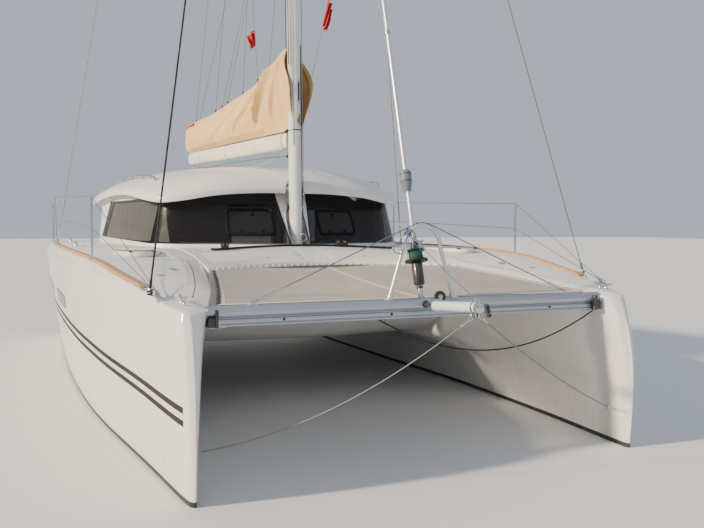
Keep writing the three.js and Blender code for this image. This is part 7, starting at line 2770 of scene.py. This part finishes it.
class CATAMARAN_OT_bulkhead(bpy.types.Operator):
    """Makes the trim round the bulkhead's openings, its window glass, and the sliding door with its frame"""

    bl_idname = "catamaran.bulkhead"
    bl_label = "Bulkhead and door"

    def execute(self, context):
        trim = Shape("bulkhead_trim")
        (x0, x1), (z0, z1) = AFT_WINDOW["x"], AFT_WINDOW["z"]
        frame_strips(trim, (x0 - 0.035, x1 + 0.035), (z0 - 0.035, z1 + 0.035),
                     (BULKHEAD[1] - 0.004, BULKHEAD[1] + 0.004),
                     0.042, "anodised", 0.003)
        frame_strips(trim, (x0 - 0.03, x1 + 0.03), (z0 - 0.03, z1 + 0.03),
                     (BULKHEAD[0] - 0.01, BULKHEAD[0] + 0.004),
                     0.036, "joinery")
        (x0, x1), (z0, z1) = DOORWAY["x"], DOORWAY["z"]
        frame_strips(trim, (x0 - 0.045, x1 + 0.045), (z0 - 0.02, z1 + 0.045),
                     (BULKHEAD[0] - 0.014, BULKHEAD[0] + 0.004),
                     0.05, "joinery")
        for z in (0.992, 2.456):
            trim.block((-0.26, BULKHEAD[1] - 0.002, z),
                       (1.34 if z > 2 else 0.72, BULKHEAD[1] + 0.032, z + 0.014), "anodised",
                       0.004)
        trim.make("boat", "aluminium")
        self.glass()
        self.door()
        return {"FINISHED"}

    def glass(self):
        (x0, x1), (z0, z1) = AFT_WINDOW["x"], AFT_WINDOW["z"]
        outline = rounded([(x0 + 0.0015, z0 + 0.0015), (x1 - 0.0015, z0 + 0.0015), (x1 - 0.0015, z1 - 0.0015),
                           (x0 + 0.0015, z1 - 0.0015)], 0.012, 5)
        pane = Shape("bulkhead_pane").skin(prism(outline, 1.7725, 1.7815, 0.001), "clear_glass",
                                           matrix=ENDWAYS)
        pane.make("boat", "smoked_glass", "bulkhead_glass")

    def door(self):
        """An aluminium frame with a middle rail, two panes, a long handle and a lock."""
        x, z, y = (-0.17, 0.64), (1.012, 2.45), (1.804, 1.826)
        door = Shape("door_frame")
        frame_strips(door, x, z, y, 0.055, "anodised", 0.003)
        door.block((x[0] + 0.055, y[0], 1.60), (x[1] - 0.055, y[1], 1.655), "anodised", 0.003)
        for low, high in ((z[0] + 0.055, 1.60), (1.655, z[1] - 0.055)):
            door.block((x[0] + 0.05, 1.812, low - 0.004), (x[1] - 0.05, 1.818, high + 0.004), "clear_glass",
                       0.002)
            frame_strips(door, (x[0] + 0.053, x[1] - 0.053), (low - 0.002, high + 0.002), (1.8055, 1.8245),
                         0.008,
                         "dark_seal", 0.002)
        grip = np.array([(0.60, 1.824, 1.86), (0.60, 1.8255, 1.87), (0.60, 1.8258, 1.9), (0.60, 1.8258, 2.04),
                         (0.60, 1.8255, 2.07), (0.60, 1.824, 2.08)])
        door.tube(through(grip, np.linspace(0, 1, 30)), 0.0085, "stainless", 12)
        door.pin((0.013, 0.0035, 0.001), (0.6125, 1.8225, 1.72), AFT, "stainless", 24)
        door.make("door_body", "aluminium", "saloon_door")


@finish
def clear_glass(name):
    """A grey pane, see-through by its alpha, with faint streaks."""
    paint = Paint(name, (0.13, 0.145, 0.145), 0.04, ior=1.5)
    streaks = paint.noise(5, 3)
    paint.set("Alpha", 0.55 + streaks * 0.06)
    return paint.set("Roughness", 0.03 + streaks * 0.05).done()


class CATAMARAN_OT_saloon(bpy.types.Operator):
    """Makes the settee with its cushions, the table and the galley"""

    bl_idname = "catamaran.saloon"
    bl_label = "Saloon"

    def execute(self, context):
        self.settee()
        self.table()
        self.galley()
        return {"FINISHED"}

    def settee(self):
        base = Shape("settee_base")
        base.block((0.25, -0.64, SOLE), (1.44, -0.16, 1.32), "joinery", 0.012)
        base.block((0.98, -0.2, SOLE), (1.44, 1.15, 1.32), "joinery", 0.012)
        base.block((1.425, -0.64, 1.30), (1.44, 1.15, 1.77), "joinery", 0.005)
        for low, high in (((0.30, -0.157), (0.93, -0.152)), ((0.973, 0.0), (0.978, 0.5)),
                          ((0.973, 0.55), (0.978, 1.1))):
            base.block((low[0], low[1], 1.06), (high[0], high[1], 1.27), "joinery", 0.002)
        base.make("boat", "joinery", "settee")
        pads = Cushions("cushion_cloth")
        for k in range(2):
            pads.pad(f"settee_seat_{k}", (0.25 + 0.595 * k, -0.64, 1.32), (0.845 + 0.595 * k, -0.16, 1.42))
            pads.pad(f"settee_side_{k}", (0.98, -0.16 + 0.655 * k, 1.32), (1.425, 0.495 + 0.655 * k, 1.42))
        for k in range(3):
            low_y = -0.64 + 0.5967 * k
            pads.pad(f"settee_back_{k}", (1.385, low_y, 1.43), (1.425, low_y + 0.5967, 1.76), up="-x")

    def table(self):
        table = Shape("table")
        top = rounded([(0.30, 0), (0.90, 0), (0.90, 0.85), (0.30, 0.85)], 0.07, 8)
        table.skin(prism(top, 1.70, 1.735, 0.01), "joinery")
        inner = rounded([(0.32, 0.02), (0.88, 0.02), (0.88, 0.83), (0.32, 0.83)], 0.055, 8)
        table.skin(prism(inner, 1.71, 1.7362, 0.002), "worktop")
        lift = SOLE - SOLE_Z
        table.turned([(0, lift), (0.06, lift), (0.06, 0.012), (0.052, 0.03), (0.05, 0.66), (0.06, 0.70),
                      (0, 0.70)], (0.6, 0.425, SOLE_Z), UP, "mast_paint", 36)
        table.make("boat", "joinery", "saloon_table")

    def galley(self):
        galley = Shape("galley_unit")
        galley.block((-1.438, -0.558, SOLE), (-0.875, 1.248, 1.862), "joinery", 0.008)
        galley.block((-1.44, -0.56, 1.862), (-0.86, 1.25, 1.9), "worktop", 0.01)
        for k in range(4):
            y = -0.5 + 0.435 * k
            galley.block((-0.872, y, 1.08), (-0.862, y + 0.40, 1.56), "joinery", 0.004)
            galley.block((-0.872, y, 1.60), (-0.862, y + 0.40, 1.82), "joinery", 0.004)
            for z in (1.50, 1.71):
                galley.pin((0.009, 0.006, 0.002), (-0.864, y + 0.2, z), ACROSS, "stainless", 16)
        bowl = rounded([(-1.36, 0.2), (-0.98, 0.2), (-0.98, 0.62), (-1.36, 0.62)], 0.06, 6)
        galley.skin(prism(bowl, 1.895, 1.9045, 0.003), "stainless")
        for x, y in ((-1.28, 0.85), (-1.05, 0.85), (-1.28, 1.08), (-1.05, 1.08)):
            galley.turned([(0, 0), (0.085, 0), (0.085, 0.003), (0.06, 0.006), (0, 0.006)], (x, y, 1.899), UP,
                          "dark_seal", 32)
        galley.make("boat", "joinery", "galley")


class CATAMARAN_OT_cockpit(bpy.types.Operator):
    """Makes the cockpit bench and helm seat with their cushions"""

    bl_idname = "catamaran.cockpit"
    bl_label = "Cockpit seats"

    def execute(self, context):
        bench = Shape("bench_base")
        bench.block((-0.9, 3.64, SOLE), (1.49, 4.17, 1.35), "gelcoat", 0.03)
        bench.block((1.0, 1.95, SOLE), (1.49, 3.7, 1.35), "gelcoat", 0.03)
        for k in range(3):
            bench.block((-0.75 + 0.6 * k, 3.634, 1.08), (-0.25 + 0.6 * k, 3.6405, 1.29), "gelcoat", 0.003)
        bench.make("boat", "gelcoat", "cockpit_bench")
        pads = Cushions("cockpit_vinyl", 0.7)
        for k in range(4):
            pads.pad(f"bench_aft_{k}", (-0.9 + 0.5975 * k, 3.64, 1.35), (-0.3025 + 0.5975 * k, 4.17, 1.42))
        for k in range(3):
            pads.pad(f"bench_side_{k}", (1.0, 1.95 + 0.5633 * k, 1.35), (1.49, 2.5133 + 0.5633 * k, 1.42))
        seat = Shape("helm_seat_base")
        seat.block((-1.44, 2.78, SOLE), (-0.72, 3.18, 1.43), "gelcoat", 0.03)
        seat.block((-1.44, 3.165, 1.40), (-0.72, 3.18, 1.88), "gelcoat", 0.007)
        seat.make("boat", "gelcoat", "helm_seat")
        pads.pad("helm_cushion", (-1.44, 2.78, 1.43), (-0.72, 3.13, 1.50))
        pads.pad("helm_back", (-1.44, 3.125, 1.50), (-0.72, 3.165, 1.87), up="-y")
        return {"FINISHED"}


class CATAMARAN_OT_helm(bpy.types.Operator):
    """Makes the helm console with plain dials and two levers, and the wheel with its wrapped rim"""

    bl_idname = "catamaran.helm"
    bl_label = "Helm"

    def execute(self, context):
        console = Shape("console")
        outline = [(1.7985, SOLE), (2.06, SOLE), (2.06, 1.98), (1.99, 2.08), (1.7985, 2.12)]
        console.skin(prism(rounded(outline, 0.018, 4), -1.42, -0.7255, 0.012), "gelcoat", matrix=SIDEWAYS)
        slope = unit(np.array([0, -0.07, 0.10]))
        out = unit(np.array([0, 0.10, 0.07]))
        seat = frame_at(np.array([-1.08, 2.025, 2.03]), (-1, 0, 0), slope, out)
        panel_outline = rounded([(-0.29, -0.045), (0.29, -0.045), (0.29, 0.045), (-0.29, 0.045)], 0.012, 5)
        console.skin(prism(panel_outline, -0.002, 0.005, 0.002), "black_plastic", matrix=seat)
        for x in (-0.2, -0.08, 0.04):
            console.pin((0.038, 0.014, 0.004), (x, 0, 0.001), UP, "stainless", 36, seat)
            console.pin((0.032, 0.0155, 0.001), (x, 0, 0.001), UP, "dial_face", 36, seat)
        for x in (0.13, 0.17, 0.21, 0.25):
            console.block((x - 0.009, -0.022, 0.002), (x + 0.009, 0.022, 0.013), "dark_seal", 0.004, seat)
        for x in (-0.86, -0.80):
            lever = np.array([(x, 1.93, 2.095), (x, 1.95, 2.13), (x, 1.97, 2.17)])
            console.tube(through(lever, np.linspace(0, 1, 8)), 0.006, "stainless", 12)
            console.pin((0.013, 0.04, 0.006), lever[-1] - (0, 0.004, 0.008), (0, 0.45, 0.9), "black_plastic",
                        20)
        console.turned([(0, 0), (0.055, 0), (0.055, 0.02), (0.04, 0.045), (0.02, 0.06), (0, 0.064)],
                       (-1.22, 1.9, 2.092), UP, "black_plastic", 36)
        console.make("boat", "gelcoat", "helm_console")
        self.wheel()
        return {"FINISHED"}

    def wheel(self):
        wheel = Shape("wheel")
        centre = np.asarray(WHEEL_CENTRE, float)
        a = np.linspace(0, 2 * np.pi, 120, endpoint=False)
        rim = centre + at(WHEEL_RADIUS * np.sin(a), 0 * a, WHEEL_RADIUS * np.cos(a))
        wheel.tube(rim, 0.0148, "wrapped_leather", 18, closed=True, up=AFT)
        profile = [(0, -0.053), (0.04, -0.053), (0.046, -0.047), (0.046, -0.004), (0.036, 0.008),
                   (0.016, 0.013),
                   (0, 0.013)]
        wheel.turned(profile, centre, AFT, "stainless", 40)
        for k in range(5):
            turn = 2 * math.pi * k / 5
            way = np.array([math.sin(turn), 0, math.cos(turn)])
            wheel.turned([(0, 0.02), (0.011, 0.02), (0.0085, 0.07), (0.0075, 0.3),
                          (0.0088, WHEEL_RADIUS - 0.005),
                          (0, WHEEL_RADIUS - 0.005)], centre, way, "stainless", 18)
        wheel.pin((0.018, 0.006, 0.002, 0.008), centre, AFT, "black_plastic", 24)
        wheel.make("wheel_body", "steel", "helm_wheel")


# Underwater gear: keels, drives, propellers, rudders and engines, and the CAD node that stays as it is

FOIL = np.array([[0, 0], [0.01, 0.30], [0.04, 0.62], [0.08, 0.80], [0.15, 0.93], [0.23, 0.985], [0.32, 1],
                 [0.45, 0.91], [0.6, 0.74], [0.72, 0.55], [0.85, 0.33], [0.94, 0.15], [1, 0.05]])
KEEL_ROWS = np.array([[-0.3, -0.8, 2.55, 0.26], [-0.7, -0.64, 2.25, 0.23], [-0.94, -0.51, 2.0, 0.2],
                      [-0.98, -0.49, 1.96, 0.192], [-0.994, -0.46, 1.9, 0.16], [-1.0, -0.40, 1.78, 0.10]])
RUDDER_ROWS = np.array([[-0.36, 4.12 - 0.15, 0.42, 0.064], [-0.65, 4.12 - 0.13, 0.374, 0.054],
                        [-0.915, 4.12 - 0.11, 0.332, 0.044], [-0.927, 4.12 - 0.1, 0.31, 0.034],
                        [-0.93, 4.12 - 0.08, 0.27, 0.02]])
BLADE = np.array([[0.030, 0.034, 0.009, 62], [0.060, 0.047, 0.0082, 55], [0.090, 0.058, 0.007, 48],
                  [0.120, 0.0585, 0.006, 42], [0.150, 0.056, 0.005, 36], [0.175, 0.040, 0.004, 32],
                  [0.190, 0.022, 0.003, 30]])
PROPELLER = np.array([UNDER_X, 3.186, -0.69])


def foil_ring(nose, chord, thick, x, z, steps=44):
    """A symmetric section: the half thickness by the share of the chord, eased to a round nose."""
    share = (1 - np.cos(np.linspace(0, np.pi, steps))) / 2
    half = np.interp(np.sqrt(share), np.sqrt(FOIL[:, 0]), FOIL[:, 1]) * thick / 2
    y = nose + share * chord
    return np.concatenate([at(x + half, y, z + 0 * y), at(x - half[::-1], y[::-1], z + 0 * y)])


class CATAMARAN_OT_underwater(bpy.types.Operator):
    """Makes the keels, rudders, drive legs and propellers below both hulls"""

    bl_idname = "catamaran.underwater"
    bl_label = "Underwater gear"

    def execute(self, context):
        for side, sign in SIDES:
            keel = Shape(f"keel_foil_{side}", sign < 0)
            keel.skin(np.stack([foil_ring(nose, chord, thick, UNDER_X + 0.06, z)
                                for z, nose, chord, thick in KEEL_ROWS]),
                      "antifouling")
            keel.make("boat", "antifouling", f"keel_{side}", sharp=50)
            self.rudder(side, sign)
            self.drive(side, sign)
            self.propeller(side, sign)
        return {"FINISHED"}

    def rudder(self, side, sign):
        rudder = Shape(f"rudder_blade_{side}", sign < 0)
        rows = [foil_ring(nose, chord, thick, UNDER_X, z) for z, nose, chord, thick in RUDDER_ROWS]
        top = RUDDER_ROWS[0]
        rows.insert(0, foil_ring(top[1] + 0.006, top[2] - 0.012, top[3] * 0.9, UNDER_X, top[0] + 0.006))
        rudder.skin(np.stack(rows), "antifouling")
        rudder.pin((0.0238, 0.32, 0.002), (UNDER_X, RUDDER_Y, -0.4), UP, "stainless", 28)
        rudder.turned([(0, 0), (0.034, 0), (0.03, 0.02), (0.0242, 0.03), (0, 0.03)],
                      (UNDER_X, RUDDER_Y, -0.36), UP, "bronze", 28)
        rudder.make(f"rudder_{side}_body", "antifouling", f"rudder_{side}", sharp=50)

    def drive(self, side, sign):
        leg = Shape(f"drive_leg_{side}", sign < 0)
        nose = DRIVE_Y - 0.26
        rows = [(-0.20, 0), (-0.42, 0.012), (-0.64, 0.03), (-0.70, 0.03)]
        leg.skin(np.stack([foil_ring(nose + back, 0.32, 0.11, UNDER_X, z) for z, back in rows]),
                 "antifouling")
        body = [(0, -0.23), (0.013, -0.2265), (0.03, -0.215), (0.048, -0.186), (0.062, -0.15),
                (0.0685, -0.105),
                (0.07, -0.06), (0.0695, 0.02), (0.066, 0.09), (0.06, 0.112), (0.048, 0.13), (0, 0.13)]
        leg.turned(body, (UNDER_X, DRIVE_Y, -0.69), AFT, "antifouling", 40)
        skeg = np.stack([foil_ring(DRIVE_Y - 0.1 + s * 0.02, 0.16 - s * 0.04, 0.02, UNDER_X, -0.75 - s * 0.07)
                         for s in (0.0, 0.5, 0.9, 1.0)])
        leg.skin(skeg, "antifouling")
        leg.pin((0.034, 0.01, 0.003), (UNDER_X, DRIVE_Y + 0.128, -0.69), AFT, "bronze", 30)
        leg.pin((0.026, 0.012, 0.003, 0.046), (UNDER_X, DRIVE_Y - 0.08, -0.48), ACROSS, "bronze", 24)
        leg.make("boat", "antifouling", f"saildrive_{side}", sharp=45)

    def propeller(self, side, sign):
        """Three blades whose pitch falls with the radius, on a bronze hub with a spinner."""
        screw = Shape(f"screw_{side}", sign < 0)
        hub = [(0, 0), (0.044, 0), (0.046, 0.003), (0.046, 0.058), (0.0425, 0.078), (0.034, 0.095),
               (0.018, 0.107),
               (0, 0.11)]
        screw.turned(hub, PROPELLER, AFT, "bronze", 44)
        share = np.linspace(-1, 1, 21)
        thick = np.sqrt(np.clip(1 - share**2, 0, 1)) ** 0.8
        across = np.concatenate([share, share[::-1][1:-1]])
        off = np.concatenate([thick, -thick[::-1][1:-1]])
        for k in range(3):
            turn = pose(angle=2 * math.pi * k / 3, axis="Y")
            rows = []
            for radius, half, body, pitch in BLADE:
                c, s = math.cos(math.radians(pitch)), math.sin(math.radians(pitch))
                a, o = across * half, off * body / 2
                rows.append(at(a * c - o * s, 0.045 + a * s * 0.72 + o * c, radius - 0.06 * a**2 / half))
            blade = placed(np.stack(rows), turn) + PROPELLER
            screw.skin(blade, "bronze")
        screw.make(f"propeller_{side}_body", "bronze", f"propeller_{side}", sharp=40)


class CATAMARAN_OT_engines(bpy.types.Operator):
    """Makes the two engines below their lids: block, sump, rocker cover, belt wheels, filter and hoses"""

    bl_idname = "catamaran.engines"
    bl_label = "Engines"

    def execute(self, context):
        for side, sign in SIDES:
            engine = Shape(f"engine_block_{side}", sign < 0)
            engine.block((2.09, 2.92, 0.06), (2.45, 3.50, 0.24), "engine_paint", 0.03)
            engine.block((2.10, 2.94, 0.24), (2.44, 3.48, 0.47), "engine_paint", 0.02)
            engine.block((2.16, 2.98, 0.47), (2.38, 3.44, 0.57), "engine_paint", 0.03)
            for y in (3.05, 3.2, 3.35):
                engine.pin((0.02, 0.03, 0.006), (2.27, y, 0.56), UP, "black_plastic", 20)
                engine.pin((0.035, 0.06, 0.01), (2.42, y, 0.40), ACROSS, "engine_paint", 24)
            for x, z, radius in ((2.27, 0.2, 0.09), (2.17, 0.4, 0.05), (2.37, 0.42, 0.045)):
                engine.pin((radius, 0.05, 0.006), (x, 2.85, z), AFT, "dark_alloy", 32)
            engine.pin((0.045, 0.12, 0.02), (2.06, 3.3, 0.3), ACROSS, "black_plastic", 28)
            hose = np.array([(2.15, 3.1, 0.5), (2.12, 3.2, 0.58), (2.14, 3.4, 0.57), (2.2, 3.5, 0.4)])
            engine.tube(through(hose, np.linspace(0, 1, 30)), 0.018, "black_plastic", 14)
            engine.make("boat", "engine_paint", f"engine_{side}")
        return {"FINISHED"}


class CATAMARAN_OT_carried_nodes(bpy.types.Operator):
    """Gives the one CAD node that is still shown, the bulkhead, its finish"""

    bl_idname = "catamaran.carried_nodes"
    bl_label = "Carried nodes"

    def execute(self, context):
        mesh = bpy.data.objects["cabin_bulkhead"].data
        mesh.materials.clear()
        mesh.materials.append(finished("gelcoat"))
        return {"FINISHED"}


# Running lines, flags and hull windows

HULL_WINDOWS = ((1.4, 2.8), (-0.6, 0.5))
FLAG_LINES = {"starboard": ((-0.6, 0.42, 6.5), (0.116, 0.168)), "port": ((1.63, 1.2, 6.5), (0.315, 0.393))}


class CATAMARAN_OT_running_lines(bpy.types.Operator):
    """Makes the two taut lines from the bows to the masthead, and the flag lines below the spreaders"""

    bl_idname = "catamaran.running_lines"
    bl_label = "Running lines"

    def execute(self, context):
        lines = Shape("running_lines")
        for foot, side, look, size in (((-2.34, -4.27, 1.615), -1, "black_rope", 0.0085),
                                       ((2.40, -3.87, 1.655), 1, "green_rope", 0.0055)):
            head = placed(np.array([side * 0.07, -0.11, MAST_LENGTH - 0.06]), RIG)
            ahead = unit(head - foot)
            lines.tube(between(foot, head, np.linspace(0.004, 1, 60)), size, look, 10)
            lines.pin((0.012, 0.09, 0.004), np.array(foot), ahead, look, 14)
            lines.pin((0.016, 0.035, 0.006, -0.02), np.array(foot), ahead, "stainless", 16)
            turns = np.linspace(0, 1, 50)
            spiral = at(0.02 * np.cos(turns * 14), 0.02 * np.sin(turns * 14), turns * 0.05 - 0.045)
            lines.tube(spiral + foot, size * 0.8, look, 8)
        lines.make("boat", "canvas")
        self.flags()
        return {"FINISHED"}

    def flags(self):
        """Each flag hangs limp from a stretch of its line, in upright folds that sink toward its free end."""
        for side, (head, (low, high)) in FLAG_LINES.items():
            head = placed(np.array(head), RIG)
            if side == "port":
                foot = placed(np.array([0.085, 0.05, 1.45]), RIG)
            else:
                foot = placed(np.array([-0.02, 1.092, COVER_FOOT + 0.80]), BOOM_UP)
            line = Shape(f"flag_line_{side}")
            line.tube(between(foot, head, np.linspace(0, 1, 30)), 0.0028, "grey_rope", 6)
            line.pin((0.012, 0.03, 0.004), foot, unit(head - foot), "black_plastic", 12)
            self.hung(line, side, foot, head)
            self.flag(side, foot, head, low, high)

    def hung(self, shape, side, foot, head, **settings):
        """The port line stands on the boat, and the starboard one runs down to the boom."""
        obj = shape.make("boat" if side == "port" else "", "canvas", **settings)
        if side == "starboard":
            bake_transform(obj)
        return obj

    def flag(self, side, foot, head, low, high):
        u, v = np.meshgrid(np.linspace(0, 1, 28), np.linspace(0, 1, 44))
        hoist = between(foot, head, lerp(high, low, u.ravel())).reshape(*u.shape, 3)
        reach = -0.115 if side == "starboard" else 0.06
        drop = lerp(0.14, 0.09, u) * v**1.5
        drift = reach * v * (1 - 0.25 * u)
        fold = 0.034 * np.sin(v * 13 + u * 1.5) * smooth(v, 0, 0.2) + 0.006 * np.sin(u * 9 + v * 3) * v
        cloth = hoist + at(drift + fold * 0.35, drift * 0.3 - fold, -drop)
        out = unit(np.cross(np.gradient(cloth, axis=0), np.gradient(cloth, axis=1)))
        ring = np.concatenate([cloth + out * 0.0008, (cloth - out * 0.0008)[:, ::-1]], 1)
        flag = Shape(f"flag_{side}").skin(ring, "red_cloth")
        obj = self.hung(flag, side, foot, head, sharp=60)


def hull_side(y, z):
    """The hull's outer side: x where the swelling side stands at a height z."""
    h = hull_numbers(y)
    shoulder = h["sheer_z"] - SHEER_DROP
    swell = h["sheer_x"] - h["water_out"]
    return h["water_out"] + swell * (1 - (1 - np.clip(z / shoulder, 0, 1)) ** 1.4)


class CATAMARAN_OT_hull_windows(bpy.types.Operator):
    """Makes the dark panes bonded to the hulls' outer sides, two to a hull, with their black borders"""

    bl_idname = "catamaran.hull_windows"
    bl_label = "Hull windows"

    def execute(self, context):
        for side, sign in SIDES:
            panes = Shape(f"hull_windows_{side}", sign < 0)
            for y0, y1 in HULL_WINDOWS:
                for grow, out, look in ((0.0, 0.004, "black_acrylic"), (0.012, 0.0018, "dark_seal")):
                    panes.skin(self.pane(y0 - grow, y1 + grow, 1.10 - grow, 1.25 + grow, out), look)
            panes.make("boat", "smoked_glass")
        return {"FINISHED"}

    def pane(self, y0, y1, z0, z1, out):
        """Columns along the hull between round ends, each a ring up the outer face and down the inner one."""
        half = (z1 - z0) / 2
        turn = np.linspace(0.04, np.pi / 2, 12)
        ends = half * (1 - np.sin(np.pi / 2 - turn))
        y = np.concatenate([y0 + ends, np.linspace(y0 + half, y1 - half, 24)[1:-1], y1 - ends[::-1]])
        tall = np.concatenate([half * np.sin(turn), np.full(22, half), half * np.sin(turn[::-1])])
        middle = lerp(z0, z1, 0.5) + (y - y0) * 0.02
        rows = np.linspace(-1, 1, 9)
        z = middle[:, None] + tall[:, None] * rows
        x = np.stack([hull_side(y, z[:, k]) for k in range(len(rows))], 1)
        outer = at(x + out, y[:, None] + 0 * x, z)
        inner = at(x - 0.006, y[:, None] + 0 * x, z)
        return np.concatenate([outer, inner[:, ::-1]], 1)


# The operators in the order in which they run
OPERATORS = (
    CATAMARAN_OT_stage,
    CATAMARAN_OT_bow_line,
    CATAMARAN_OT_hulls,
    CATAMARAN_OT_hull_lids,
    CATAMARAN_OT_bridgedeck,
    CATAMARAN_OT_cabin,
    CATAMARAN_OT_windows,
    CATAMARAN_OT_beam,
    CATAMARAN_OT_sprit,
    CATAMARAN_OT_furler,
    CATAMARAN_OT_mast,
    CATAMARAN_OT_shrouds,
    CATAMARAN_OT_boom,
    CATAMARAN_OT_sail_cover,
    CATAMARAN_OT_trampoline,
    CATAMARAN_OT_rails,
    CATAMARAN_OT_jib_track,
    CATAMARAN_OT_deck_fittings,
    CATAMARAN_OT_ladder,
    CATAMARAN_OT_bulkhead,
    CATAMARAN_OT_saloon,
    CATAMARAN_OT_cockpit,
    CATAMARAN_OT_helm,
    CATAMARAN_OT_underwater,
    CATAMARAN_OT_engines,
    CATAMARAN_OT_carried_nodes,
    CATAMARAN_OT_running_lines,
    CATAMARAN_OT_hull_windows,
)


class CatamaranSizes(bpy.types.PropertyGroup):
    """Sizes that change the looks and leave the frame as it is"""

    stripe_height: bpy.props.FloatProperty(
        name="Stripe height", description="Height of each stripe on the hulls", default=0.05, unit="LENGTH")
    stripe_gap: bpy.props.FloatProperty(
        name="Stripe gap", description="Bare band between the stripes", default=0.052, unit="LENGTH")
    stripe_slope: bpy.props.FloatProperty(
        name="Stripe slope", description="Rise of the stripes for each metre aft", default=0.073)
    stripe_end: bpy.props.FloatProperty(
        name="Stripe end", description="Where the stripes stop aft", default=4.4, unit="LENGTH")
    bottom_paint_top: bpy.props.FloatProperty(
        name="Bottom paint top", description="Height of the paint line over the water", default=0.045,
        unit="LENGTH")
    panel_gap: bpy.props.FloatProperty(
        name="Panel gap", description="Smooth band between non-slip panels", default=0.05, unit="LENGTH")
    glass_border: bpy.props.FloatProperty(
        name="Glass border", description="Width of the black edge of a window", default=0.014, unit="LENGTH")
    glass_density: bpy.props.FloatProperty(
        name="Glass density", description="How much the tinted glass hides", default=0.42, subtype="FACTOR")


def colour(label, value, about):
    """A colour property."""
    return bpy.props.FloatVectorProperty(name=label, description=about, default=value, subtype="COLOR",
                                         size=3, min=0, max=1)


class CatamaranColours(bpy.types.PropertyGroup):
    """Colours of the finishes and of the light"""

    gelcoat: colour("Gelcoat", (0.80, 0.79, 0.76), "Hulls, decks and cabin")
    stripe: colour("Stripe", (0.012, 0.012, 0.014), "Stripes on the hulls")
    antifouling: colour("Antifouling", (0.014, 0.017, 0.024), "Paint below the waterline")
    glass: colour("Glass", (0.016, 0.015, 0.016), "Tint of the windows")
    aluminium: colour("Aluminium", (0.42, 0.46, 0.52), "Forward beam")
    teak: colour("Teak", (0.45, 0.30, 0.16), "Toe rails and cockpit floor")
    mast: colour("Mast", (0.74, 0.74, 0.72), "Mast, boom and hoop")
    sun: colour("Sun", (1.0, 0.82, 0.60), "Light from low on the starboard side")
    sky: colour("Sky", (0.80, 0.88, 1.0), "Light from all round")
    sun_strength: bpy.props.FloatProperty(name="Sun strength", description="Power of the low sun",
                                          default=6.4)
    fill_strength: bpy.props.FloatProperty(name="Fill strength", description="Power of the fill",
                                           default=0.12)
    sky_strength: bpy.props.FloatProperty(name="Sky strength", description="Power of the sky", default=0.62)


class CATAMARAN_PT_pieces(bpy.types.Panel):
    """Lists the pieces, and the sizes and colours that can be changed"""

    bl_label = "Catamaran"
    bl_idname = "CATAMARAN_PT_pieces"
    bl_space_type = "VIEW_3D"
    bl_region_type = "UI"
    bl_category = "Catamaran"

    def draw(self, context):
        for group in (context.scene.catamaran_sizes, context.scene.catamaran_colours):
            box = self.layout.box()
            for name in group.__annotations__:
                box.prop(group, name)
        for operator in OPERATORS:
            self.layout.operator(operator.bl_idname)


CLASSES = (CatamaranSizes, CatamaranColours, *OPERATORS, CATAMARAN_PT_pieces)


def register():
    for cls in CLASSES:
        bpy.utils.register_class(cls)
    bpy.types.Scene.catamaran_sizes = bpy.props.PointerProperty(type=CatamaranSizes)
    bpy.types.Scene.catamaran_colours = bpy.props.PointerProperty(type=CatamaranColours)


def unregister():
    del bpy.types.Scene.catamaran_colours
    del bpy.types.Scene.catamaran_sizes
    for cls in reversed(CLASSES):
        bpy.utils.unregister_class(cls)


def main():
    """Registers the classes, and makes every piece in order."""
    register()
    for operator in OPERATORS:
        group, name = operator.bl_idname.split(".")
        getattr(getattr(bpy.ops, group), name)()


if __name__ == "__main__":
    main()
